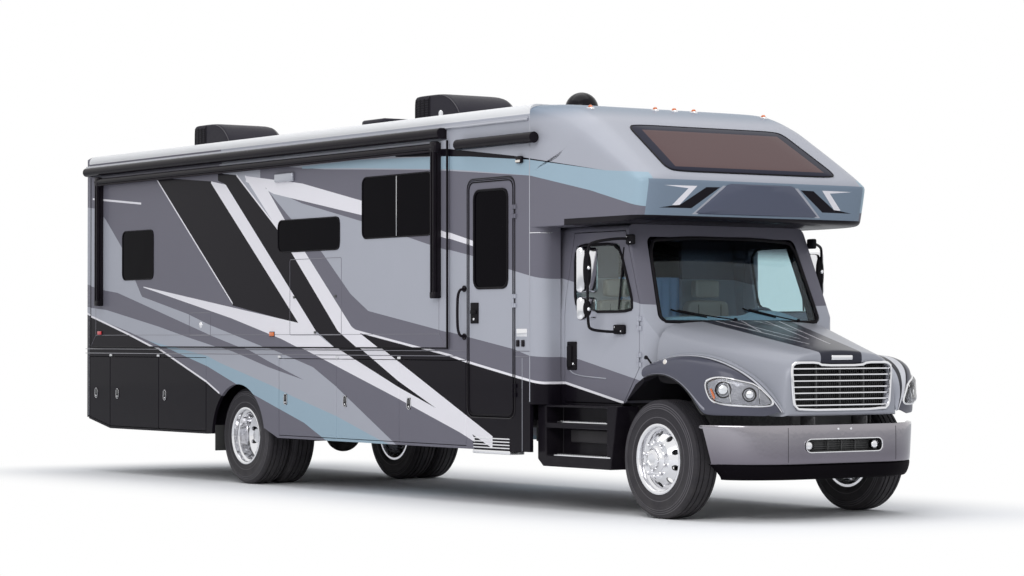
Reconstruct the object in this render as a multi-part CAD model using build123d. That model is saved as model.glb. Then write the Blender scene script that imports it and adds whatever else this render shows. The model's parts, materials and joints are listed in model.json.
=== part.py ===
"""Motorhome with an over-cab body on a medium-duty bonneted truck chassis.

Row frame: +X forward, +Y to the vehicle's left, +Z up, millimetres.
The origin is on the ground, midway along the vehicle and on its centre line.
Each function builds one sub-part, and the table at the end writes them all.
"""
import os
from math import cos, radians, sin

from build123d import *

# ---------------------------------------------------------------- overall sizes
WHEELBASE = 7010
FRONT_OVERHANG = 1020
REAR_OVERHANG = 3590
HOUSE_WIDTH = 2565
ROOF_TOP = 3600
FLOOR_TOP = 1400
CAB_LENGTH = 1710         # front axle back to the front of the house

LENGTH = FRONT_OVERHANG + WHEELBASE + REAR_OVERHANG
FRONT_X = LENGTH / 2
REAR_X = -LENGTH / 2
FRONT_AXLE_X = FRONT_X - FRONT_OVERHANG
REAR_AXLE_X = FRONT_AXLE_X - WHEELBASE
HOUSE_FRONT_X = FRONT_AXLE_X - CAB_LENGTH
HALF = HOUSE_WIDTH / 2

# ------------------------------------------------------------------- clearances
FIT = 0.3          # between a piece and the seat that carries it
SWING_GAP = 8      # between a moving panel and the panel beside it
PIN_CLEAR = 2      # beside a lug on its pin

# ----------------------------------------------------------------- running gear
TYRE_R = 500
TYRE_HALF = 137
TREAD_HALF = 108
TYRE_WALL = 26
BEAD_R = 286
BEAD_HALF = 113
RIM_T = 12
RIM_LIP_R = 298
RIM_DROP_R = 262
DISC_FLAT_R = 165
DISC_OFFSET = 150         # rim middle to the disc's mounting face
HUB_R = 110
HUB_BORE_R = 45
HAND_HOLES = 10
HAND_HOLE_R = 24
HAND_HOLE_PITCH_R = 212
FRONT_TRACK_HALF = 1040
REAR_DISC_Y = 908         # where the two discs of a twin wheel meet
FRONT_HUB_INNER_Y = 980
SPINDLE_R = HUB_BORE_R - FIT
KINGPIN_Y = 880
KINGPIN_R = 22
BOSS_R = 45
BOSS_H = 130
EAR_T = 40
EAR_HALF = 50
KNUCKLE_HALF = 60
KNUCKLE_T = 24
BEAM_HALF_X = 45
BEAM_HALF_Z = 50
AXLE_TUBE_R = 72
DIFFERENTIAL_R = 190

# ------------------------------------------------------------------------ frame
RAIL_Y = 432
RAIL_BOTTOM = 700
RAIL_TOP = 964
RAIL_FLANGE = 80
RAIL_T = 9
RAIL_FRONT_X = FRONT_AXLE_X + 860
RAIL_REAR_X = REAR_X + 150
MEMBER_T = 60
MEMBERS = 8
MEMBER_H = 110
MEMBER_CLEAR = 100         # last cross member to the gearbox
BEARER_W = 70
BEARERS = 7
BEARER_START = 60
BEARER_SHORT = 400
SPRING_W = 76
SPRING_T = 60
SPRING_HALF_LENGTH = 680
SHAFT_R = 50
HITCH_OUT = 64
HITCH_IN = 51
HITCH_Z = 540
HITCH_LENGTH = 300
HITCH_PIN_R = 8
HITCH_PIN_BACK = 60
HITCH_TIP_IN = 25
HITCH_BEAM_H = 60
HANGER_T = 20
HANGER_W = 70

# ------------------------------------------------------------------- house body
WALL_T = 45
FLOOR_T = 60
ROOF_T = 90
ROOF_EDGE_R = 70
REAR_CAP_DEPTH = 100
REAR_CORNER_R = 70
REAR_TOP_DROP = 50
REAR_CAP_BOTTOM = 620
SKIRT_BOTTOM = 505
SKIRT_TOP = FLOOR_TOP - FLOOR_T
SKIRT_T = 36
SILL_H = 24
BULKHEAD_T = 50
BAY_INNER_Y = 560
BAY_WALL_T = 10
DOOR_BACK_GAP = 9
DOOR_PIN_IN = 12          # hinge pin's axis in from the door's front and outer faces
DOOR_PIN_R = 6
DOOR_PIN_L = 14
REAR_ARCH_R = 560
REAR_ARCH_Z = 480
ARCH_PILLAR_BACK = 660    # axle to the bay behind the wheel
ARCH_PILLAR_FRONT = 830   # axle to the bay ahead of the wheel
ARCH_FRONT_RISE = 90
CORNER_DOOR_W = 540
CORNER_RISE = 100
WALL_BACK_X = REAR_X + REAR_CAP_DEPTH
ROOF_UNDER = ROOF_TOP - ROOF_T

# ------------------------------------------------------------------- entry door
ENTRY_REAR_X = HOUSE_FRONT_X - 980
ENTRY_W = 730
ENTRY_BOTTOM = 810
ENTRY_TOP = 2950
ENTRY_T = 40
ENTRY_CORNER_R = 80
ENTRY_WINDOW_SIDE = 95
ENTRY_WINDOW_BOTTOM = 1970
ENTRY_WINDOW_TOP = 2860
STAIR_TREADS = 3
STAIR_T = 18
STAIR_GO = 215

# --------------------------------------------------------------------- slide-out
SLIDE_REAR_X = REAR_X + 200
SLIDE_FRONT_X = HOUSE_FRONT_X - 1290
SLIDE_RISE = 20             # slide-out face above the floor
SLIDE_BOTTOM = FLOOR_TOP + SLIDE_RISE
SLIDE_TOP = 3350
SLIDE_LAP = 60
SLIDE_FACE_T = 25
SLIDE_FACE_GAP = 6
SLIDE_DEPTH = 720
SLIDE_WALL_T = 40
SLIDE_TRAVEL = 600
SLIDE_SIDE_GAP = 12
SLIDE_TRACK_W = 80
SLIDE_TRACKS = (0.1, 0.5, 0.9)     # shares of the slide-out's length
SLIDE_OUTER_Y = HALF + SLIDE_FACE_GAP + SLIDE_FACE_T

# --------------------------------------------------------------------------- cab
CAB_HALF = 1050
CAB_ROOF_HALF = 985
BELT_Z = 1720
CAB_BOTTOM = 930
CAB_FLOOR_TOP = 1000
CAP_BOTTOM = 2500
CAB_ROOF_TOP = CAP_BOTTOM - FIT
CAB_ROOF_R = 60
COWL_Z = 1645
CAB_WALL_T = 40
COWL_X = FRONT_AXLE_X - 262
CAB_BACK_X = HOUSE_FRONT_X + WALL_T + FIT
COWL_CORNER = 120
COWL_CORNER_BACK = 95
TOE_BACK = 400
TOE_RISE = 270
SCREEN_RAKE = 21.5
SCREEN_BOW_R = 8000
GLASS_T = 6
GLASS_INSET = 8
HINGE_OUT = 14            # door hinge axis outside the panel's face
HINGE_R = 11
HINGE_PIN_R = 6
HINGE_H = 40
DOOR_FRONT_X = FRONT_AXLE_X - 420

# -------------------------------------------------------------------------- hood
HOOD_T = 15
HOOD_REAR_X = FRONT_AXLE_X - 240
HOOD_FRONT_X = FRONT_AXLE_X + 985
HOOD_BOTTOM = 870
HOOD_PIVOT_X = FRONT_AXLE_X + 950
HOOD_PIVOT_Z = 845
HOOD_PIN_R = 10
HOOD_PIN_L = 40
HOOD_LUG_HALF = 16
HOOD_LUG_Y = 260
HOOD_LUG_T = 20
FRONT_ARCH_BACK = 50
FRONT_ARCH_R = 660
FRONT_ARCH_Z = 550
FENDER_Y = 1165
GRILLE_LOW_HALF = 500
GRILLE_HIGH_HALF = 547
GRILLE_BOTTOM = 925
GRILLE_TOP = 1285
GRILLE_FRONT_X = HOOD_FRONT_X + 25
GRILLE_RIM = 32
GRILLE_BARS = 6
GRILLE_BAR_T = 22
LAMP_INNER_Y = 715
LAMP_OUTER_Y = 1030
LAMP_BOTTOM = 975
LAMP_TOP = 1215
LAMP_DEPTH = 260

# ------------------------------------------------------------------------ bumper
BUMPER_BOTTOM = 470
BUMPER_TOP = 800
BUMPER_T = 12
BUMPER_FLAT_HALF = 440
BUMPER_END_X = FRONT_AXLE_X + 600
BUMPER_END_Y = 1144
SLOT_HALF = 420
SLOT_H = 110
SLOT_Z = 625
VALANCE_BOTTOM = 340
VALANCE_T = 8
VALANCE_LAP = 30
HORN_H = 90
HORN_LAP = 40
EAR_PLATE_T = 14
EAR_LAP = 30

# ---------------------------------------------------------------- pieces drawn below
GEARBOX_LENGTH = 1000
GEARBOX_Z = 780
ENGINE_HALF = 330
ENGINE_LENGTH = 800
ENGINE_TOP = 1330
RADIATOR_TOP = 1290
MOUNT_W = 90
TANKS = [
    # front end ahead of the rear axle, length, middle Y, half width, depth
    (-1200, 1000, 0, 380, 200),
    (2600, 1600, 250, 150, 180),
    (2600, 1600, -250, 150, 180),
    (4300, 900, 250, 150, 180),
]
REAR_WINDOW = (620, 2150, 2700)      # half width, bottom, top
WINDOW_R = 45
LEFT_WINDOWS = [
    # rear edge behind the house front, front edge, bottom, top
    (8300, 7300, 2150, 2750),
    (5700, 4400, 2250, 2750),
    (3300, 2000, 2150, 2850),
]
ENTRY_HINGES = (1050, 1850, 2650)    # heights of the entry door's hinges
RIGHT_REAR_DOORS = [1190, 1100]                 # widths after the corner door, rear to front
RIGHT_FRONT_DOORS = [1150, 1170, 1170]
LEFT_REAR_DOORS = [1190]
LEFT_FRONT_DOORS = [1170, 1170]
SLIDE_WINDOWS = [
    # rear edge, front edge (from the front axle back), bottom, top
    (9600, 8850, 2170, 2710),
    (6120, 4910, 2390, 2710),
    (4490, 3250, 2480, 3070),
]
AWNING_R = 38
AWNING_Z = 3290
AWNING_ARM_W = 80
AWNING_ARM_T = 38
AWNING_ARM_LOW = 1890
TOPPER_R = 50
TOPPER_Z = 3415
TOPPER_OUT = 60
AWNING_INSET = (320, 180)    # roller's ends inside the slide-out's rear and front ends
TOPPER_LAP = 50            # topper's start behind the slide-out's rear end
TOPPER_BRACKET = 40
CASE_R = 50              # awning case over the entry door
CASE_OVER = 90
CASE_AHEAD = 150
CASE_BRACKET = 40
AC_LENGTH = 880
AC_HALF = 350
AC_H = 350
AC_REAR_X = (9730, 5070)             # rear end of each unit behind the front axle
AC_SLOPE = 260
AC_NOSE = 90               # height of the front end
AC_REAR_CUT = (30, 60)     # chamfer of the rear top edge, in X and Z
AC_EDGE_R = 60
DOME_R = 160
DOME_X = 2450
DOME_Y = -170
DOME_H = 50              # drum under the dome
VENT_X = 5540
VENT_SIZE = 400
VENT_Y = -650
VENT_H = 130
VENT_EDGE = 40
CAP_LIP_X = FRONT_AXLE_X - 120
CAP_CREASE_X = FRONT_AXLE_X - 50
CAP_CREASE_Z = 2850
CAP_SILL_X = FRONT_AXLE_X - 100
CAP_SILL_Z = 2915
CAP_HEAD_X = FRONT_AXLE_X - 850
CAP_HEAD_Z = 3385
CAP_BROW_X = FRONT_AXLE_X - 1290
CAP_BROW_Z = 3570
CAP_LIP_Z = 2540
CAP_CORNER_R = 130
CAP_NOSE_HALF = 1190
CAP_TAPER_X = FRONT_AXLE_X - 900
COLUMN_DEPTH = 155
COLUMN_R = 105
PASSAGE_HALF = 360
CAP_WINDOW_LOW_HALF = 905
CAP_WINDOW_LOW = 2955
CAP_WINDOW_HIGH = 3345
DOOR_SIDE = [
    # X behind the front axle, Z, round the cab door from its rear bottom corner
    (1500, 955), (1500, 1870), (1430, 2440), (690, 2440), (420, 1800), (420, 1265), (640, 955),
]
DOOR_WINDOW = [
    (1130, 2335), (770, 2335), (535, 1870), (515, 1745), (1065, 1745),
]
DOOR_REACH_Y = CAB_ROOF_HALF - CAB_WALL_T - 20     # doors and their openings stay outside this
SCREEN = [(-860, 1705), (860, 1705), (800, 2385), (-800, 2385)]    # Y, Z round the windscreen
CAB_HINGES = (1330, 1640)
MIRROR_OUTER_Y = HALF + TOPPER_OUT + TOPPER_R       # as wide as the roller on the house
MIRROR_INNER_Y = 1170
MIRROR_X = 800           # behind the front axle
MIRROR_T = 95
MIRROR_BOTTOM = 1640
MIRROR_TOP = 2360
MIRROR_ARM_R = 14
MIRROR_HEAD_RISE = 240     # main glass above the unit's bottom
MIRROR_SPOT_H = 200
MIRROR_EDGE_R = 40
MIRROR_ARM_IN = 40         # post inside the head's inner edge
MIRROR_POST_LOW = 30
MIRROR_POST_HIGH = 60
MIRROR_ARM_DROP = 80
MIRROR_ARM_LOW = 20
MIRROR_FOOT_X = 500        # behind the front axle
MIRROR_FOOT_W = 30
MIRROR_FOOT_H = 35
MIRROR_FOOT_T = 30
MIRROR_FEET_Z = (1700, 1560)
STEP_OUT_Y = 1200
STEP_IN_Y = 960
STEP_LOW = 385
STEP_FRONT_X = FRONT_AXLE_X - 625
STEP_TREADS = (480, 770)
STEP_RECESS = 190
DASH_TOP = 1610
DASH_BOTTOM = 1260
DASH_DEPTH = 290
WHEEL_Y = 480
WHEEL_R = 215
WHEEL_TUBE_R = 15
COLUMN_TILT = 35         # steering column's rise above the level, degrees
COLUMN_R_CAB = 38
COLUMN_START = 330       # dash face to the wheel's hub along the column
SHAFT_R = 16
SHAFT_START = 40           # steering shaft's start along the column
SHAFT_L = 200
SLEEVE_L = 160
HUB_START = 190
HUB_R = 70
HUB_T = 35
SPOKE_W = 24
SPOKE_T = 16
SPOKE_RISE = 20
SEAT_X = 1480            # seat's rear behind the front axle
SEAT_Y = 500
SEAT_HALF = 260
SEAT_CUSHION_Z = (1290, 1430)
SEAT_BACK_TOP = 2050
HOOD_SECTIONS = [
    # X of section, half widths and heights: bottom half, shoulder half, shoulder z, top half, top z
    (HOOD_REAR_X, 900, 880, 1470, 640, 1655),
    (HOOD_FRONT_X, 620, 575, 1290, 300, 1390),
]
FENDER_SIDE = [
    # X ahead of the front axle, Z, round the fender from its low rear corner
    (-240, 1130), (-240, 1270), (100, 1372), (450, 1392), (780, 1345), (985, 1150), (985, 870), (500, 870),
]


# ====================================================================== helpers
def block(x0, x1, y0, y1, z0, z1):
    """Box between two corners."""
    centre = Pos((x0 + x1) / 2, (y0 + y1) / 2, (z0 + z1) / 2)
    return centre * Box(abs(x1 - x0), abs(y1 - y0), abs(z1 - z0))


def flat(points, inset=0.0, corner=0.0):
    """Closed outline, pulled in by inset, with rounded corners."""
    outline = Polygon(*points, align=None)
    if inset:
        outline = offset(outline, -inset, kind=Kind.INTERSECTION)
    if corner:
        outline = fillet(outline.vertices(), corner)
    return outline


def push(plane, outline, depth):
    """Outline laid on a plane and pushed along the plane's own direction."""
    return extrude(plane * outline, amount=depth, dir=plane.z_dir)


def side_prism(points, y0, y1, inset=0.0, corner=0.0):
    """Outline in X and Z, pushed between two Y values."""
    plane = Plane(origin=(0, max(y0, y1), 0), x_dir=(1, 0, 0), z_dir=(0, -1, 0))
    return push(plane, flat(points, inset, corner), abs(y1 - y0))


def plan_prism(points, z0, z1, inset=0.0, corner=0.0):
    """Outline in X and Y, pushed between two Z values."""
    return push(Plane.XY.offset(z0), flat(points, inset, corner), z1 - z0)


def across(x):
    """Plane whose axes are the row's Y and Z, facing +X."""
    return Plane(origin=(x, 0, 0), x_dir=(0, 1, 0), z_dir=(1, 0, 0))


def front_prism(points, x0, x1, inset=0.0, corner=0.0):
    """Outline in Y and Z, pushed between two X values."""
    return push(across(x0), flat(points, inset, corner), x1 - x0)


def rectangle(a0, a1, b0, b1):
    """Corner points of an upright rectangle."""
    return [(a0, b0), (a1, b0), (a1, b1), (a0, b1)]


def rod(axis, a, b, start, end, radius):
    """Cylinder along X, Y or Z, where a and b are its other two coordinates in row order."""
    frames = {
        "x": Plane(origin=(start, a, b), x_dir=(0, 1, 0), z_dir=(1, 0, 0)),
        "y": Plane(origin=(a, start, b), x_dir=(1, 0, 0), z_dir=(0, 1, 0)),
        "z": Plane(origin=(a, b, start), x_dir=(1, 0, 0), z_dir=(0, 0, 1)),
    }
    return push(frames[axis], Circle(radius), end - start)


def strut(start, end, radius):
    """Cylinder between two points."""
    start, end = Vector(start), Vector(end)
    run = end - start
    return push(Plane(origin=start, z_dir=run), Circle(radius), run.length)


def spun(points):
    """Profile of (distance along Y, radius) turned about the Y axis."""
    face = make_face(Polyline(*[(r, d, 0) for d, r in points], close=True))
    return revolve(face, axis=Axis.Y)


def left_of(shape):
    """The mirror image across the centre line."""
    return mirror(shape, about=Plane.XZ)


def on_side(shape, side):
    """A right-hand shape, or its left-hand twin."""
    return shape if side == "right" else left_of(shape)


def group(*shapes):
    """Several separate solids for one node."""
    return Compound(children=[solid for shape in shapes for solid in shape.solids()])


# ================================================================= running gear
def tyre():
    """Hollow tyre about the Y axis, its middle at Y = 0."""
    outer = [(BEAD_HALF, BEAD_R), (BEAD_HALF, RIM_LIP_R + 2), (TYRE_HALF - 4, RIM_LIP_R + 44),
             (TYRE_HALF, (BEAD_R + TYRE_R) / 2), (TYRE_HALF - 6, TYRE_R - 50), (TREAD_HALF, TYRE_R - 5),
             (TREAD_HALF - 14, TYRE_R)]
    inner = [(BEAD_HALF - TYRE_WALL, BEAD_R - 1), (BEAD_HALF - TYRE_WALL, RIM_LIP_R + 14),
             (TYRE_HALF - TYRE_WALL, (BEAD_R + TYRE_R) / 2), (TREAD_HALF - TYRE_WALL, TYRE_R - TYRE_WALL)]
    full = [outer, inner]
    ring, hollow = (spun([*half, *[(-d, r) for d, r in reversed(half)]]) for half in full)
    return ring - hollow


def rim(disc_side):
    """Drop-centre rim and its disc about the Y axis; disc_side is +1 when the disc faces +Y."""
    seat = BEAD_R - FIT
    lip = BEAD_HALF + FIT
    half = [(lip + RIM_T / 2, RIM_LIP_R), (lip, RIM_LIP_R), (lip, seat), (BEAD_HALF - 30, seat),
            (BEAD_HALF - 42, RIM_DROP_R)]
    under = [(BEAD_HALF - 46, RIM_DROP_R - RIM_T), (BEAD_HALF - 34, seat - RIM_T), (lip + RIM_T / 2, seat - RIM_T)]
    band = spun([*half, *[(-d, r) for d, r in reversed(half)], *[(-d, r) for d, r in reversed(under)], *under])
    face = DISC_OFFSET * disc_side
    root = (BEAD_HALF - 60) * disc_side
    step = RIM_T * disc_side
    disc = spun([(face, 0), (face, DISC_FLAT_R), (root + step, RIM_DROP_R - 2), (root - step, RIM_DROP_R - 2),
                 (face - step, DISC_FLAT_R), (face - step, 0)])
    for index in range(HAND_HOLES):
        angle = radians(360 / HAND_HOLES * (index + 0.5))
        hole = rod("y", HAND_HOLE_PITCH_R * cos(angle), HAND_HOLE_PITCH_R * sin(angle), -250, 250, HAND_HOLE_R)
        disc = disc - hole
    return band + disc


def front_rim(side):
    """Front rim with its hub, bored for the spindle."""
    end = DISC_OFFSET + 45
    inner = FRONT_HUB_INNER_Y - FRONT_TRACK_HALF
    wheel = rim(1) + rod("y", 0, 0, inner, end, HUB_R) - rod("y", 0, 0, inner, DISC_OFFSET, HUB_BORE_R)
    wheel = Pos(FRONT_AXLE_X, FRONT_TRACK_HALF, TYRE_R) * wheel
    return wheel if side == "left" else left_of(wheel)


def front_tyre(side):
    """Front tyre on its rim."""
    placed = Pos(FRONT_AXLE_X, FRONT_TRACK_HALF, TYRE_R) * tyre()
    return placed if side == "left" else left_of(placed)


def rear_rims(side):
    """Twin rims bolted disc to disc, with their hub, bored for the axle end."""
    outer = Pos(0, REAR_DISC_Y + DISC_OFFSET, 0) * rim(-1)
    inner = Pos(0, REAR_DISC_Y - DISC_OFFSET, 0) * rim(1)
    hub_start = REAR_DISC_Y - DISC_OFFSET
    hub_end = REAR_DISC_Y + DISC_OFFSET
    hub = rod("y", 0, 0, hub_start, hub_end, HUB_R)
    bore = rod("y", 0, 0, hub_start, hub_end - RIM_T, HUB_BORE_R)
    wheel = Pos(REAR_AXLE_X, 0, TYRE_R) * (outer + inner + hub - bore)
    return wheel if side == "left" else left_of(wheel)


def rear_tyres(side):
    """The two tyres of a twin wheel."""
    pair = [Pos(REAR_AXLE_X, REAR_DISC_Y + step * DISC_OFFSET, TYRE_R) * tyre() for step in (-1, 1)]
    placed = group(*pair)
    return placed if side == "left" else left_of(placed)


def knuckle(side):
    """Steering knuckle: two ears on the kingpin, a plate and the spindle."""
    ear_z = BOSS_H / 2 + PIN_CLEAR
    plate_y = KINGPIN_Y + BOSS_R + SWING_GAP
    plate_end = plate_y + KNUCKLE_T
    height = ear_z + EAR_T
    body = block(-KNUCKLE_HALF, KNUCKLE_HALF, plate_y, plate_end, -height, height)
    for z0, z1 in ((ear_z, height), (-height, -ear_z)):
        body = body + block(-EAR_HALF, EAR_HALF, KINGPIN_Y, plate_y, z0, z1) + rod("z", 0, KINGPIN_Y, z0, z1, EAR_HALF)
    body = body + rod("z", 0, KINGPIN_Y, -height, height, KINGPIN_R)
    body = body + rod("y", 0, 0, plate_end, FRONT_TRACK_HALF + DISC_OFFSET - PIN_CLEAR, SPINDLE_R)
    placed = Pos(FRONT_AXLE_X, 0, TYRE_R) * body
    return placed if side == "left" else left_of(placed)


def front_axle():
    """Beam axle with a kingpin boss at each end and a seat for each spring."""
    beam = block(-BEAM_HALF_X, BEAM_HALF_X, -KINGPIN_Y, KINGPIN_Y, -BEAM_HALF_Z, BEAM_HALF_Z)
    for side in (-1, 1):
        beam = beam + rod("z", 0, side * KINGPIN_Y, -BOSS_H / 2, BOSS_H / 2, BOSS_R)
        beam = beam + block(-KNUCKLE_HALF, KNUCKLE_HALF, side * (RAIL_Y - SPRING_W), side * RAIL_Y, BEAM_HALF_Z,
                            spring_under() - TYRE_R - FIT)
        beam = beam - rod("z", 0, side * KINGPIN_Y, -BOSS_H, BOSS_H, KINGPIN_R + FIT)
    return Pos(FRONT_AXLE_X, 0, TYRE_R) * beam


def spring_under():
    """Height of a leaf spring's underside at its middle."""
    return RAIL_BOTTOM - FIT - SPRING_T - 40


def rear_axle():
    """Drive axle: tube, differential and the ends that carry the hubs."""
    end = REAR_DISC_Y + DISC_OFFSET - RIM_T - PIN_CLEAR
    shoulder = REAR_DISC_Y - DISC_OFFSET - SWING_GAP
    axle = rod("y", 0, 0, -shoulder, shoulder, AXLE_TUBE_R) + rod("y", 0, 0, -end, end, SPINDLE_R)
    axle = axle + Sphere(DIFFERENTIAL_R)
    for side in (-1, 1):
        seat = block(-70, 70, side * (RAIL_Y - SPRING_W), side * RAIL_Y, 0, spring_under() - TYRE_R - FIT)
        axle = axle + seat
    return Pos(REAR_AXLE_X, 0, TYRE_R) * axle


def leaf_springs():
    """Four leaf springs, each hung under a frame rail at both ends."""
    low = spring_under()
    springs = []
    for axle_x in (FRONT_AXLE_X, REAR_AXLE_X):
        arch = [(axle_x - SPRING_HALF_LENGTH, RAIL_BOTTOM - FIT), (axle_x - 120, low + SPRING_T),
                (axle_x + 120, low + SPRING_T), (axle_x + SPRING_HALF_LENGTH, RAIL_BOTTOM - FIT),
                (axle_x + SPRING_HALF_LENGTH, RAIL_BOTTOM - 30), (axle_x + 140, low), (axle_x - 140, low),
                (axle_x - SPRING_HALF_LENGTH, RAIL_BOTTOM - 30)]
        for side in (-1, 1):
            springs.append(side_prism(arch, side * (RAIL_Y - SPRING_W), side * RAIL_Y))
    return group(*springs)


def drive_shaft():
    """Shaft from the gearbox to the differential."""
    centre = Vector(REAR_AXLE_X, 0, TYRE_R)
    end_x = engine_back() - GEARBOX_LENGTH
    lean = SHAFT_R * (GEARBOX_Z - TYRE_R) / (end_x - REAR_AXLE_X)
    end = Vector(end_x - lean - FIT, 0, GEARBOX_Z)
    start = centre + (end - centre).normalized() * (DIFFERENTIAL_R + FIT)
    return strut(start, end, SHAFT_R)


def engine_back():
    """Rear face of the engine block."""
    return COWL_X + 40


def engine_block():
    """Engine, gearbox and radiator as plain blocks."""
    back = engine_back()
    engine = block(back, back + ENGINE_LENGTH, -ENGINE_HALF, ENGINE_HALF, RAIL_BOTTOM, ENGINE_TOP)
    gearbox = block(back - GEARBOX_LENGTH, back, -220, 220, GEARBOX_Z - 170, CAB_FLOOR_TOP - 60)
    radiator_x = back + ENGINE_LENGTH + 60
    half = RAIL_Y - RAIL_FLANGE - FIT
    radiator = block(radiator_x, radiator_x + 70, -half, half, RAIL_BOTTOM + 40, RADIATOR_TOP)
    return group(engine + gearbox, radiator)


# ======================================================================== frame
def chassis_frame():
    """Two channel rails with their horns, cross members, body bearers, engine brackets and the hitch."""
    web_y = RAIL_Y - RAIL_T
    horn_end = FRONT_X - BUMPER_T - FIT
    mount_x = engine_back() + ENGINE_LENGTH / 2
    shapes = []
    for side in (-1, 1):
        outer, inner = side * RAIL_Y, side * (RAIL_Y - RAIL_FLANGE)
        rail = block(RAIL_REAR_X, RAIL_FRONT_X, outer, inner, RAIL_BOTTOM, RAIL_TOP)
        rail = rail - block(RAIL_REAR_X - 1, RAIL_FRONT_X + 1, side * web_y, inner - side,
                            RAIL_BOTTOM + RAIL_T, RAIL_TOP - RAIL_T)
        shapes.append(rail + block(RAIL_FRONT_X - HORN_LAP, horn_end, outer, inner, RAIL_BOTTOM, RAIL_BOTTOM + HORN_H))
        shapes.append(block(mount_x, mount_x + MOUNT_W, side * (ENGINE_HALF + FIT), side * web_y,
                            RAIL_BOTTOM + RAIL_T, RAIL_TOP - RAIL_T))
    reach = engine_back() - GEARBOX_LENGTH - MEMBER_CLEAR - RAIL_REAR_X - MEMBER_T
    for index in range(MEMBERS):
        x = RAIL_REAR_X + reach * index / (MEMBERS - 1)
        shapes.append(block(x, x + MEMBER_T, -web_y, web_y, RAIL_TOP - MEMBER_H, RAIL_TOP - RAIL_T))
    reach = HOUSE_FRONT_X - BEARER_SHORT - RAIL_REAR_X
    for index in range(BEARERS):
        x = RAIL_REAR_X + BEARER_START + reach * index / (BEARERS - 1)
        shapes.append(block(x, x + BEARER_W, -BAY_INNER_Y + FIT, BAY_INNER_Y - FIT, RAIL_TOP, SKIRT_TOP - FIT))
    return group(*shapes, front_member(), *hitch())


def front_member():
    """Foremost cross member between the horns, with the two ears of the hood's pivot."""
    inner = RAIL_Y - RAIL_FLANGE
    member = block(RAIL_FRONT_X - MEMBER_T, RAIL_FRONT_X, -inner, inner, RAIL_BOTTOM, RAIL_BOTTOM + HORN_H)
    for side in (-1, 1):
        ear_y = side * (HOOD_LUG_Y + HOOD_LUG_T + PIN_CLEAR)
        member = member + block(RAIL_FRONT_X - MEMBER_T, HOOD_PIVOT_X + 2 * HOOD_PIN_R, ear_y, ear_y + side * EAR_PLATE_T,
                                RAIL_BOTTOM + HORN_H - EAR_LAP, HOOD_PIVOT_Z + 2 * HOOD_PIN_R)
        member = member - rod("y", HOOD_PIVOT_X, HOOD_PIVOT_Z, ear_y - 2 * EAR_PLATE_T, ear_y + 2 * EAR_PLATE_T,
                              HOOD_PIN_R + FIT)
    return member


def hitch():
    """Receiver tube under the rear, the beam that it hangs from and the beam's two hangers."""
    tip = REAR_X + HITCH_TIP_IN
    half_out, half_in = HITCH_OUT / 2, HITCH_IN / 2
    beam_x = RAIL_REAR_X + BEARER_START
    beam_end = RAIL_Y - HANGER_T
    tube = block(tip, tip + HITCH_LENGTH, -half_out, half_out, HITCH_Z - half_out, HITCH_Z + half_out)
    tube = tube - block(tip - 1, tip + HITCH_LENGTH + 1, -half_in, half_in, HITCH_Z - half_in, HITCH_Z + half_in)
    tube = tube - rod("y", tip + HITCH_PIN_BACK, HITCH_Z, -HITCH_OUT, HITCH_OUT, HITCH_PIN_R)
    beam = block(beam_x, beam_x + HANGER_W, -beam_end, beam_end, HITCH_Z + half_out, HITCH_Z + half_out + HITCH_BEAM_H)
    hangers = [block(beam_x, beam_x + HANGER_W, side * beam_end, side * RAIL_Y, HITCH_Z + half_out, RAIL_BOTTOM)
               for side in (-1, 1)]
    return [tube, beam, *hangers]


def underbody_tanks():
    """Tanks hung under the frame rails."""
    shapes = []
    for ahead, length, middle, half, depth in TANKS:
        x = REAR_AXLE_X + ahead
        tank = block(x - length, x, middle - half, middle + half, RAIL_BOTTOM - FIT - depth, RAIL_BOTTOM - FIT)
        shapes.append(fillet(tank.edges().filter_by(Axis.Z), 60))
    return group(*shapes)


# ======================================================================= bumper
def bumper_outline():
    """Plan of the bumper's outer face."""
    x = FRONT_X
    right = [(BUMPER_END_X, -BUMPER_END_Y), (x - 170, -960), (x - 46, -614), (x, -BUMPER_FLAT_HALF)]
    return [*right, *[(px, -py) for px, py in reversed(right)]]


def band_of(z0, z1, thickness, set_back=0.0):
    """Wrap-round band that follows the bumper's plan."""
    outline = bumper_outline()
    closed = [(BUMPER_END_X - 300, -BUMPER_END_Y), *outline, (BUMPER_END_X - 300, BUMPER_END_Y)]
    solid = plan_prism(closed, z0, z1, inset=set_back)
    hollow = plan_prism(closed, z0 - 1, z1 + 1, inset=set_back + thickness)
    keep = block(BUMPER_END_X, FRONT_X + 10, -BUMPER_END_Y - 10, BUMPER_END_Y + 10, z0 - 1, z1 + 1)
    return (solid - hollow) & keep


def bumper():
    """Bright bumper with a wide slot in its middle."""
    band = band_of(BUMPER_BOTTOM, BUMPER_TOP, BUMPER_T)
    slot = front_prism(rectangle(-SLOT_HALF, SLOT_HALF, SLOT_Z - SLOT_H / 2, SLOT_Z + SLOT_H / 2),
                       FRONT_X - 60, FRONT_X + 10, corner=SLOT_H * 0.45)
    return band - slot


def front_valance():
    """Dark air dam under the bumper."""
    return band_of(VALANCE_BOTTOM, BUMPER_BOTTOM + VALANCE_LAP, VALANCE_T, set_back=BUMPER_T + FIT)


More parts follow.
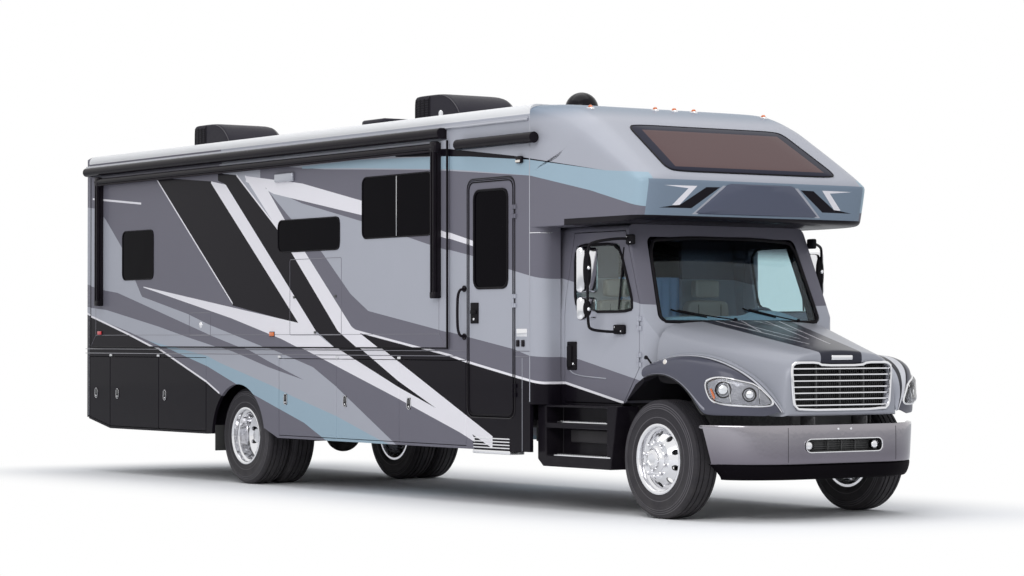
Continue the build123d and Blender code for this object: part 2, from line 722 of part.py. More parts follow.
# ======================================================================== house
def house_floor():
    """Floor panels round the stairwell, and the tracks that the slide-out runs on."""
    side = HALF - WALL_T
    well0, well1 = stair_span()
    shapes = [block(WALL_BACK_X, well0, -side, side, SKIRT_TOP, FLOOR_TOP),
              block(well0, well1, stair_end(), side, SKIRT_TOP, FLOOR_TOP),
              block(well1, HOUSE_FRONT_X, -side, side, SKIRT_TOP, FLOOR_TOP)]
    track_top = SLIDE_BOTTOM + SLIDE_LAP - FIT
    for share in SLIDE_TRACKS:
        x = SLIDE_REAR_X + (SLIDE_FRONT_X - SLIDE_REAR_X) * share
        shapes.append(block(x, x + SLIDE_TRACK_W, -side, -HALF + SLIDE_DEPTH, FLOOR_TOP, track_top))
    return group(*shapes)


def stair_span():
    """Ends of the stairwell along X."""
    return ENTRY_REAR_X - SWING_GAP, ENTRY_REAR_X + ENTRY_W + SWING_GAP


def stair_end():
    """Y of the inner end of the stairwell."""
    return -HALF + SKIRT_T + SWING_GAP + STAIR_GO * STAIR_TREADS


def roof_outline(inset=0.0):
    """Cross-section of the house with its rounded roof edges."""
    face = flat(rectangle(-HALF, HALF, 0, ROOF_TOP), inset)
    top = face.vertices().group_by(Axis.Y)[-1]
    return fillet(top, ROOF_EDGE_R - inset)


def house_section(x0, x1, inset=0.0):
    """The house's cross-section pushed along X."""
    return push(across(x0), roof_outline(inset), x1 - x0)


def house_roof():
    """Roof panel between the rear cap and the front cap."""
    whole = house_section(WALL_BACK_X, HOUSE_FRONT_X)
    return whole & block(WALL_BACK_X, HOUSE_FRONT_X, -HALF, HALF, ROOF_UNDER, ROOF_TOP)


def rear_wall():
    """Rear cap: back wall with rounded corners and a sloped roof edge, and its window."""
    outline = [(WALL_BACK_X, -HALF), (WALL_BACK_X, HALF), (REAR_X, HALF), (REAR_X, -HALF)]
    plane = Plane.XY.offset(REAR_CAP_BOTTOM)
    plan = flat(outline)
    plan = fillet(plan.vertices().group_by(Axis.X)[0], REAR_CORNER_R)
    shape = push(plane, plan, ROOF_TOP - REAR_CAP_BOTTOM)
    profile = [(REAR_X, REAR_CAP_BOTTOM), (WALL_BACK_X, REAR_CAP_BOTTOM), (WALL_BACK_X, ROOF_TOP),
               (REAR_X, ROOF_TOP - REAR_TOP_DROP)]
    shape = shape & side_prism(profile, -HALF, HALF) & house_section(REAR_X, WALL_BACK_X)
    inside = block(REAR_X + WALL_T, WALL_BACK_X, -HALF + WALL_T, HALF - WALL_T, FLOOR_TOP - FLOOR_T, ROOF_UNDER)
    below = block(REAR_X + WALL_T, WALL_BACK_X, -HALF + WALL_T, HALF - WALL_T, REAR_CAP_BOTTOM, SKIRT_TOP)
    return shape - inside - below - rear_window_prism(0)


def rear_window_prism(inset):
    """Prism through the rear wall for its window."""
    half, low, high = REAR_WINDOW
    return front_prism(rectangle(-half, half, low, high), REAR_X - 5, WALL_BACK_X, inset, WINDOW_R)


def left_window_prism(row, y0, y1, inset=0.0):
    """Prism for one window of the left wall."""
    rear, front, low, high = row
    return side_prism(rectangle(HOUSE_FRONT_X - rear, HOUSE_FRONT_X - front, low, high), y0, y1, inset, WINDOW_R)


def house_windows():
    """Panes of the left wall and the rear wall, each seated in its opening."""
    panes = [left_window_prism(row, HALF - 14, HALF - 2, FIT) for row in LEFT_WINDOWS]
    rear = rear_window_prism(FIT) & block(REAR_X + 2, REAR_X + 14, -HALF, HALF, 0, ROOF_TOP)
    return group(*panes, rear)


def entry_outline():
    """Corners of the entry door."""
    return rectangle(ENTRY_REAR_X, ENTRY_REAR_X + ENTRY_W, ENTRY_BOTTOM, ENTRY_TOP)


def entry_hinge_x():
    """X of the entry door's hinge axis."""
    return ENTRY_REAR_X + ENTRY_W + SWING_GAP / 2


def hinge_fixed(x, face_y, z, toward, out):
    """Fixed half of a barrel hinge: a pin between two knuckles on a leaf, outside a face."""
    axis_y = face_y + out * HINGE_OUT
    parts = rod("z", x, axis_y, z - 1.5 * HINGE_H, z + 1.5 * HINGE_H, HINGE_PIN_R)
    for z0 in (z - 1.5 * HINGE_H, z + 0.5 * HINGE_H + PIN_CLEAR):
        z1 = z0 + HINGE_H - PIN_CLEAR
        parts = parts + rod("z", x, axis_y, z0, z1, HINGE_R)
        parts = parts + block(x, x + toward * 40, face_y, axis_y, z0, z1)
    return parts


def hinge_moving(x, face_y, z, toward, out):
    """Moving half of a barrel hinge: one knuckle round the pin, on a leaf."""
    axis_y = face_y + out * HINGE_OUT
    z0, z1 = z - HINGE_H / 2, z + HINGE_H / 2
    parts = rod("z", x, axis_y, z0, z1, HINGE_R) + block(x, x + toward * 40, face_y, axis_y, z0, z1)
    return parts - rod("z", x, axis_y, z0 - 1, z1 + 1, HINGE_PIN_R + FIT)


def side_walls():
    """Left wall with its windows, right wall with the slide-out and entry openings."""
    low, high = SKIRT_TOP, ROOF_UNDER
    left = block(WALL_BACK_X, HOUSE_FRONT_X, HALF - WALL_T, HALF, low, high)
    for row in LEFT_WINDOWS:
        left = left - left_window_prism(row, HALF - WALL_T, HALF)
    right = block(WALL_BACK_X, HOUSE_FRONT_X, -HALF, -HALF + WALL_T, low, high)
    lap = SLIDE_LAP - SLIDE_SIDE_GAP
    right = right - block(SLIDE_REAR_X + lap, SLIDE_FRONT_X - lap, -HALF, -HALF + WALL_T, SLIDE_BOTTOM + lap,
                          SLIDE_TOP - lap)
    right = right - side_prism(entry_outline(), -HALF, -HALF + WALL_T, -SWING_GAP, ENTRY_CORNER_R)
    for z in ENTRY_HINGES:
        if z > SKIRT_TOP + 2 * HINGE_H:
            right = right + hinge_fixed(entry_hinge_x(), -HALF, z, 1, -1)
    return group(left, right)


def entry_door():
    """Entry door with its window opening."""
    door = side_prism(entry_outline(), -HALF, -HALF + ENTRY_T, 0, ENTRY_CORNER_R)
    door = door - side_prism(entry_window_outline(), -HALF, -HALF + ENTRY_T, 0, WINDOW_R)
    for z in ENTRY_HINGES:
        door = door + hinge_moving(entry_hinge_x(), -HALF, z, -1, -1)
    return door


def entry_window_outline():
    """Corners of the entry door's window."""
    return rectangle(ENTRY_REAR_X + ENTRY_WINDOW_SIDE, ENTRY_REAR_X + ENTRY_W - ENTRY_WINDOW_SIDE,
                     ENTRY_WINDOW_BOTTOM, ENTRY_WINDOW_TOP)


def entry_window():
    """Pane of the entry door."""
    return side_prism(entry_window_outline(), -HALF + 2, -HALF + 12, FIT, WINDOW_R)


# ================================================================ baggage bays


def bay_outline(x0, x1, slanted):
    """Side outline of a run of bays; the rear run rises at its rear corner."""
    points = [(x1, SKIRT_BOTTOM), (x1, SKIRT_TOP), (x0, SKIRT_TOP)]
    if slanted:
        return [(x0, SKIRT_BOTTOM + CORNER_RISE), (x0 + CORNER_DOOR_W, SKIRT_BOTTOM), *points]
    return [(x0, SKIRT_BOTTOM), *points]


def rear_run():
    """Ends of the run of bays behind the rear wheels."""
    return WALL_BACK_X, REAR_AXLE_X - ARCH_PILLAR_BACK


def front_run():
    """Ends of the run of bays ahead of the rear wheels."""
    return REAR_AXLE_X + ARCH_PILLAR_FRONT, ENTRY_REAR_X - SWING_GAP


def door_spans(side):
    """Rear edge, front edge and slant of each baggage door, rear to front."""
    spans = []
    x0, x1 = rear_run()
    if side == "right":
        x = x0 + CORNER_DOOR_W
        spans.append((x0 + SILL_H, x, True))
        for width in share_out(RIGHT_REAR_DOORS, x1 - SILL_H - x):
            spans.append((x, x + width, False))
            x += width
    else:
        x = x0 + CORNER_DOOR_W
        spans.append((x, x + LEFT_REAR_DOORS[0], False))
    x0, x1 = front_run()
    if side == "right":
        x = x0 + SILL_H
        widths = share_out(RIGHT_FRONT_DOORS, x1 - SILL_H - x)
    else:
        widths = LEFT_FRONT_DOORS
        x = x1 - SILL_H - sum(widths)
    for width in widths:
        spans.append((x, x + width, False))
        x += width
    return spans


def share_out(widths, room):
    """The widths, scaled so that together they fill the room."""
    return [width * room / sum(widths) for width in widths]


def skirt_prism(x0, x1, y0, y1, slanted, inset):
    """Inside of a run's outline between two X values."""
    run = rear_run() if x0 < REAR_AXLE_X else front_run()
    inner = side_prism(bay_outline(*run, slanted), y0, y1, inset)
    return inner & block(x0, x1, y0, y1, 0, SKIRT_TOP)


def bay_frame(run, slanted):
    """Floor, top and end plates round one run of bays."""
    x0, x1 = run
    y0, y1 = -HALF, -BAY_INNER_Y
    ring = side_prism(bay_outline(x0, x1, slanted), y0, y1)
    ring = ring - side_prism(bay_outline(x0, x1, slanted), y0 - 1, y1 + 1, SILL_H)
    top = SKIRT_TOP - SILL_H
    cuts = [x0 + SILL_H, x0 + CORNER_DOOR_W, x1 - SILL_H] if slanted else [x0 + SILL_H, x1 - SILL_H]
    plates = [ring & block(x0, x1, y0, y1, top, SKIRT_TOP)]
    for a, b in zip([x0, *cuts], [*cuts, x1]):
        plates.append(ring & block(a, b, y0, y1, 0, top))
    return plates


def bay_inside(run, slanted, spans):
    """Walls inside one run of bays: uprights, the wall behind the bays and the fixed skins beside them."""
    top = SKIRT_TOP - SILL_H
    y_bulk = -HALF + SKIRT_T + DOOR_BACK_GAP
    y_wall = -BAY_INNER_Y - BAY_WALL_T
    low, high = run[0] + SILL_H, run[1] - SILL_H
    first, last = max(low, spans[0][0] - BULKHEAD_T), min(high, spans[-1][1] + BULKHEAD_T)
    starts = [first, *[x1 - BULKHEAD_T / 2 for _, x1, _ in spans]]
    ends = [*[x0 + BULKHEAD_T / 2 for x0, _, _ in spans], last]
    inner = side_prism(bay_outline(*run, slanted), -HALF, -BAY_INNER_Y, SILL_H)
    walls = [inner & block(a, b, y_bulk, y_wall, 0, top) for a, b in zip(starts, ends)]
    walls.append(inner & block(first, last, y_wall, -BAY_INNER_Y, 0, top))
    for a, b in ((low, spans[0][0]), (spans[-1][1], high)):
        if b - a > SILL_H:
            walls.append(inner & block(a, b, -HALF, -HALF + SKIRT_T, 0, top))
    return walls


def bay_side(side):
    """One side's bays, drawn on the right: two runs of plates and the wheel-arch panels between them."""
    plates = []
    for run, slanted in ((rear_run(), side == "right"), (front_run(), False)):
        spans = [span for span in door_spans(side) if run[0] <= span[0] <= run[1]]
        frame = bay_frame(run, slanted)
        for _, x1, _ in spans:
            frame = [plate - door_pins(x1, FIT) for plate in frame]
        plates += [*frame, *bay_inside(run, slanted, spans)]
    return group(*plates, *arch_panels(), *entry_panel(side))


def arch_panels():
    """The two halves of the panel round the rear wheels, drawn on the right."""
    axle, y0, y1 = REAR_AXLE_X, -HALF, -HALF + SKIRT_T
    rear, front = rear_run()[1], front_run()[0]
    outline = [(rear, SKIRT_BOTTOM), (rear, SKIRT_TOP), (front, SKIRT_TOP), (front, SKIRT_BOTTOM),
               (axle + REAR_ARCH_R, SKIRT_BOTTOM + ARCH_FRONT_RISE)]
    panel = side_prism(outline, y0, y1) - rod("y", axle, REAR_ARCH_Z, y0 - 1, y1 + 1, REAR_ARCH_R)
    return [panel & block(a, b, y0, y1, 0, SKIRT_TOP) for a, b in ((rear, axle), (axle, front))]


def door_pins(x1, clearance):
    """The two hinge pins of a baggage door, or their holes when a clearance is given."""
    x = x1 - SWING_GAP / 2 - DOOR_PIN_IN
    y = -HALF + DOOR_PIN_IN
    radius = DOOR_PIN_R + clearance
    top = SKIRT_TOP - SILL_H
    low = SKIRT_BOTTOM + SILL_H
    reach = DOOR_PIN_L + clearance
    return rod("z", x, y, top - SWING_GAP, top + reach, radius) + rod("z", x, y, low - reach, low + 4 * SWING_GAP, radius)


def baggage_door(side, index):
    """One baggage door with its hinge pins, drawn on the right."""
    x0, x1, slanted = door_spans(side)[index]
    gap = SWING_GAP / 2
    slab = skirt_prism(x0 + gap, x1 - gap, -HALF, -HALF + SKIRT_T, slanted, SILL_H + SWING_GAP - 1)
    edge = slab.edges().filter_by(Axis.Z).group_by(Axis.X)[-1].sort_by(Axis.Y)[0]
    door = fillet(edge, DOOR_PIN_IN)
    top, low = SKIRT_TOP - SILL_H, SKIRT_BOTTOM + SILL_H
    pins = door_pins(x1, 0)
    return on_side(door + (pins & block(x0, x1, -HALF, HALF, low - DOOR_PIN_L, top + DOOR_PIN_L)), side)


def entry_panel(side):
    """Lower panel ahead of the bays, with the doorway and stairwell on the right."""
    x0, x1 = front_run()[1], HOUSE_FRONT_X
    panel = block(x0, x1, -HALF, -HALF + SKIRT_T, SKIRT_BOTTOM, SKIRT_TOP)
    if side == "left":
        return [panel]
    door = side_prism(entry_outline(), -HALF - 1, -HALF + SKIRT_T + 1, -SWING_GAP, ENTRY_CORNER_R)
    panel = panel - (door & block(x0, x1 + 1, -HALF - 1, 0, 0, SKIRT_TOP + 1))
    return [panel + entry_low_hinge(), *stairwell()]


def entry_low_hinge():
    """Fixed half of the entry door's lowest hinge."""
    return hinge_fixed(entry_hinge_x(), -HALF, ENTRY_HINGES[0], 1, -1)


def stairwell():
    """Treads and risers behind the entry door, and the cheek at their front."""
    x0, x1 = stair_span()
    start = -HALF + SKIRT_T
    base = ENTRY_BOTTOM - SWING_GAP - STAIR_T
    rise = (SKIRT_TOP - base) / STAIR_TREADS
    plates = [block(x1, x1 + STAIR_T, start, stair_end(), base, SKIRT_TOP)]
    y = start
    for step in range(STAIR_TREADS):
        end = start + SWING_GAP + STAIR_GO * (step + 1)
        z = base + rise * step
        plates.append(block(x0, x1, y, end, z, z + STAIR_T))
        plates.append(block(x0, x1, end - STAIR_T, end, z + STAIR_T, min(z + rise + STAIR_T, SKIRT_TOP)))
        y = end
    return plates


def baggage_bays():
    """Both sides' bays, with the fixed lower panels."""
    return group(bay_side("right"), left_of(bay_side("left")))


# ==================================================================== slide-out


def slide_window_prism(row, y0, y1, inset=0.0):
    """Prism for one slide-out window."""
    rear, front, low, high = row
    return side_prism(rectangle(FRONT_AXLE_X - rear, FRONT_AXLE_X - front, low, high), y0, y1, inset, WINDOW_R)


def slide_out():
    """Room that slides out: outer wall with its flange, floor, roof and two ends."""
    x0, x1 = SLIDE_REAR_X + SLIDE_LAP, SLIDE_FRONT_X - SLIDE_LAP
    z0, z1 = SLIDE_BOTTOM + SLIDE_LAP, SLIDE_TOP - SLIDE_LAP
    face_in = -HALF - SLIDE_FACE_GAP
    room = block(x0, x1, face_in, -HALF + SLIDE_DEPTH, z0, z1)
    room = room - block(x0 + SLIDE_WALL_T, x1 - SLIDE_WALL_T, face_in + SLIDE_WALL_T, -HALF + SLIDE_DEPTH,
                        z0 + SLIDE_WALL_T, z1 - SLIDE_WALL_T)
    face = block(SLIDE_REAR_X, SLIDE_FRONT_X, -SLIDE_OUTER_Y, face_in, SLIDE_BOTTOM, SLIDE_TOP)
    body = room + face
    for row in SLIDE_WINDOWS:
        body = body - slide_window_prism(row, -SLIDE_OUTER_Y, face_in + SLIDE_WALL_T)
    return body


def slide_windows():
    """Panes of the slide-out."""
    return group(*[slide_window_prism(row, -SLIDE_OUTER_Y + 2, -SLIDE_OUTER_Y + 14, FIT) for row in SLIDE_WINDOWS])


def patio_awning():
    """Rolled awning and its two folded arms, fixed to the slide-out's face."""
    face = -SLIDE_OUTER_Y - FIT
    x0, x1 = SLIDE_REAR_X + AWNING_INSET[0], SLIDE_FRONT_X - AWNING_INSET[1]
    roller = rod("x", face - AWNING_ARM_T - 2, AWNING_Z, x0, x1, AWNING_R)
    body = roller
    for a, b in ((x0 - AWNING_ARM_W, x0), (x1, x1 + AWNING_ARM_W)):
        body = body + block(a, b, face, face - AWNING_ARM_T, AWNING_ARM_LOW, AWNING_Z + AWNING_R)
        body = body + rod("x", face - AWNING_ARM_T - 2, AWNING_Z, a, b, AWNING_R)
    return body


def awning_rollers():
    """Roller over the slide-out and the case over the entry door, on end brackets."""
    y = -HALF - TOPPER_OUT
    x0, x1 = SLIDE_REAR_X - TOPPER_LAP, SLIDE_FRONT_X - TOPPER_LAP
    topper = rod("x", y, TOPPER_Z, x0, x1, TOPPER_R)
    for a in (x0, x1 - TOPPER_BRACKET):
        topper = topper + block(a, a + TOPPER_BRACKET, y, -HALF - FIT, TOPPER_Z - TOPPER_R, TOPPER_Z + TOPPER_R)
    y = -HALF - TOPPER_OUT - TOPPER_R + CASE_R
    case_x0 = ENTRY_REAR_X - CASE_OVER
    case = rod("x", y, AWNING_Z, case_x0, HOUSE_FRONT_X + CASE_AHEAD, CASE_R)
    for a in (case_x0, HOUSE_FRONT_X - 2 * CASE_BRACKET):
        case = case + block(a, a + CASE_BRACKET, y, -HALF - FIT, AWNING_Z - CASE_BRACKET, AWNING_Z + CASE_BRACKET)
    return group(topper, case)


# ========================================================================= roof


def roof_air_conditioners():
    """Two roof units with sloped fronts."""
    shapes = []
    base = ROOF_TOP + FIT
    for back in AC_REAR_X:
        x = FRONT_AXLE_X - back
        profile = [(x, base), (x + AC_LENGTH, base), (x + AC_LENGTH, base + AC_NOSE),
                   (x + AC_LENGTH - AC_SLOPE, base + AC_H), (x + AC_REAR_CUT[0], base + AC_H),
                   (x, base + AC_H - AC_REAR_CUT[1])]
        unit = side_prism(profile, -AC_HALF, AC_HALF)
        shapes.append(fillet(unit.edges().filter_by(Axis.X).group_by(Axis.Z)[-1], AC_EDGE_R))
    return group(*shapes)


def roof_fittings():
    """Roof vent cover and satellite dome."""
    base = ROOF_TOP + FIT
    vent_x = FRONT_AXLE_X - VENT_X
    vent = block(vent_x, vent_x + VENT_SIZE, VENT_Y, VENT_Y + VENT_SIZE, base, base + VENT_H)
    vent = chamfer(vent.faces().sort_by(Axis.Z)[-1].edges(), VENT_EDGE)
    dome_x = FRONT_AXLE_X - DOME_X
    drum = rod("z", dome_x, DOME_Y, base, base + DOME_H, DOME_R)
    cap = Pos(dome_x, DOME_Y, base + DOME_H) * Sphere(DOME_R)
    cap = cap & block(dome_x - DOME_R, dome_x + DOME_R, DOME_Y - DOME_R, DOME_Y + DOME_R, base + DOME_H,
                      base + DOME_H + DOME_R)
    return group(vent, drum + cap)


# ================================================================== overcab cap


def cap_volume(inset=0.0):
    """Solid of the overcab cap, or of its inside when an inset is given."""
    profile = [(HOUSE_FRONT_X, ROOF_TOP), (CAP_BROW_X, CAP_BROW_Z), (CAP_HEAD_X, CAP_HEAD_Z),
               (CAP_SILL_X, CAP_SILL_Z), (CAP_CREASE_X, CAP_CREASE_Z), (CAP_LIP_X, CAP_LIP_Z),
               (CAP_LIP_X - 180, CAP_BOTTOM), (HOUSE_FRONT_X, CAP_BOTTOM)]
    plan = [(HOUSE_FRONT_X, -HALF), (CAP_TAPER_X, -HALF + 12), (CAP_CREASE_X, -CAP_NOSE_HALF)]
    plan = [*plan, *[(x, -y) for x, y in reversed(plan)]]
    outline = flat(plan)
    outline = fillet(outline.vertices().group_by(Axis.X)[-1], CAP_CORNER_R)
    if inset:
        outline = offset(outline, -inset, kind=Kind.INTERSECTION)
    plan_solid = push(Plane.XY.offset(CAP_BOTTOM - 10), outline, ROOF_TOP - CAP_BOTTOM + 20)
    return side_prism(profile, -HALF, HALF, inset) & plan_solid & house_section(HOUSE_FRONT_X, FRONT_X, inset)


def cap_window_prism(inset=0.0):
    """Prism through the cap's sloped front for its window."""
    half = CAP_WINDOW_LOW_HALF
    outline = rectangle(-half, half, CAP_WINDOW_LOW, CAP_WINDOW_HIGH)
    return front_prism(outline, CAP_HEAD_X - 120, CAP_CREASE_X, inset, 60)


def overcab_cap():
    """Cap over the cab, the bulkhead behind the cab and a rounded column at each side of it."""
    shell = cap_volume() - cap_volume(WALL_T)
    shell = shell - block(HOUSE_FRONT_X - 1, HOUSE_FRONT_X + WALL_T + 1, -HALF + WALL_T, HALF - WALL_T,
                          CAP_BOTTOM + WALL_T, ROOF_UNDER)
    shell = shell - cap_window_prism()
    bulkhead = block(HOUSE_FRONT_X, HOUSE_FRONT_X + WALL_T, -HALF, HALF, SKIRT_TOP, CAP_BOTTOM)
    bulkhead = bulkhead - block(HOUSE_FRONT_X, HOUSE_FRONT_X + WALL_T, -PASSAGE_HALF, PASSAGE_HALF, FLOOR_TOP,
                                CAP_BOTTOM - 60)
    shell = shell + bulkhead
    for side in (-1, 1):
        plan = flat(rectangle(HOUSE_FRONT_X, HOUSE_FRONT_X + COLUMN_DEPTH, *sorted(
            (side * (CAB_HALF + SWING_GAP), side * HALF))))
        corner = [v for v in plan.vertices() if v.X > HOUSE_FRONT_X + 1 and abs(v.Y) > HALF - 1]
        plan = fillet(corner, min(COLUMN_R, 0.9 * (HALF - CAB_HALF - SWING_GAP)))
        shell = shell + push(Plane.XY.offset(CAB_BOTTOM), plan, CAP_BOTTOM - CAB_BOTTOM)
    return shell


def overcab_window():
    """Pane in the cap's sloped front."""
    skin = cap_volume(2) - cap_volume(14)
    return skin & cap_window_prism(FIT)


# ========================================================================== cab
def cab_volume(inset=0.0):
    """Solid of the cab, or of its inside when an inset is given."""
    floor = CAB_BOTTOM if not inset else CAB_FLOOR_TOP - CAB_WALL_T
    profile = [(CAB_BACK_X, floor), (COWL_X - TOE_BACK, floor), (COWL_X, floor + TOE_RISE), (COWL_X, CAB_ROOF_TOP),
               (CAB_BACK_X, CAB_ROOF_TOP)]
    section = [(-CAB_HALF, 0), (CAB_HALF, 0), (CAB_HALF, BELT_Z), (CAB_ROOF_HALF, CAB_ROOF_TOP),
               (-CAB_ROOF_HALF, CAB_ROOF_TOP), (-CAB_HALF, BELT_Z)]
    plan = [(CAB_BACK_X, -CAB_HALF), (COWL_X - COWL_CORNER_BACK, -CAB_HALF), (COWL_X, -CAB_HALF + COWL_CORNER)]
    plan = [*plan, *[(x, -y) for x, y in reversed(plan)]]
    shape = side_prism(profile, -CAB_HALF, CAB_HALF, inset)
    face = flat(section, inset)
    face = fillet(face.vertices().group_by(Axis.Y)[-1], CAB_ROOF_R)
    shape = shape & push(across(CAB_BACK_X), face, COWL_X - CAB_BACK_X)
    shape = shape & plan_prism(plan, 0, CAB_ROOF_TOP + 10, inset)
    return shape & screen_cylinder(inset)


def screen_cylinder(inset):
    """Large raked cylinder that bounds the cab at its windscreen."""
    rake = radians(SCREEN_RAKE)
    run = Vector(-sin(rake), 0, cos(rake))
    back = Vector(cos(rake), 0, sin(rake)) * (-SCREEN_BOW_R)
    start = Vector(COWL_X, 0, COWL_Z) + back - run * 1500
    plane = Plane(origin=start, x_dir=(0, 1, 0), z_dir=run)
    return push(plane, Circle(SCREEN_BOW_R - inset), 3000)


def behind_axle(points):
    """Points given behind the front axle, in the row's frame."""
    return [(FRONT_AXLE_X - x, z) for x, z in points]


def cab_shell(outer, inner):
    """Cab: floor, back wall, roof, pillars and cowl, with its door and windscreen openings."""
    shell = outer - inner
    tunnel = block(CAB_BACK_X - 1, COWL_X + 1, -RAIL_Y - 50, RAIL_Y + 50, CAB_BOTTOM - 1, RAIL_TOP + FIT)
    shell = shell - tunnel
    for side in (-1, 1):
        door = side_prism(behind_axle(DOOR_SIDE), side * DOOR_REACH_Y, side * (CAB_HALF + 5), -SWING_GAP)
        shell = shell - door
    shell = shell - front_prism(SCREEN, FRONT_AXLE_X - 900, COWL_X + 10, 0, 60)
    shell = shell - block(CAB_BACK_X - 1, CAB_BACK_X + CAB_WALL_T + 1, -PASSAGE_HALF, PASSAGE_HALF,
                          FLOOR_TOP, CAP_BOTTOM - 100)
    for side in (-1, 1):
        for z in CAB_HINGES:
            shell = shell + hinge_fixed(DOOR_FRONT_X + SWING_GAP / 2, side * CAB_HALF, z, 1, side)
    return shell


def cab_door(side, outer, inner):
    """One cab door with its window opening and hinges, drawn on the right."""
    panel = (outer - inner) & side_prism(behind_axle(DOOR_SIDE), -DOOR_REACH_Y, -CAB_HALF - 5)
    panel = panel - side_prism(behind_axle(DOOR_WINDOW), -DOOR_REACH_Y, -CAB_HALF - 5, 0, WINDOW_R)
    for z in CAB_HINGES:
        panel = panel + hinge_moving(DOOR_FRONT_X + SWING_GAP / 2, -CAB_HALF, z, -1, -1)
    return on_side(panel, side)


def cab_glass(side, skin):
    """Pane of one cab door."""
    return on_side(skin & side_prism(behind_axle(DOOR_WINDOW), -DOOR_REACH_Y, -CAB_HALF - 5, FIT, WINDOW_R), side)


def windshield(skin):
    """Curved windscreen in its opening."""
    return skin & front_prism(SCREEN, FRONT_AXLE_X - 900, COWL_X + 10, FIT, 60)


def mirror_unit(side):
    """Door mirror: head, lower spotter and the two arms that reach the door."""
    x = FRONT_AXLE_X - MIRROR_X
    head = block(x - MIRROR_T, x, -MIRROR_OUTER_Y, -MIRROR_INNER_Y, MIRROR_BOTTOM + MIRROR_HEAD_RISE, MIRROR_TOP)
    head = fillet(head.edges().filter_by(Axis.X), MIRROR_EDGE_R)
    spot = block(x - MIRROR_T, x, -MIRROR_OUTER_Y, -MIRROR_INNER_Y, MIRROR_BOTTOM, MIRROR_BOTTOM + MIRROR_SPOT_H)
    spot = fillet(spot.edges().filter_by(Axis.X), MIRROR_EDGE_R)
    post_x = x - MIRROR_T / 2
    post_y = MIRROR_INNER_Y + MIRROR_ARM_IN
    post = rod("z", post_x, -post_y, MIRROR_BOTTOM - MIRROR_POST_LOW, MIRROR_TOP - MIRROR_POST_HIGH, MIRROR_ARM_R)
    unit = head + spot + post
    foot_x = FRONT_AXLE_X - MIRROR_FOOT_X
    for z, foot_z in ((MIRROR_TOP - MIRROR_ARM_DROP, MIRROR_FEET_Z[0]), (MIRROR_BOTTOM - MIRROR_ARM_LOW, MIRROR_FEET_Z[1])):
        foot = (foot_x, -CAB_HALF - MIRROR_FOOT_T / 2, foot_z)
        unit = unit + strut((post_x, -post_y, z), foot, MIRROR_ARM_R)
        unit = unit + block(foot_x - MIRROR_FOOT_W, foot_x + MIRROR_FOOT_W, -CAB_HALF - MIRROR_FOOT_T, -CAB_HALF - FIT,
                            foot_z - MIRROR_FOOT_H, foot_z + MIRROR_FOOT_H)
    return on_side(unit, side)


def cab_steps():
    """Side fairing with two entry steps under each cab door."""
    x0, x1 = HOUSE_FRONT_X + FIT, STEP_FRONT_X
    outline = [(x0, STEP_LOW + 60), (x0 + 80, STEP_LOW), (x1, STEP_LOW), (x1 + 90, CAB_BOTTOM - FIT), (x0, CAB_BOTTOM - FIT)]
    fairing = side_prism(outline, -STEP_OUT_Y, -STEP_IN_Y)
    for tread, top in zip(STEP_TREADS, (STEP_TREADS[1] - 45, CAB_BOTTOM - 20)):
        recess = block(x0 + 130, x1 - 60, -STEP_OUT_Y - 1, -STEP_OUT_Y + STEP_RECESS, tread, top)
        fairing = fairing - recess
    return group(fairing, left_of(fairing))


def steering_axis():
    """Start of the steering shaft at the dash and its direction, up and back."""
    tilt = radians(COLUMN_TILT)
    start = Vector(COWL_X - CAB_WALL_T - DASH_DEPTH + 20, WHEEL_Y, DASH_TOP - 130)
    return start, Vector(-cos(tilt), 0, sin(tilt))


def dashboard(inner_clear):
    """Dashboard across the cab with the steering column's sleeve."""
    front = COWL_X
    dash = block(front - CAB_WALL_T - DASH_DEPTH, front, -CAB_HALF + 80, CAB_HALF - 80, DASH_BOTTOM, DASH_TOP)
    start, run = steering_axis()
    sleeve = push(Plane(origin=start, z_dir=run), Circle(COLUMN_R_CAB), SLEEVE_L)
    bore = push(Plane(origin=start, z_dir=run), Circle(SHAFT_R + FIT), SHAFT_L)
    return (dash & inner_clear) + sleeve - bore


def steering_wheel():
    """Steering wheel on its shaft."""
    start, run = steering_axis()
    plane = Plane(origin=start + run * SHAFT_START, z_dir=run)
    shaft = push(plane, Circle(SHAFT_R), SHAFT_L)
    hub_plane = Plane(origin=start + run * HUB_START, z_dir=run)
    hub = push(hub_plane, Circle(HUB_R), HUB_T)
    middle = hub_plane.offset(SPOKE_RISE).location
    ring = middle * Torus(WHEEL_R, WHEEL_TUBE_R)
    wheel = shaft + hub + ring
    spoke = middle * Box(SPOKE_W, 2 * WHEEL_R, SPOKE_T)
    return wheel + spoke + middle * Pos(WHEEL_R / 2, 0, 0) * Box(WHEEL_R, SPOKE_W, SPOKE_T)


def cab_seats():
    """Driver's and passenger's seats on their pedestals."""
    x = FRONT_AXLE_X - SEAT_X
    seats = []
    for side in (-1, 1):
        y0, y1 = side * SEAT_Y - SEAT_HALF, side * SEAT_Y + SEAT_HALF
        pedestal = block(x + 120, x + 420, y0 + 60, y1 - 60, CAB_FLOOR_TOP + FIT, SEAT_CUSHION_Z[0])
        cushion = block(x + 20, x + 540, y0, y1, *SEAT_CUSHION_Z)
        back = [(x + 20, SEAT_CUSHION_Z[0]), (x + 180, SEAT_CUSHION_Z[0]), (x + 90, SEAT_BACK_TOP), (x - 30, SEAT_BACK_TOP)]
        seats.append(pedestal + cushion + side_prism(back, y0, y1))
    return group(*seats)


# ========================================================================= hood


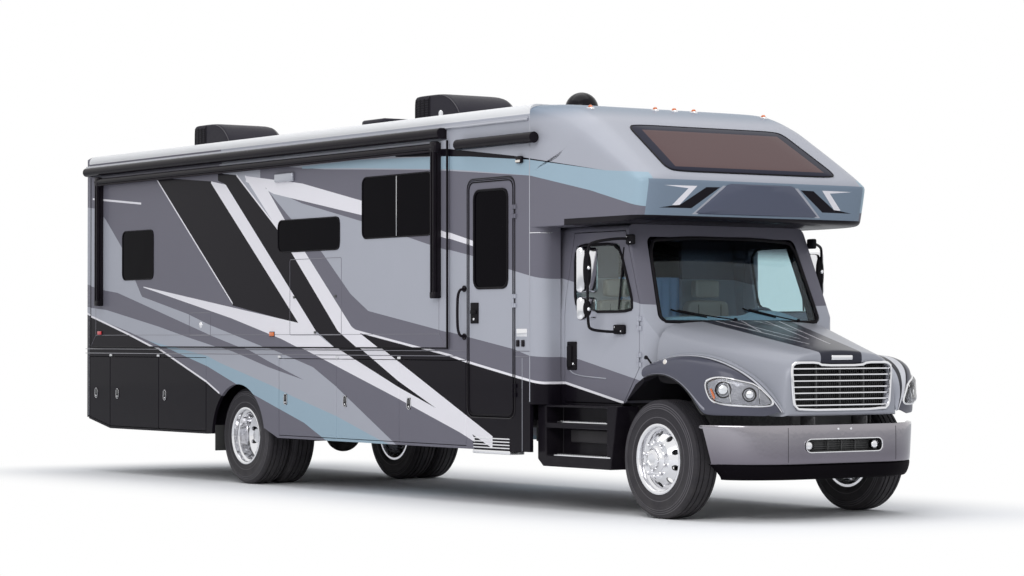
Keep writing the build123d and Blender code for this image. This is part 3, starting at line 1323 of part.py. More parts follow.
def hood_volume(inset=0.0):
    """Solid of the hood and fenders, or of its inside when an inset is given."""
    reach = 400 if inset else 0
    loft_faces = []
    for x, low_half, mid_half, mid_z, top_half, top_z in HOOD_SECTIONS:
        low = HOOD_BOTTOM - reach
        half = [(low_half, low), (mid_half, mid_z), (top_half, top_z)]
        points = [*half, *[(-y, z) for y, z in reversed(half)]]
        face = flat(points, inset)
        place = x - (inset if x == HOOD_FRONT_X else -0.001 if inset else 0)
        loft_faces.append(across(place) * face)
    bonnet = loft(loft_faces, ruled=True)
    return bonnet + fender_volume(inset)


def fender_volume(inset):
    """Both fenders joined across the hood."""
    profile = [(FRONT_AXLE_X + x, z) for x, z in FENDER_SIDE]
    if inset:
        rear, front = HOOD_REAR_X - 400, HOOD_FRONT_X
        profile = [(rear, 300), (rear, 1223), *profile[2:6], (front, 300)]
    plan = [(HOOD_REAR_X - (400 if inset else 0), -FENDER_Y), (FRONT_AXLE_X + 450, -FENDER_Y),
            (FRONT_AXLE_X + 760, -1040), (FRONT_AXLE_X + 920, -810), (HOOD_FRONT_X, -560)]
    plan = [*plan, *[(x, -y) for x, y in reversed(plan)]]
    return side_prism(profile, -FENDER_Y, FENDER_Y, inset) & plan_prism(plan, 200, 1600, inset)


def hood(outer):
    """Tilting hood: bonnet and fenders in one, open below, with arches and lamp and grille openings."""
    inner = hood_volume(HOOD_T)
    shell = outer - inner
    arch = rod("y", FRONT_AXLE_X - FRONT_ARCH_BACK, FRONT_ARCH_Z, -FENDER_Y - 10, FENDER_Y + 10, FRONT_ARCH_R)
    shell = shell - arch
    shell = shell - front_prism(grille_outline(), HOOD_FRONT_X - 60, HOOD_FRONT_X + 10)
    shell = shell - lamp_blocks(0)
    for side in (-1, 1):
        y = side * HOOD_LUG_Y
        lug = block(HOOD_PIVOT_X - HOOD_LUG_HALF, HOOD_FRONT_X, y, y + side * HOOD_LUG_T, HOOD_PIVOT_Z - HOOD_LUG_HALF,
                    GRILLE_BOTTOM)
        pin_end = y + side * HOOD_PIN_L
        pin = rod("y", HOOD_PIVOT_X, HOOD_PIVOT_Z, min(y, pin_end), max(y, pin_end), HOOD_PIN_R)
        shell = shell + lug + pin
    return shell


def grille_outline():
    """Corners of the grille opening in Y and Z."""
    return [(-GRILLE_LOW_HALF, GRILLE_BOTTOM), (GRILLE_LOW_HALF, GRILLE_BOTTOM), (GRILLE_HIGH_HALF, GRILLE_TOP),
            (-GRILLE_HIGH_HALF, GRILLE_TOP)]


def grille():
    """Bright grille: a rim and level bars."""
    x0 = HOOD_FRONT_X - HOOD_T - 10
    full = front_prism(grille_outline(), x0, GRILLE_FRONT_X, FIT)
    opening = front_prism(grille_outline(), x0 - 1, GRILLE_FRONT_X + 1, GRILLE_RIM)
    shape = full - opening
    room = GRILLE_TOP - GRILLE_BOTTOM - 2 * GRILLE_RIM
    pitch = room / (GRILLE_BARS + 1)
    for index in range(GRILLE_BARS):
        z = GRILLE_BOTTOM + GRILLE_RIM + pitch * (index + 1) - GRILLE_BAR_T / 2
        bar = block(x0, GRILLE_FRONT_X - 6, -GRILLE_HIGH_HALF, GRILLE_HIGH_HALF, z, z + GRILLE_BAR_T)
        shape = shape + (bar & front_prism(grille_outline(), x0, GRILLE_FRONT_X, GRILLE_RIM / 2))
    return shape


def lamp_blocks(inset):
    """Blocks that cut the lamp openings out of the hood's front corners."""
    outline = rectangle(LAMP_INNER_Y, LAMP_OUTER_Y, LAMP_BOTTOM, LAMP_TOP)
    lamp = front_prism(outline, HOOD_FRONT_X - LAMP_DEPTH, HOOD_FRONT_X + 5, inset, 30)
    return lamp + left_of(lamp)


def headlights(outer):
    """Headlamps that close the openings in the hood's front corners."""
    lamps = lamp_blocks(FIT) & outer
    return group(lamps - hood_volume(HOOD_T + 60))


# ======================================================================== parts
def build():
    """Every node's shape, by name."""
    cab_outer, cab_inner = cab_volume(), cab_volume(CAB_WALL_T)
    glass_skin = cab_volume_glass()
    hood_outer = hood_volume()
    parts = {
        "chassis_frame": chassis_frame(),
        "engine_block": engine_block(),
        "front_axle": front_axle(),
        "rear_axle": rear_axle(),
        "leaf_springs": leaf_springs(),
        "drive_shaft": drive_shaft(),
        "underbody_tanks": underbody_tanks(),
        "bumper": bumper(),
        "front_valance": front_valance(),
        "house_floor": house_floor(),
        "side_walls": side_walls(),
        "rear_wall": rear_wall(),
        "house_roof": house_roof(),
        "house_windows": house_windows(),
        "overcab_cap": overcab_cap(),
        "overcab_window": overcab_window(),
        "baggage_bays": baggage_bays(),
        "cab_shell": cab_shell(cab_outer, cab_inner),
        "windshield": windshield(glass_skin),
        "cab_steps": cab_steps(),
        "dashboard": dashboard(cab_volume(CAB_WALL_T + FIT)),
        "cab_seats": cab_seats(),
        "roof_air_conditioners": roof_air_conditioners(),
        "roof_fittings": roof_fittings(),
        "awning_rollers": awning_rollers(),
        "steering_wheel": steering_wheel(),
        "hood": hood(hood_outer),
        "grille": grille(),
        "headlights": headlights(hood_outer),
        "entry_door": entry_door(),
        "entry_window": entry_window(),
        "slide_out": slide_out(),
        "slide_windows": slide_windows(),
        "patio_awning": patio_awning(),
    }
    for side in ("left", "right"):
        parts[f"knuckle_{side}"] = knuckle(side)
        parts[f"front_rim_{side}"] = front_rim(side)
        parts[f"front_tyre_{side}"] = front_tyre(side)
        parts[f"rear_rims_{side}"] = rear_rims(side)
        parts[f"rear_tyres_{side}"] = rear_tyres(side)
        parts[f"cab_door_{side}"] = cab_door(side, cab_outer, cab_inner)
        parts[f"cab_glass_{side}"] = cab_glass(side, glass_skin)
        parts[f"mirror_{side}"] = mirror_unit(side)
        for index in range(len(door_spans(side))):
            parts[f"baggage_door_{side}_{index + 1}"] = baggage_door(side, index)
    return parts


def cab_volume_glass():
    """Thin skin just under the cab's surface, which the panes are cut from."""
    return cab_volume(GLASS_INSET) - cab_volume(GLASS_INSET + GLASS_T)


os.makedirs("parts", exist_ok=True)
for name, shape in build().items():
    export_step(shape, f"parts/{name}.step")
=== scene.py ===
"""Motorhome on a bonneted truck chassis: its finishes, fittings, studio and camera."""

import json
import logging
import math
from dataclasses import dataclass, field
from enum import Enum
from typing import Sequence

import bmesh
import bpy
from mathutils import Matrix, Vector
from mathutils.bvhtree import BVHTree

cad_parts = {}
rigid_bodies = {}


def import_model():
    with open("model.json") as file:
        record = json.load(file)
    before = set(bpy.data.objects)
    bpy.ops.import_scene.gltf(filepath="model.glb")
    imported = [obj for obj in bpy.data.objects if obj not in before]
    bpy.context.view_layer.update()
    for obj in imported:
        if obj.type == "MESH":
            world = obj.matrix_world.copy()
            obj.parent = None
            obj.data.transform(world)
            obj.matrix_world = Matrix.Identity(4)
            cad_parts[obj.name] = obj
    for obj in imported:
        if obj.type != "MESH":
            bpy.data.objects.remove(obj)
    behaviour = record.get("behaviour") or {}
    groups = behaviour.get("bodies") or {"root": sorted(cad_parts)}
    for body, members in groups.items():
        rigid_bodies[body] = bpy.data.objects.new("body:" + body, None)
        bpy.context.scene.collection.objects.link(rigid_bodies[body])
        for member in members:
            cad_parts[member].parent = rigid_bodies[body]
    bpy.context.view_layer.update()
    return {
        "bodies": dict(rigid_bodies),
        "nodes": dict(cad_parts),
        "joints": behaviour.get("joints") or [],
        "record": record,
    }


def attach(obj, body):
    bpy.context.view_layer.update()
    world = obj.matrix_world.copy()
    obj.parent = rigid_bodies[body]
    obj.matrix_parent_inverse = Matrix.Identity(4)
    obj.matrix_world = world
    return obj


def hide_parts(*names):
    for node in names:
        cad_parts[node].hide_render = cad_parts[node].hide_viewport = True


LOG = logging.getLogger("motorhome")
Point = tuple[float, float, float]
Pair = tuple[float, float]
Colour = tuple[float, float, float]


class Side(Enum):
    """Side of the vehicle, as the sign of Y."""

    LEFT = 1
    RIGHT = -1

    @property
    def word(self) -> str:
        """Name used in body and node names."""
        return self.name.lower()


# --------------------------------------------------------------------------- node trees
class Tree:
    """A node tree with short calls for adding and joining nodes."""

    def __init__(self, tree: bpy.types.NodeTree) -> None:
        """Keep the tree."""
        self.tree = tree

    def add(self, kind: str, values: dict | None = None, **settings: object) -> bpy.types.Node:
        """Add a node.

        Args:
            kind: Node type's name.
            values: Input name or index to a constant or to a socket that feeds it.
            settings: Properties of the node itself.

        Returns:
            The new node.
        """
        node = self.tree.nodes.new(kind)
        for name, value in settings.items():
            setattr(node, name, value)
        for name, value in (values or {}).items():
            self.feed(node.inputs[name], value)
        return node

    def feed(self, socket: bpy.types.NodeSocket, value: object) -> None:
        """Link a socket into another, or set its constant."""
        if isinstance(value, bpy.types.NodeSocket):
            self.tree.links.new(value, socket)
        else:
            socket.default_value = value

    def maths(self, operation: str, a: object, b: object = 0.0, clamp: bool = False) -> bpy.types.NodeSocket:
        """Result of a Math node."""
        return self.add("ShaderNodeMath", {0: a, 1: b}, operation=operation, use_clamp=clamp).outputs[0]

    def times(self, a: object, b: object) -> bpy.types.NodeSocket:
        """Product of two values."""
        return self.maths("MULTIPLY", a, b)

    def plus(self, a: object, b: object, clamp: bool = False) -> bpy.types.NodeSocket:
        """Sum of two values."""
        return self.maths("ADD", a, b, clamp)

    def minus(self, a: object, b: object) -> bpy.types.NodeSocket:
        """First value less the second."""
        return self.maths("SUBTRACT", a, b)

    def above(self, a: object, b: object) -> bpy.types.NodeSocket:
        """1 where the first value is above the second."""
        return self.maths("GREATER_THAN", a, b)

    def below(self, a: object, b: object) -> bpy.types.NodeSocket:
        """1 where the first value is below the second."""
        return self.maths("LESS_THAN", a, b)

    def xyz(self, place: object) -> bpy.types.NodeOutputs:
        """X, Y and Z of a vector."""
        return self.add("ShaderNodeSeparateXYZ", {0: place}).outputs

    def effect(self, name: str, values: dict) -> bpy.types.Node:
        """A shared effect's group with its inputs fed."""
        return self.add("ShaderNodeGroup", values, node_tree=Effects.get(name))

    def ramp(self, value: object, start: object, end: object, low: float = 0.0, high: float = 1.0,
             smooth: bool = False) -> bpy.types.NodeSocket:
        """Value mapped from a span onto another, held at its ends."""
        node = self.add("ShaderNodeMapRange", {"Value": value, "From Min": start, "From Max": end,
                                               "To Min": low, "To Max": high}, clamp=True)
        if smooth:
            node.interpolation_type = "SMOOTHSTEP"
        return node.outputs[0]

    def blend(self, mask: object, low: object, high: object) -> bpy.types.NodeSocket:
        """Colour between low and high by a mask."""
        node = self.add("ShaderNodeMix", {0: mask, 6: low, 7: high}, data_type="RGBA")
        return node.outputs[2]


def rgba(colour: Colour) -> tuple[float, float, float, float]:
    """A colour with full alpha."""
    return (*colour, 1.0)


def new_group(name: str, inputs: Sequence[tuple], outputs: Sequence[Pair]) -> tuple[bpy.types.NodeTree,
                                                                                    Tree, object, object]:
    """Start a shader node group.

    Args:
        name: Group's name.
        inputs: (name, socket type, default) for each input.
        outputs: (name, socket type) for each output.

    Returns:
        The group, its Tree, its input node and its output node.
    """
    group = bpy.data.node_groups.new(name, "ShaderNodeTree")
    for label, kind, default in inputs:
        socket = group.interface.new_socket(name=label, in_out="INPUT", socket_type=kind)
        if default is not None:
            socket.default_value = default
    for label, kind in outputs:
        group.interface.new_socket(name=label, in_out="OUTPUT", socket_type=kind)
    tree = Tree(group)
    return group, tree, tree.add("NodeGroupInput"), tree.add("NodeGroupOutput")


class Effects:
    """Node groups that several finishes share, each built once."""

    made: dict[str, bpy.types.NodeTree] = {}

    @classmethod
    def get(cls, name: str) -> bpy.types.NodeTree:
        """The named group, built at its first use."""
        if name not in cls.made:
            cls.made[name] = getattr(cls, name)()
        return cls.made[name]

    @staticmethod
    def mottle() -> bpy.types.NodeTree:
        """Slow and fine variation of colour and roughness."""
        group, t, inp, out = new_group("mottle", [("Vector", "NodeSocketVector", None),
                                                  ("Colour", "NodeSocketColor", (0.5, 0.5, 0.5, 1)),
                                                  ("Roughness", "NodeSocketFloat", 0.4),
                                                  ("Amount", "NodeSocketFloat", 0.08),
                                                  ("Scale", "NodeSocketFloat", 6.0)],
                                       [("Colour", "NodeSocketColor"), ("Roughness", "NodeSocketFloat")])
        slow = t.add("ShaderNodeTexNoise", {"Vector": inp.outputs["Vector"], "Scale": inp.outputs["Scale"],
                                            "Detail": 3.0})
        fine_scale = t.times(inp.outputs["Scale"], 14.0)
        fine = t.add("ShaderNodeTexNoise", {"Vector": inp.outputs["Vector"], "Scale": fine_scale,
                                            "Detail": 2.0})
        both = t.plus(t.times(slow.outputs[0], 0.65), t.times(fine.outputs[0], 0.35))
        swing = t.times(t.minus(both, 0.5), inp.outputs["Amount"])
        bright = t.plus(t.times(swing, 2.0), 1.0)
        scaled = t.add("ShaderNodeVectorMath", {0: inp.outputs["Colour"]}, operation="SCALE")
        t.feed(scaled.inputs["Scale"], bright)
        t.feed(out.inputs["Colour"], scaled.outputs[0])
        t.feed(out.inputs["Roughness"], t.plus(inp.outputs["Roughness"], swing, True))
        return group

    @staticmethod
    def grain() -> bpy.types.NodeTree:
        """Height of a fine moulded grain."""
        group, t, inp, out = new_group("grain", [
            ("Vector", "NodeSocketVector", None), ("Scale", "NodeSocketFloat", 300.0),
            ("Ripple", "NodeSocketFloat", 0.0)], [("Height", "NodeSocketFloat")])
        cells = t.add("ShaderNodeTexVoronoi", {"Vector": inp.outputs["Vector"],
                                               "Scale": inp.outputs["Scale"]})
        wave = t.add("ShaderNodeTexNoise", {"Vector": inp.outputs["Vector"], "Scale": 3.0, "Detail": 1.0})
        ripple = t.times(wave.outputs[0], inp.outputs["Ripple"])
        t.feed(out.inputs["Height"], t.plus(cells.outputs["Distance"], ripple))
        return group

    @staticmethod
    def road_dust() -> bpy.types.NodeTree:
        """Mask of thin dust, thicker near the ground."""
        group, t, inp, out = new_group("road_dust", [
            ("Vector", "NodeSocketVector", None), ("Top", "NodeSocketFloat", 1.0),
            ("Amount", "NodeSocketFloat", 0.2)], [("Mask", "NodeSocketFloat")])
        xyz = t.xyz(inp.outputs["Vector"])
        fall = t.ramp(xyz[2], inp.outputs["Top"], 0.0)
        noise = t.add("ShaderNodeTexNoise", {"Vector": inp.outputs["Vector"], "Scale": 9.0, "Detail": 5.0})
        mask = t.times(t.times(fall, noise.outputs[0]), inp.outputs["Amount"])
        t.feed(out.inputs["Mask"], mask)
        return group

    @staticmethod
    def edge_wear() -> bpy.types.NodeTree:
        """Mask of rubbed edges."""
        group, t, inp, out = new_group("edge_wear", [
            ("Vector", "NodeSocketVector", None), ("Amount", "NodeSocketFloat", 0.3)],
            [("Mask", "NodeSocketFloat")])
        shape = t.add("ShaderNodeNewGeometry")
        sharp = t.ramp(shape.outputs["Pointiness"], 0.52, 0.6)
        noise = t.add("ShaderNodeTexNoise", {"Vector": inp.outputs["Vector"], "Scale": 40.0, "Detail": 4.0})
        mask = t.times(t.times(sharp, noise.outputs[0]), inp.outputs["Amount"])
        t.feed(out.inputs["Mask"], mask)
        return group


# ------------------------------------------------------------------------------ livery
SILVER: Colour = (0.40, 0.41, 0.46)
WHITE: Colour = (0.80, 0.78, 0.82)
GREY: Colour = (0.158, 0.153, 0.186)
BLACK: Colour = (0.007, 0.0055, 0.009)
BLUE: Colour = (0.32, 0.43, 0.51)
NOSE: Colour = (0.19, 0.24, 0.305)
DUST: Colour = (0.30, 0.28, 0.26)
RUBBED: Colour = (0.45, 0.45, 0.46)
LENS_GLOW = 0.15
COAT_ROUGHNESS = 0.04


@dataclass(frozen=True)
class Band:
    """Painted band on the sides between two broken lines, given as (x, z) corners."""

    colour: Colour
    upper: tuple[Pair, ...]
    lower: tuple[Pair, ...]


# Broken lines that several bands and pinstripes of the livery share, as (x, z) corners.
REAR_SWEEP: tuple[Pair, ...] = ((-5.9, 1.83), (-5.5, 1.75), (-4.64, 1.56), (-3.98, 1.4), (-2.91, 1.06),
                                (-2.62, 0.94))
SKIRT: tuple[Pair, ...] = ((0.1, 1.6), (1.78, 1.36), (2.08, 1.3), (2.82, 1.18), (3.21, 1.12), (3.3, 1.12),
                           (4.15, 0.96))


@dataclass(frozen=True)
class Livery:
    """Bands of the side livery, painted in order over the silver; the black band on the cab above the front
    wheel is painted shadow of the wheel well.
    """

    tallest: float = 4.0
    line: float = 0.011
    bands: tuple[Band, ...] = (
        Band(GREY, ((-5.9, 3.7), (-2.6, 3.6), (-2.55, 3.2), (-0.9, 1.5), (-0.26, 1.28), (0.91, 0.97),
                    (1.96, 0.68), (2.3, 0.55)),
             ((-5.9, 3.03), (-5.5, 3.0), (-5.24, 2.87), (-4.82, 2.53), (-4.34, 1.98), (-3.27, 1.78),
              (-2.78, 1.66), (-1.98, 1.5), (-1.34, 1.37), (-0.69, 1.23), (-0.26, 1.05), (0.91, 0.48),
              (2.3, 0.3))),
        Band(GREY, ((-5.9, 2.16), (-5.24, 2.06), (-4.93, 2.03), (-3.3, 1.67), (-2.71, 1.54), (-2.0, 1.4),
                    (-1.57, 1.28), (-0.87, 1.1)),
             ((-5.9, 1.89), (-5.21, 1.84), (-3.96, 1.65), (-3.27, 1.53), (-2.33, 1.38), (-1.57, 1.22),
              (-0.87, 1.1))),
        Band(BLUE, ((-4.23, 1.5), (-3.53, 1.41), (-2.88, 1.33), (-2.61, 1.26), (-1.54, 1.04), (-1.08, 0.93),
                    (-0.23, 0.75), (0.57, 0.54), (0.91, 0.47)),
             ((-4.23, 1.5), (-3.74, 1.4), (-2.88, 1.22), (-1.94, 0.95), (-0.86, 0.67), (-0.42, 0.5),
              (0.91, 0.3))),
        Band(GREY, ((-5.65, 1.78), (-4.64, 1.59), (-3.74, 1.4), (-2.88, 1.22), (-1.94, 0.95), (-0.86, 0.67),
                    (-0.42, 0.5), (-0.3, 0.4)),
             ((-5.65, 1.78), (-4.64, 1.56), (-3.98, 1.4), (-2.91, 1.06), (-2.4, 0.3), (-0.3, 0.3))),
        Band(BLACK, (*REAR_SWEEP, (-2.4, 0.8)), ((-5.9, 0.2), (-2.4, 0.2))),
        Band(GREY, ((-1.7, 3.3), (-0.41, 3.19), (1.49, 3.09), (3.08, 2.96), (3.98, 2.79), (4.9, 2.57)),
             ((-1.7, 3.1), (-0.85, 2.87), (0.29, 2.65), (1.63, 2.36), (2.16, 2.27), (2.72, 2.14),
              (3.08, 2.07), (3.4, 2.01), (4.9, 1.7))),
        Band(BLACK, ((0.9, 3.3), (1.78, 3.27), (2.82, 3.15), (4.2, 2.95)),
             ((0.9, 3.24), (1.78, 3.2), (3.08, 3.1), (4.2, 2.94))),
        Band(BLUE, ((-0.85, 3.24), (0.21, 3.25), (1.78, 3.2), (2.12, 3.18), (3.08, 3.1), (4.2, 2.95),
                    (4.9, 2.9)),
             ((-0.85, 3.22), (0.21, 3.17), (1.78, 3.08), (2.12, 3.05), (3.08, 2.96), (3.98, 2.79),
              (4.9, 2.57))),
        Band(WHITE, ((-2.0, 3.2), (-0.85, 3.07), (0.29, 2.85), (1.63, 2.53), (2.16, 2.41), (2.5, 2.33)),
             ((-2.0, 3.14), (-1.55, 3.03), (-1.42, 2.99), (0.29, 2.71), (1.63, 2.47), (2.5, 2.29))),
        Band(GREY, ((-1.6, 3.07), (-1.1, 2.74), (-0.45, 2.36), (0.08, 1.95), (0.41, 1.78), (2.01, 1.54),
                    (2.82, 1.42), (3.07, 1.36), (3.5, 1.33), (4.35, 1.16), (4.9, 1.05)),
             ((-1.6, 3.07), (-1.0, 2.5), *SKIRT, (4.9, 0.8))),
        Band(BLACK, ((-2.6, 3.26), (-2.2, 3.22), (-1.31, 2.6), (-0.16, 1.6), *SKIRT, (4.9, 0.8)),
             ((-2.6, 3.18), (-2.43, 3.13), (-0.58, 1.59), (-0.16, 1.4), (0.91, 1.05), (2.14, 0.66),
              (2.3, 0.2), (4.9, 0.2))),
        Band(BLACK, ((-3.99, 3.28), (-2.74, 3.18), (-0.9, 1.66)),
             ((-3.99, 3.26), (-2.28, 1.86), (-0.9, 1.66))),
        Band(WHITE, ((-4.3, 2.09), (-0.91, 1.67), (-0.63, 1.59), (-0.16, 1.4), (0.91, 1.05), (1.75, 0.81),
                     (2.14, 0.66), (2.2, 0.6)),
             ((-4.3, 2.08), (-2.32, 1.73), (-1.26, 1.51), (-0.26, 1.25), (0.91, 0.94), (1.96, 0.65),
              (2.2, 0.57))),
        Band(WHITE, ((-2.75, 3.18), (-2.43, 3.13), (-0.58, 1.59)),
             ((-2.75, 3.16), (-0.91, 1.66), (-0.58, 1.56))),
        # Black on the cab's side ahead of the door, above the front wheel: painted shadow of the wheel well,
        # not livery.
        Band(BLACK, ((4.2, 0.99), (4.32, 1.12), (4.48, 1.205), (4.6, 1.23)), ((4.2, 0.2), (4.6, 0.2))),
        Band(WHITE, ((-2.02, 3.21), (-1.55, 3.04), (-1.21, 2.73), (-0.78, 2.37), (0.1, 1.63), (0.82, 1.33),
                     (2.49, 0.63)),
             ((-2.02, 3.19), (-1.31, 2.6), (-0.16, 1.59), (0.21, 1.42), (0.9, 1.11), (2.16, 0.64),
              (2.49, 0.52))),
    )
    pinstripes: tuple[tuple[Pair, ...], ...] = (
        REAR_SWEEP,
        SKIRT,
        ((-3.99, 3.26), (-2.28, 1.88)),
        ((-5.56, 3.11), (-4.36, 3.01)),
        ((-2.2, 3.22), (-1.31, 2.61)),
    )

    def height(self, t: Tree, x: bpy.types.NodeSocket, line: Sequence[Pair]) -> bpy.types.NodeSocket:
        """Height of a broken line at each x.

        Args:
            t: Tree to build in.
            x: Socket that gives x.
            line: Corners as (x, z), x rising.

        Returns:
            Socket that gives z on the line.
        """
        start, end = line[0][0], line[-1][0]
        share = t.ramp(x, start, end)
        curve = t.add("ShaderNodeFloatCurve", {"Value": share})
        curve.mapping.use_clip = False
        points = curve.mapping.curves[0].points
        ends = (line[0], line[-1])
        for point, (_, z) in zip((points[0], points[-1]), ends):
            point.location = (0.0 if point == points[0] else 1.0, z / self.tallest)
        for px, pz in line[1:-1]:
            points.new((px - start) / (end - start), pz / self.tallest)
        for point in points:
            point.handle_type = "VECTOR"
        curve.mapping.update()
        return t.times(curve.outputs[0], self.tallest)

    def between(self, t: Tree, x: object, z: object, upper: Sequence[Pair], lower: Sequence[Pair]) -> object:
        """Mask of what lies between two broken lines, and between their ends."""
        inside = t.times(t.above(x, upper[0][0]), t.below(x, upper[-1][0]))
        under = t.below(z, self.height(t, x, upper))
        over = t.above(z, self.height(t, x, lower))
        return t.times(inside, t.times(under, over))

    def group(self) -> bpy.types.NodeTree:
        """Node group that gives the livery's colour at a place on the body."""
        group, t, inp, out = new_group("side_livery", [("Vector", "NodeSocketVector", None)],
                                       [("Colour", "NodeSocketColor")])
        xyz = t.xyz(inp.outputs["Vector"])
        x, z = xyz[0], xyz[2]
        colour: object = rgba(SILVER)
        for band in self.bands:
            colour = t.blend(self.between(t, x, z, band.upper, band.lower), colour, rgba(band.colour))
        for stripe in self.pinstripes:
            low = tuple((px, pz - self.line) for px, pz in stripe)
            high = tuple((px, pz + self.line) for px, pz in stripe)
            colour = t.blend(self.between(t, x, z, high, low), colour, rgba(WHITE))
        t.feed(out.inputs["Colour"], colour)
        return group


# ---------------------------------------------------------------------------- finishes
@dataclass(frozen=True)
class Finish:
    """A surface: its colour, shine, grain and dirt."""

    name: str
    colour: Colour
    roughness: float = 0.4
    metallic: float = 0.0
    coat: float = 0.0
    mottle: float = 0.08
    mottle_scale: float = 6.0
    grain_scale: float = 300.0
    grain_depth: float = 0.0
    ripple: float = 0.0
    dust: float = 0.0
    dust_top: float = 1.2
    wear: float = 0.0
    specular: float = 0.5
    glow: Colour | None = None
    slot: str = "body_silver"

    def base_colour(self, t: Tree, place: bpy.types.NodeSocket) -> object:
        """Colour before mottle, dust and wear."""
        return rgba(self.colour)

    def material(self) -> bpy.types.Material:
        """The material, built at its first use."""
        known = bpy.data.materials.get(self.name)
        if known:
            return known
        material = bpy.data.materials.new(self.name)
        material.use_nodes = True
        material.node_tree.nodes.clear()
        t = Tree(material.node_tree)
        place = t.add("ShaderNodeTexCoord").outputs["Object"]
        shader = t.add("ShaderNodeBsdfPrincipled")
        mottle = t.effect("mottle", {"Vector": place, "Colour": self.base_colour(t, place),
                                     "Roughness": self.roughness, "Amount": self.mottle,
                                     "Scale": self.mottle_scale})
        colour = mottle.outputs["Colour"]
        if self.wear:
            wear = t.effect("edge_wear", {"Vector": place, "Amount": self.wear})
            colour = t.blend(wear.outputs["Mask"], colour, rgba(RUBBED))
        if self.dust:
            dust = t.effect("road_dust", {"Vector": place, "Top": self.dust_top, "Amount": self.dust})
            colour = t.blend(dust.outputs["Mask"], colour, rgba(DUST))
        for name, value in (("Base Color", colour), ("Roughness", mottle.outputs["Roughness"]),
                            ("Metallic", self.metallic), ("Coat Weight", self.coat),
                            ("Coat Roughness", COAT_ROUGHNESS), ("Specular IOR Level", self.specular)):
            t.feed(shader.inputs[name], value)
        if self.glow:
            t.feed(shader.inputs["Emission Color"], rgba(self.glow))
            t.feed(shader.inputs["Emission Strength"], LENS_GLOW)
        if self.grain_depth:
            grain = t.effect("grain", {"Vector": place, "Scale": self.grain_scale, "Ripple": self.ripple})
            bump = t.add("ShaderNodeBump", {"Height": grain.outputs["Height"], "Strength": 0.5,
                                            "Distance": self.grain_depth})
            t.feed(shader.inputs["Normal"], bump.outputs[0])
        self.extra(t, shader)
        out = t.add("ShaderNodeOutputMaterial")
        t.feed(out.inputs["Surface"], shader.outputs[0])
        return material

    def extra(self, t: Tree, shader: bpy.types.Node) -> None:
        """Anything more that a kind of finish sets on its shader."""


@dataclass(frozen=True)
class LiveryPaint(Finish):
    """Gloss body paint that carries the side livery."""

    def base_colour(self, t: Tree, place: bpy.types.NodeSocket) -> object:
        """Livery's colour at this place."""
        if "side_livery" not in Effects.made:
            Effects.made["side_livery"] = Livery().group()
        node = t.add("ShaderNodeGroup", node_tree=Effects.made["side_livery"])
        t.feed(node.inputs["Vector"], place)
        return node.outputs["Colour"]


@dataclass(frozen=True)
class Glass(Finish):
    """Clear or tinted glass."""

    ior: float = 1.45
    shade: float = 0.3

    def extra(self, t: Tree, shader: bpy.types.Node) -> None:
        """Let light through, with a light shadow behind the glass."""
        t.feed(shader.inputs["Transmission Weight"], 1.0)
        t.feed(shader.inputs["IOR"], self.ior)
        path = t.add("ShaderNodeLightPath")
        clear = t.times(path.outputs["Is Shadow Ray"], 1.0 - self.shade)
        t.feed(shader.inputs["Alpha"], t.minus(1.0, clear))


PAINT = LiveryPaint("livery_paint", SILVER, 0.32, 0.04, 0.06, 0.03, 3.0, dust=0.03, specular=0.05,
                    slot="body_silver")
SILVER_PAINT = Finish("silver_paint", SILVER, 0.3, 0.35, 0.7, 0.03, 3.0, slot="body_silver")
GREY_PAINT = Finish("grey_paint", GREY, 0.3, 0.2, 0.8, 0.03, 3.0, dust=0.1, slot="body_silver")
PANEL_PAINT = Finish("panel_paint", (0.09, 0.1, 0.145), 0.3, 0.15, 0.15, 0.03, 3.0, specular=0.2,
                     slot="body_silver")
BLACK_PAINT = Finish("black_paint", BLACK, 0.25, 0.0, 0.06, 0.04, 4.0, dust=0.06, specular=0.06)
WHITE_PAINT = Finish("white_fibreglass", (0.72, 0.72, 0.73), 0.45, 0.0, 0.1, 0.05, 2.0, 500.0, 0.0002,
                     slot="roof_white")
CHASSIS = Finish("chassis_enamel", (0.015, 0.014, 0.016), 0.55, 0.0, 0.0, 0.2, 8.0, 250.0, 0.0005,
                 dust=0.3, wear=0.3, specular=0.15)
ENGINE = Finish("engine_casting", (0.16, 0.16, 0.165), 0.6, 0.4, 0.0, 0.2, 9.0, 180.0, 0.001, dust=0.3)
TANK = Finish("tank_plastic", (0.02, 0.02, 0.021), 0.5, 0.0, 0.0, 0.1, 8.0, 220.0, 0.0005, dust=0.4,
              specular=0.25)
CHROME = Finish("chrome", (0.5, 0.5, 0.53), 0.08, 1.0, 0.0, 0.05, 5.0, 40.0, 0.0004, 0.6, dust=0.08,
                slot="chrome")
ALLOY = Finish("polished_alloy", (0.32, 0.32, 0.35), 0.2, 1.0, 0.0, 0.12, 12.0, 220.0, 0.0003, dust=0.2,
               slot="chrome")
RUBBER = Finish("tyre_rubber", (0.014, 0.013, 0.015), 0.62, 0.0, 0.0, 0.2, 12.0, 350.0, 0.0006, dust=0.2,
                dust_top=1.1, specular=0.1, slot="tyre_rubber")
SEAL = Finish("rubber_seal", (0.009, 0.008, 0.01), 0.5, 0.0, 0.0, 0.1, 15.0, 400.0, 0.0003, specular=0.08,
              slot="black_plastic")
PLASTIC = Finish("black_plastic", (0.012, 0.011, 0.013), 0.42, 0.0, 0.0, 0.12, 10.0, 420.0, 0.0005,
                 specular=0.08, slot="black_plastic")
AWNING_METAL = Finish("awning_enamel", (0.011, 0.009, 0.012), 0.26, 0.0, 0.05, 0.08, 6.0, 300.0, 0.0002,
                      specular=0.07, slot="black_plastic")
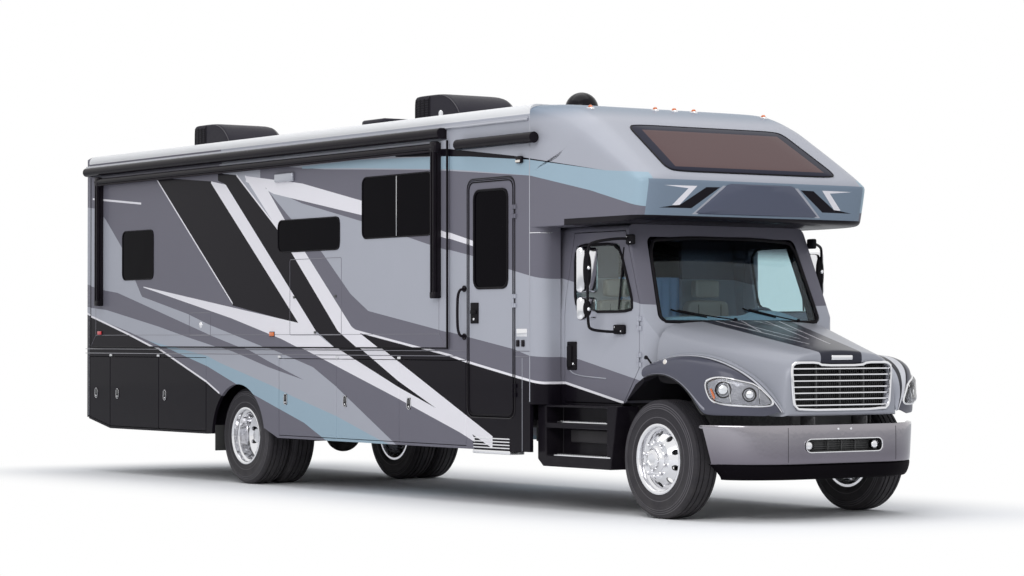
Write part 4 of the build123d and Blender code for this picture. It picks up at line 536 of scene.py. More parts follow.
ROOF_UNIT = Finish("roof_unit_plastic", (0.021, 0.019, 0.027), 0.4, 0.0, 0.03, 0.1, 7.0, 380.0, 0.0007,
                   specular=0.08, slot="black_plastic")
CAB_TRIM = Finish("cab_trim", (0.07, 0.085, 0.11), 0.6, 0.0, 0.0, 0.08, 8.0, 350.0, 0.0008, specular=0.3,
                  slot="cab_plastic")
LEATHER = Finish("seat_leather", (0.12, 0.19, 0.31), 0.5, 0.0, 0.0, 0.12, 12.0, 260.0, 0.0012,
                 specular=0.35, slot="seat_leather")
DARK_GLASS = Finish("tinted_pane", (0.002, 0.0015, 0.003), 0.06, 0.0, 0.0, 0.02, 2.0, 3.0, 0.002, 1.0,
                    specular=0.02)
CAB_GLASS = Glass("cab_glass", (0.68, 0.8, 0.78), 0.02, mottle=0.01, mottle_scale=2.0)
WOOD = Finish("floor_board", (0.2, 0.12, 0.07), 0.5, 0.0, 0.0, 0.2, 5.0, 60.0, 0.0006)
AMBER_CLEAR = Finish("clear_marker_lens", (0.75, 0.7, 0.64), 0.12, 0.0, 0.6, 0.1, 60.0, 250.0, 0.0006,
                     slot="lamp_lens")
LAMP_BOWL = Finish("lamp_bowl", (0.3, 0.3, 0.33), 0.2, 1.0, 0.0, 0.35, 18.0, 40.0, 0.0012, slot="chrome")
AMBER = Finish("amber_lens", (0.62, 0.13, 0.015), 0.15, 0.0, 0.6, 0.1, 60.0, 250.0, 0.0006,
               glow=(0.4, 0.08, 0.006), slot="lamp_lens")
RED = Finish("red_lens", (0.5, 0.01, 0.02), 0.15, 0.0, 0.6, 0.1, 60.0, 250.0, 0.0006,
             glow=(0.4, 0.01, 0.01), slot="lamp_lens")
LAMP_GLASS = Glass("lamp_cover", (0.93, 0.95, 0.96), 0.02, mottle=0.02, mottle_scale=20.0, slot="clear_glass")


# -------------------------------------------------------------------------- mesh making
def soften(obj: bpy.types.Object, levels: int) -> None:
    """Round a mesh by subdividing it, alike in view and render."""
    modifier = obj.modifiers.new("rounding", "SUBSURF")
    modifier.levels = modifier.render_levels = levels


def thicken(obj: bpy.types.Object, thickness: float, offset: float = -1.0) -> None:
    """Give a skin its thickness, inward from its face."""
    wall = obj.modifiers.new("wall", "SOLIDIFY")
    wall.thickness = thickness
    wall.offset = offset


def as_piece(obj: bpy.types.Object, body: str, finish: "Finish", replaces: Sequence[str] = (),
             subdivide: int = 0) -> bpy.types.Object:
    """Make an object a piece of the vehicle.

    Args:
        obj: The object.
        body: CAD body that it rides on.
        finish: Its finish.
        replaces: CAD nodes that it stands for.
        subdivide: Levels of subdivision.

    Returns:
        The same object.
    """
    obj.data.materials.append(finish.material())
    if subdivide:
        soften(obj, subdivide)
    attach(obj, body)
    if replaces:
        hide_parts(*replaces)
    return obj


class Shape:
    """A mesh in the making, built with bmesh operators."""

    def __init__(self) -> None:
        """Start empty."""
        self.bm = bmesh.new()

    def round_edges(self, edges: Sequence[bmesh.types.BMEdge], radius: float, segments: int = 2) -> "Shape":
        """Bevel edges."""
        if radius > 0.0:
            bmesh.ops.bevel(self.bm, geom=list(edges), offset=radius, segments=segments, profile=0.5,
                            affect="EDGES", material=-1, clamp_overlap=True)
        return self

    def box(self, low: Point, high: Point, radius: float = 0.0, segments: int = 2) -> "Shape":
        """Box between two corners with rounded edges.

        Args:
            low: One corner.
            high: The opposite corner.
            radius: Radius of the edges.
            segments: Faces round each edge.

        Returns:
            This shape.
        """
        a, b = Vector(low), Vector(high)
        size = Vector([abs(v) for v in b - a])
        matrix = Matrix.Translation((a + b) / 2) @ Matrix.Diagonal((*size, 1.0))
        made = bmesh.ops.create_cube(self.bm, size=1.0, matrix=matrix)
        edges = {edge for vert in made["verts"] for edge in vert.link_edges}
        return self.round_edges(edges, min(radius, 0.45 * min(size)), segments)

    def rod(self, start: Point, end: Point, radius: float, sides: int = 20,
            end_radius: float | None = None) -> "Shape":
        """Round bar, or a cone when the end's radius differs.

        Args:
            start: Middle of one end.
            end: Middle of the other end.
            radius: Radius at the start.
            sides: Faces round it.
            end_radius: Radius at the end, if it differs.

        Returns:
            This shape.
        """
        a, b = Vector(start), Vector(end)
        turn = (b - a).to_track_quat("Z", "Y").to_matrix().to_4x4()
        bmesh.ops.create_cone(self.bm, cap_ends=True, segments=sides, radius1=radius,
                              radius2=radius if end_radius is None else end_radius,
                              depth=(b - a).length, matrix=Matrix.Translation((a + b) / 2) @ turn)
        return self

    def ball(self, middle: Point, radius: float, squash: Point = (1.0, 1.0, 1.0), sides: int = 24) -> "Shape":
        """Sphere, stretched along the axes."""
        matrix = Matrix.Translation(middle) @ Matrix.Diagonal((*squash, 1.0))
        bmesh.ops.create_uvsphere(self.bm, u_segments=sides, v_segments=sides // 2, radius=radius,
                                  matrix=matrix)
        return self

    def line(self, points: Sequence[Point]) -> list[bmesh.types.BMEdge]:
        """Edges through points in order."""
        verts = [self.bm.verts.new(point) for point in points]
        return [self.bm.edges.new(pair) for pair in zip(verts, verts[1:])]

    def lathe(self, profile: Sequence[Pair], middle: Point, steps: int = 48) -> "Shape":
        """Turn a profile of (radius, y) about the Y axis through a point.

        Args:
            profile: Radius and distance along Y of each corner, closed if its ends meet.
            middle: Point on the axis where y is 0.
            steps: Faces round it.

        Returns:
            This shape.
        """
        x, y, z = middle
        edges = self.line([(x + radius, y + along, z) for radius, along in profile])
        verts = {vert for edge in edges for vert in edge.verts}
        bmesh.ops.spin(self.bm, geom=[*verts, *edges], cent=middle, axis=(0.0, 1.0, 0.0), dvec=(0, 0, 0),
                       angle=math.tau, steps=steps, use_merge=True, use_duplicate=False)
        bmesh.ops.remove_doubles(self.bm, verts=self.bm.verts, dist=1e-5)
        bmesh.ops.recalc_face_normals(self.bm, faces=self.bm.faces)
        return self

    def tube(self, points: Sequence[Point], radius: float, sides: int = 12) -> "Shape":
        """Bent round tube through points, with closed ends.

        Args:
            points: Middle of the tube at each bend.
            radius: Radius of the tube.
            sides: Faces round it.

        Returns:
            This shape.
        """
        curve = bpy.data.curves.new("path", "CURVE")
        curve.dimensions = "3D"
        curve.bevel_depth = radius
        curve.bevel_resolution = max(sides // 4 - 1, 1)
        curve.use_fill_caps = True
        spline = curve.splines.new("POLY")
        spline.points.add(len(points) - 1)
        for knot, point in zip(spline.points, points):
            knot.co = (*point, 1.0)
        holder = bpy.data.objects.new("path", curve)
        mesh = bpy.data.meshes.new_from_object(holder)
        self.bm.from_mesh(mesh)
        bpy.data.objects.remove(holder)
        bpy.data.curves.remove(curve)
        bpy.data.meshes.remove(mesh)
        return self

    def loop(self, ring: Sequence[Point], radius: float, sides: int = 8) -> "Shape":
        """Tube round a closed ring of points."""
        return self.tube([*ring, *ring[:2]], radius, sides)

    def loft(self, rows: Sequence[Sequence[Point]], closed: bool = False) -> "Shape":
        """Skin through rows of points, each row extruded to the next.

        Args:
            rows: Rows with as many points each.
            closed: Whether each row is a ring.

        Returns:
            This shape.
        """
        verts = [self.bm.verts.new(point) for point in rows[0]]
        edges = [self.bm.edges.new(pair) for pair in zip(verts, verts[1:])]
        if closed:
            edges.append(self.bm.edges.new((verts[-1], verts[0])))
        for row in rows[1:]:
            made = bmesh.ops.extrude_edge_only(self.bm, edges=edges)["geom"]
            fresh = {v for v in made if isinstance(v, bmesh.types.BMVert)}
            after = []
            for vert, point in zip(verts, row):
                twin = next(e.other_vert(vert) for e in vert.link_edges if e.other_vert(vert) in fresh)
                twin.co = point
                after.append(twin)
            verts = after
            edges = [e for e in made if isinstance(e, bmesh.types.BMEdge)
                     and all(v in fresh for v in e.verts)]
        bmesh.ops.recalc_face_normals(self.bm, faces=self.bm.faces)
        return self

    def shell(self, rows: Sequence[Sequence[Point]]) -> "Shape":
        """Skin through open rows whose flat ends are closed with rings drawn in to a middle.

        Args:
            rows: Rows with as many points each, which start and end on one line.

        Returns:
            This shape.
        """
        rings = []
        for end in (rows[0], rows[-1]):
            middle = (Vector(end[0]) + Vector(end[-1])) / 2
            rings.append([[tuple(Vector(p).lerp(middle, share)) for p in end] for share in (0.3, 0.6, 0.85)])
        self.loft([*reversed(rings[0]), *rows, *rings[1]])
        for row in (rings[0][-1], rings[1][-1]):
            self.bm.faces.new([min(self.bm.verts, key=lambda v, p=p: (v.co - Vector(p)).length) for p in row])
        bmesh.ops.recalc_face_normals(self.bm, faces=self.bm.faces)
        return self

    def close_ends(self) -> "Shape":
        """Fill the open ends."""
        bmesh.ops.holes_fill(self.bm, edges=[e for e in self.bm.edges if e.is_boundary], sides=0)
        return self

    def flip_side(self, side: Side) -> "Shape":
        """Turn a shape drawn on the right into one for a side."""
        if side is Side.LEFT:
            bmesh.ops.scale(self.bm, verts=self.bm.verts, vec=(1.0, -1.0, 1.0))
            bmesh.ops.reverse_faces(self.bm, faces=self.bm.faces)
        return self

    def object(self, name: str, smooth: float = 40.0) -> bpy.types.Object:
        """The finished mesh as an object.

        Args:
            name: Object's name.
            smooth: Edges flatter than this many degrees are shaded smooth.

        Returns:
            The new object, linked to the scene.
        """
        mesh = bpy.data.meshes.new(name)
        limit = math.radians(smooth)
        for face in self.bm.faces:
            face.smooth = True
        for edge in self.bm.edges:
            edge.smooth = len(edge.link_faces) == 2 and edge.calc_face_angle(0.0) < limit
        self.bm.to_mesh(mesh)
        self.bm.free()
        obj = bpy.data.objects.new(name, mesh)
        bpy.context.scene.collection.objects.link(obj)
        return obj

    def piece(self, name: str, body: str, finish: Finish, slot: str = "", replaces: Sequence[str] = (),
              subdivide: int = 0, smooth: float = 40.0) -> bpy.types.Object:
        """Finish the mesh as a piece of the vehicle.

        Args:
            name: Piece's name.
            body: CAD body that it rides on.
            finish: Its finish.
            slot: The record's material slot; not used.
            replaces: CAD nodes that it stands for.
            subdivide: Levels of subdivision.
            smooth: Edges flatter than this many degrees are shaded smooth.

        Returns:
            The piece.
        """
        return as_piece(self.object(name, smooth), body, finish, replaces, subdivide)


# ------------------------------------------------------------------------ paint patterns
def polygon_mask(t: Tree, u: object, v: object, corners: Sequence[Pair]) -> object:
    """Mask of a convex polygon on a surface.

    Args:
        t: Tree to build in.
        u: Socket of the first coordinate.
        v: Socket of the second coordinate.
        corners: Polygon's corners in order round it.

    Returns:
        Socket that is 1 inside and 0 outside.
    """
    area = sum(a[0] * b[1] - b[0] * a[1] for a, b in zip(corners, (*corners[1:], corners[0])))
    turn = 1.0 if area > 0 else -1.0
    mask: object = 1.0
    for (u0, v0), (u1, v1) in zip(corners, (*corners[1:], corners[0])):
        over = t.minus(t.times(t.minus(v, v0), u1 - u0), t.times(t.minus(u, u0), v1 - v0))
        mask = t.times(mask, t.above(t.times(over, turn), 0.0))
    return mask


@dataclass(frozen=True)
class Decal:
    """Convex painted shape, given as corners on two axes, alike on both sides."""

    colour: Colour
    corners: tuple[Pair, ...]


BONNET_SILVER: Colour = tuple(0.82 * c for c in SILVER)
# Darker blue painted over the top of the cap: painted shade, standing against the brighter light that the top
# gets from above.
PAINTED_TOP_SHADE: Colour = (0.17, 0.22, 0.29)


@dataclass(frozen=True)
class CapPaint(LiveryPaint):
    """Livery paint with the strokes on the front of the cap, its dark lip and painted shade over its top."""

    lip_z: float = 2.556
    front_x: float = 4.6
    lip_x: float = 3.6
    # Heights over which the painted shade on the cap's top fades in.
    crown: Pair = (3.42, 3.58)
    decals: tuple[Decal, ...] = (
        Decal(SILVER, ((0.0, 2.86), (1.16, 2.86), (1.16, 3.0), (0.0, 3.0))),
        Decal(NOSE, ((0.0, 2.556), (1.2, 2.556), (1.2, 2.86), (0.0, 2.86))),
        Decal(WHITE, ((1.05, 2.808), (0.7, 2.81), (0.745, 2.788), (0.8, 2.788))),
        Decal(WHITE, ((0.7, 2.81), (0.79, 2.79), (0.945, 2.642), (0.87, 2.642))),
        Decal(BLACK, ((0.6, 2.803), (0.45, 2.806), (0.735, 2.62), (0.87, 2.642))),
        Decal(BLACK, ((0.735, 2.62), (0.87, 2.645), (0.93, 2.64), (1.08, 2.618))),
        Decal(SILVER, ((0.385, 2.82), (0.42, 2.82), (0.72, 2.57), (0.66, 2.57))),
    )

    def base_colour(self, t: Tree, place: bpy.types.NodeSocket) -> object:
        """Livery with painted shade over the top, and the front strokes over it."""
        xyz = t.xyz(place)
        crown = t.ramp(xyz[2], self.crown[0], self.crown[1], smooth=True)
        colour = t.blend(crown, super().base_colour(t, place), rgba(PAINTED_TOP_SHADE))
        across = t.maths("ABSOLUTE", xyz[1])
        ahead = t.above(xyz[0], self.front_x)
        for decal in self.decals:
            shape = polygon_mask(t, across, xyz[2], decal.corners)
            colour = t.blend(t.times(shape, ahead), colour, rgba(decal.colour))
        low = t.below(xyz[2], self.lip_z)
        return t.blend(t.times(low, t.above(xyz[0], self.lip_x)), colour, rgba(BLACK))


@dataclass(frozen=True)
class BonnetPaint(Finish):
    """Silver paint with a dark tapered centre panel and light strokes on it."""

    rear: Pair = (4.55, 0.5)
    front: Pair = (5.775, 0.225)
    arch: Pair = (5.3, 1.235)
    panel_z: float = 1.29
    panel: Colour = (0.03, 0.031, 0.044)
    strokes: tuple[Decal, ...] = (
        Decal(WHITE, ((4.5, 0.20), (4.5, 0.213), (5.3, 0.05), (5.3, 0.042))),
        Decal(WHITE, ((4.5, 0.36), (4.5, 0.376), (5.5, 0.12), (5.5, 0.112))),
        Decal(WHITE, ((4.5, 0.05), (4.5, 0.061), (5.0, 0.23), (5.0, 0.222))),
    )

    def base_colour(self, t: Tree, place: bpy.types.NodeSocket) -> object:
        """Silver, with the dark panel, its strokes and the black edge over the wheel."""
        xyz = t.xyz(place)
        across = t.maths("ABSOLUTE", xyz[1])
        half = t.ramp(xyz[0], self.rear[0], self.front[0], self.rear[1], self.front[1])
        inside = t.below(across, half)
        high = t.above(xyz[2], self.panel_z)
        colour = t.blend(t.times(inside, high), rgba(self.colour), rgba(self.panel))
        for stroke in self.strokes:
            colour = t.blend(polygon_mask(t, xyz[0], across, stroke.corners), colour, rgba(stroke.colour))
        arch = t.times(t.below(xyz[0], self.arch[0]), t.below(xyz[2], self.arch[1]))
        return t.blend(arch, colour, rgba(BLACK))


@dataclass(frozen=True)
class FenderPaint(Finish):
    """Grey paint with a pale lip along the wheel arch and a pale line along the top, stripes that are also
    painted highlights of the edges, the line flanked by painted shade.
    """

    lip: Pair = (0.235, 0.268)
    lip_end: float = 5.35
    lines: tuple[Pair, ...] = ((0.82, 0.875),)
    # Thin dark bands on both sides of the top line: painted shade that makes the line stand out.
    edges: tuple[Pair, ...] = ((0.79, 0.82), (0.875, 0.905))
    lip_colour: Colour = (0.3, 0.3, 0.34)
    line_colour: Colour = (0.62, 0.62, 0.66)
    edge_colour: Colour = (0.02, 0.02, 0.028)

    def base_colour(self, t: Tree, place: bpy.types.NodeSocket) -> object:
        """Grey, the lip and the line as stripes with painted highlight, silver above the line, and painted
        shade beside the line, by how far across the fender a point is.
        """
        across = t.add("ShaderNodeAttribute", attribute_name="across").outputs["Fac"]
        x = t.xyz(place)[0]
        lip = t.times(t.above(across, self.lip[0]), t.below(across, self.lip[1]))
        lip = t.times(lip, t.below(x, self.lip_end))
        colour: object = t.blend(lip, rgba(self.colour), rgba(self.lip_colour))
        for low, high in self.lines:
            inside = t.times(t.above(across, low), t.below(across, high))
            colour = t.blend(inside, colour, rgba(self.line_colour))
        beyond = t.above(across, self.edges[-1][1])
        colour = t.blend(beyond, colour, rgba(SILVER))
        # Painted shade on both sides of the line.
        for low, high in self.edges:
            inside = t.times(t.above(across, low), t.below(across, high))
            colour = t.blend(inside, colour, rgba(self.edge_colour))
        return colour


@dataclass(frozen=True)
class CapPane(Finish):
    """Dark pane with a warm tinted middle inside a black painted border."""

    border: float = 0.105
    top: Pair = (3.385, 0.86)
    bottom: Pair = (2.925, 0.95)
    middle: Colour = (0.104, 0.061, 0.062)
    rise: float = 0.52

    def base_colour(self, t: Tree, place: bpy.types.NodeSocket) -> object:
        """Warm inside the border."""
        xyz = t.xyz(place)
        half = t.ramp(xyz[2], self.bottom[0], self.top[0], self.bottom[1] - self.border,
                      self.top[1] - self.border)
        side = t.below(t.maths("ABSOLUTE", xyz[1]), half)
        over = t.above(xyz[2], self.bottom[0] + self.rise * self.border)
        under = t.below(xyz[2], self.top[0] - self.rise * self.border)
        inside = t.times(side, t.times(over, under))
        return t.blend(inside, rgba(self.colour), rgba(self.middle))


CAP_PAINT = CapPaint("cap_paint", SILVER, 0.34, 0.04, 0.08, 0.03, 3.0, specular=0.08)
BONNET_PAINT = BonnetPaint("bonnet_paint", BONNET_SILVER, 0.3, 0.06, 0.06, 0.03, 3.0, dust=0.05,
                           specular=0.12)
FENDER_PAINT = FenderPaint("fender_paint", (0.085, 0.086, 0.113), 0.3, 0.05, 0.12, 0.03, 3.0, dust=0.06,
                           specular=0.12)
CAP_PANE = CapPane("cap_pane", (0.012, 0.013, 0.03), 0.1, 0.0, 0.02, 0.03, 2.0, specular=0.04,
                   slot="dark_glass")


class Skin:
    """Finished surface that other pieces are laid on."""

    def __init__(self, obj: bpy.types.Object) -> None:
        """Read the surface with its modifiers."""
        depsgraph = bpy.context.evaluated_depsgraph_get()
        self.tree = BVHTree.FromObject(obj, depsgraph)

    def lay(self, points: Sequence[Point], lift: float, away: Point | None = None) -> list[Point]:
        """Places on the surface for points.

        Args:
            points: Points near the surface.
            lift: How far the places are lifted off it.
            away: Direction that the surface is met from; the nearest places are taken without it.

        Returns:
            The lifted places.
        """
        placed = []
        for point in points:
            spot, normal, _, _ = self.tree.find_nearest(Vector(point))
            if away:
                outward = Vector(away).normalized()
                hit = self.tree.ray_cast(Vector(point) + outward * 0.3, -outward)
                if hit[0] is not None:
                    spot, normal = hit[:2]
            placed.append(tuple(spot + normal * lift))
        return placed


def ring_toward(ring: Sequence[Point], share: float) -> list[Point]:
    """A ring of points drawn in toward its middle by a share."""
    middle = sum((Vector(p) for p in ring), Vector()) / len(ring)
    return [tuple(Vector(p).lerp(middle, share)) for p in ring]


def rounded(ring: Sequence[Point], cut: float = 0.25, times: int = 2) -> list[Point]:
    """A closed ring with its corners cut round.

    Args:
        ring: Corners.
        cut: Share of each side that is cut off at its ends.
        times: How often the corners are cut.

    Returns:
        The finer ring.
    """
    points = [Vector(p) for p in ring]
    for _ in range(times):
        finer = []
        for a, b in zip(points, (*points[1:], points[0])):
            finer += [a.lerp(b, cut), a.lerp(b, 1 - cut)]
        points = finer
    return [tuple(p) for p in points]


def both(points: Sequence[Point], side: Side) -> list[Point]:
    """Points drawn with y as distance from the centre line, placed on a side."""
    return [(x, y * side.value, z) for x, y, z in points]


# ------------------------------------------------------------------------------- bonnet
@dataclass
class Bonnet:
    """Bonnet with its nose, fenders, grille, lamps and catches."""

    half_rear: tuple[float, ...] = (1.0, 0.99, 1.51, 0.80, 1.648)
    half_front: tuple[float, ...] = (0.62, 0.575, 1.29, 0.30, 1.39)
    rear_x: float = 4.552
    front_x: float = 5.775
    bottom: float = 0.87
    arch_rise: float = 0.26
    stations: tuple[float, ...] = (0.0, 0.12, 0.3, 0.5, 0.62, 0.7, 0.78, 0.86, 0.92)
    grille: tuple[Pair, ...] = ((0.215, 1.288), (0.275, 1.312), (0.5, 1.312), (0.548, 1.28), (0.535, 1.08),
                                (0.522, 0.96), (0.47, 0.92))
    fender: tuple[tuple[Point, ...], ...] = (
        ((4.552, 1.15, 1.182), (4.552, 1.165, 1.205), (4.552, 1.165, 1.24),
         (4.552, 1.14, 1.275), (4.552, 0.975, 1.33)),
        ((4.70, 1.155, 1.209), (4.70, 1.166, 1.24), (4.70, 1.163, 1.285),
         (4.70, 1.13, 1.325), (4.70, 0.945, 1.372)),
        ((4.83, 1.155, 1.204), (4.84, 1.166, 1.25), (4.86, 1.163, 1.31),
         (4.88, 1.12, 1.362), (4.88, 0.89, 1.392)),
        ((4.97, 1.155, 1.168), (4.99, 1.166, 1.225), (5.03, 1.163, 1.31),
         (5.06, 1.11, 1.38), (5.06, 0.835, 1.378)),
        ((5.10, 1.155, 1.103), (5.13, 1.165, 1.17), (5.19, 1.16, 1.29),
         (5.24, 1.09, 1.378), (5.24, 0.777, 1.335)),
        ((5.21, 1.155, 1.013), (5.26, 1.16, 1.10), (5.33, 1.14, 1.25),
         (5.40, 1.05, 1.355), (5.42, 0.72, 1.245)),
        ((5.285, 1.15, 0.92), (5.36, 1.13, 1.04), (5.46, 1.08, 1.20),
         (5.54, 0.985, 1.30), (5.56, 0.677, 1.155)),
        ((5.33, 1.14, 0.872), (5.44, 1.09, 0.99), (5.55, 1.01, 1.13),
         (5.63, 0.90, 1.23), (5.66, 0.648, 1.06)),
        ((5.45, 1.085, 0.87), (5.54, 1.03, 0.96), (5.635, 0.92, 1.06),
         (5.695, 0.82, 1.14), (5.72, 0.63, 0.98)),
        ((5.60, 0.97, 0.87), (5.655, 0.90, 0.92), (5.71, 0.81, 0.98),
         (5.74, 0.72, 1.02), (5.755, 0.62, 0.93)),
        ((5.71, 0.80, 0.87), (5.735, 0.745, 0.885), (5.75, 0.69, 0.90),
         (5.762, 0.65, 0.91), (5.768, 0.61, 0.893)),
    )
    lamp: tuple[Point, ...] = (
        (5.35, 1.121, 1.147), (5.409, 1.097, 1.187), (5.518, 1.053, 1.192), (5.608, 0.957, 1.16),
        (5.674, 0.861, 1.134), (5.717, 0.783, 1.06), (5.736, 0.709, 0.984), (5.731, 0.729, 0.958),
        (5.682, 0.85, 0.955), (5.574, 1.006, 0.963), (5.44, 1.084, 0.983), (5.385, 1.106, 1.027))

    def section(self, share: float) -> list[Pair]:
        """Half section of the bonnet as (y, z), from the middle down to its low edge."""
        low, mid, mid_z, top, top_z = (a + (b - a) * share for a, b in zip(self.half_rear, self.half_front))
        bottom = self.bottom + self.arch_rise * min(1.0, max(0.0, (0.86 - share) / 0.25))
        return [(0.0, top_z + 0.02), (0.5 * top, top_z + 0.014), (top, top_z - 0.004),
                (0.5 * (top + mid), 0.5 * (top_z + mid_z) + 0.03), (mid - 0.004, mid_z),
                (0.5 * (mid + low), 0.55 * mid_z + 0.45 * bottom), (low, bottom)]

    def row(self, share: float, x: float, shrink: float = 0.0) -> list[Point]:
        """Whole section from one low edge over the top to the other."""
        half = [(x, y * (1 - shrink), z - shrink * 0.35 * (z - self.bottom)) for y, z in self.section(share)]
        return [(x, -y, z) for x, y, z in reversed(half[1:])] + half

    def skin(self) -> bpy.types.Object:
        """Bonnet from the windscreen to the opening of the grille."""
        length = self.front_x - self.rear_x
        rows = [self.row(s, self.rear_x + s * length) for s in self.stations]
        rows += [self.row(0.97, self.front_x - 0.036), self.row(1.0, self.front_x - 0.004, 0.022)]
        opening = [(self.front_x, y, z) for y, z in self.grille]
        edge = [(self.front_x, 0.0, self.grille[0][1])] + opening[:5] + [opening[6]]
        rows.append([(x, -y, z) for x, y, z in reversed(edge[1:])] + edge)
        rows.append([(x - 0.05, y, z) for x, y, z in rows[-1]])
        shape = Shape().loft(rows)
        sill = [(self.front_x - 0.03, 0.60, self.bottom), (self.front_x - 0.004, 0.60, self.bottom + 0.01),
                (self.front_x, 0.49, self.grille[-1][1]), (self.front_x - 0.05, 0.47, self.grille[-1][1])]
        shape.loft([[(x, -y, z) for x, y, z in sill], [(x, 0.0, z) for x, _, z in sill], sill])
        obj = shape.object("bonnet_skin", 60.0)
        soften(obj, 2)
        thicken(obj, 0.008)
        return obj

    def fender_skin(self, side: Side) -> bpy.types.Object:
        """Fender from its inner lip over the shoulder to the bonnet."""
        rows = []
        for row in self.fender:
            lip = row[0]
            inner = (lip[0], lip[1] - 0.05, lip[2] + 0.012)
            rows.append(both((inner, *row), side))
        shape = Shape().loft(rows)
        layer = shape.bm.verts.layers.float.new("across")
        count = len(rows[0])
        shape.bm.verts.ensure_lookup_table()
        for vert in shape.bm.verts:
            place = min((abs(vert.co.x - p[0]) + abs(vert.co.y - p[1]) + abs(vert.co.z - p[2]), i)
                        for line in rows for i, p in enumerate(line))
            vert[layer] = place[1] / (count - 1)
        obj = shape.object(f"fender_skin_{side.word}", 60.0)
        soften(obj, 3)
        thicken(obj, 0.007)
        return obj

    def liner(self, side: Side) -> None:
        """Black liner over the wheel, inside the fender."""
        rows = []
        for row in self.fender[:8]:
            x, y, z = row[0]
            rows.append(both(((x, y - 0.012, z + 0.004), (x, y - 0.03, z + 0.02), (x, 0.9, z + 0.03),
                              (x, 0.74, z + 0.02), (x, 0.6, max(z - 0.03, 0.95))), side))
        wall = Shape().loft(rows).piece(f"wheel_liner_{side.word}", "hood", PLASTIC, subdivide=1)
        thicken(wall, 0.004)

    def lamp_pieces(self, side: Side, skin: Skin) -> None:
        """Head lamp: bowl, reflectors and their rings, turn lamp, ribs, rim and cover."""
        away = (0.75, 0.66 * side.value, 0.0)
        ring = skin.lay(rounded(both(self.lamp, side)), 0.001, away)
        shape = Shape().loft([skin.lay(ring_toward(ring, share), 0.004 + 0.008 * min(share * 4, 1.0), away)
                              for share in (0.0, 0.08, 0.2, 0.35, 0.5, 0.65, 0.8, 0.92)], closed=True)
        shape.close_ends()
        shape.piece(f"lamp_bowl_{side.word}", "hood", LAMP_BOWL, replaces=("headlights",))
        spots = both(((5.5, 1.04, 1.09), (5.655, 0.90, 1.05)), side)
        shape = Shape()
        facing = Vector(away).to_track_quat("Z", "Y").to_matrix().to_4x4()
        for spot, size in zip(skin.lay(spots, 0.014, away), (0.046, 0.038)):
            bmesh.ops.create_uvsphere(shape.bm, u_segments=24, v_segments=12, radius=size,
                                      matrix=Matrix.Translation(spot) @ facing
                                      @ Matrix.Diagonal((1, 1, 0.25, 1)))
        shape.piece(f"lamp_reflectors_{side.word}", "hood", CHROME)
        rings = Shape()
        level = Vector(away).cross(Vector((0, 0, 1))).normalized()
        for spot, size in zip(skin.lay(spots, 0.021, away), (0.064, 0.054)):
            rings.tube([tuple(Vector(spot) + size * (math.cos(k * math.tau / 24) * level
                                                     + math.sin(k * math.tau / 24) * Vector((0, 0, 1))))
                        for k in range(26)], 0.006, 8)
        rings.piece(f"lamp_rings_{side.word}", "hood", SEAL)
        turn = skin.lay(both(((5.405, 1.1, 1.1), (5.423, 1.093, 1.1), (5.45, 1.08, 1.03),
                              (5.438, 1.085, 1.01)), side), 0.018, away)
        shape = Shape().loft([turn, ring_toward(turn, 0.5)], closed=True)
        shape.close_ends()
        shape.piece(f"lamp_turn_{side.word}", "hood", AMBER)
        bars = Shape()
        for a, b in (((5.53, 1.03, 1.18), (5.56, 1.01, 0.98)), ((5.69, 0.84, 1.11), (5.70, 0.83, 0.975))):
            bars.tube(skin.lay(both((a, b), side), 0.02, away), 0.004, 8)
        bars.piece(f"lamp_ribs_{side.word}", "hood", CHROME)
        rim = Shape().loop(skin.lay(ring, 0.004, away), 0.0105, 12)
        rim.piece(f"lamp_rim_{side.word}", "hood", ALLOY)
        cover = Shape().loft([skin.lay(ring_toward(ring, share), 0.012 + 0.024 * min(share * 5, 1.0), away)
                              for share in (0.0, 0.06, 0.12, 0.25, 0.4, 0.55, 0.7, 0.85)], closed=True)
        cover.close_ends()
        cover.piece(f"lamp_cover_{side.word}", "hood", LAMP_GLASS, subdivide=1)

    def grille_pieces(self) -> None:
        """Grille: surround, bars, posts and the dark core behind."""
        outline = [(self.front_x, y, z) for y, z in self.grille]
        ring = [*outline, *[(x, -y, z) for x, y, z in reversed(outline)]]
        ring = rounded(ring, 0.2, 1)
        surround = Shape().tube([*[(x + 0.002, y, z) for x, y, z in ring],
                                 *[(x + 0.002, y, z) for x, y, z in ring[:2]]], 0.0125, 12)
        surround.piece("grille_surround", "hood", CHROME, replaces=("grille",))
        bars = Shape()
        for index in range(7):
            z = 0.958 + index * 0.0505
            half = 0.52 + 0.004 * index
            points = [(self.front_x - 0.012 + 0.012 * math.cos(math.pi * s / 2), half * s, z)
                      for s in (-1, -0.85, -0.5, 0, 0.5, 0.85, 1)]
            bars.tube(points, 0.0068, 12)
        bars.piece("grille_bars", "hood", CHROME)
        posts = Shape()
        for y in (-0.26, 0.0, 0.26):
            posts.box((self.front_x - 0.045, y - 0.008, 0.93), (self.front_x - 0.02, y + 0.008, 1.29), 0.003)
        for index in range(46):
            y = -0.5 + index * 0.0222
            posts.box((self.front_x - 0.06, y - 0.0012, 0.93), (self.front_x - 0.05, y + 0.0012, 1.29))
        posts.piece("grille_posts", "hood", PLASTIC)
        core = Shape().box((self.front_x - 0.085, -0.53, 0.92), (self.front_x - 0.075, 0.53, 1.30), 0.004)
        core.piece("grille_core", "hood", SEAL)

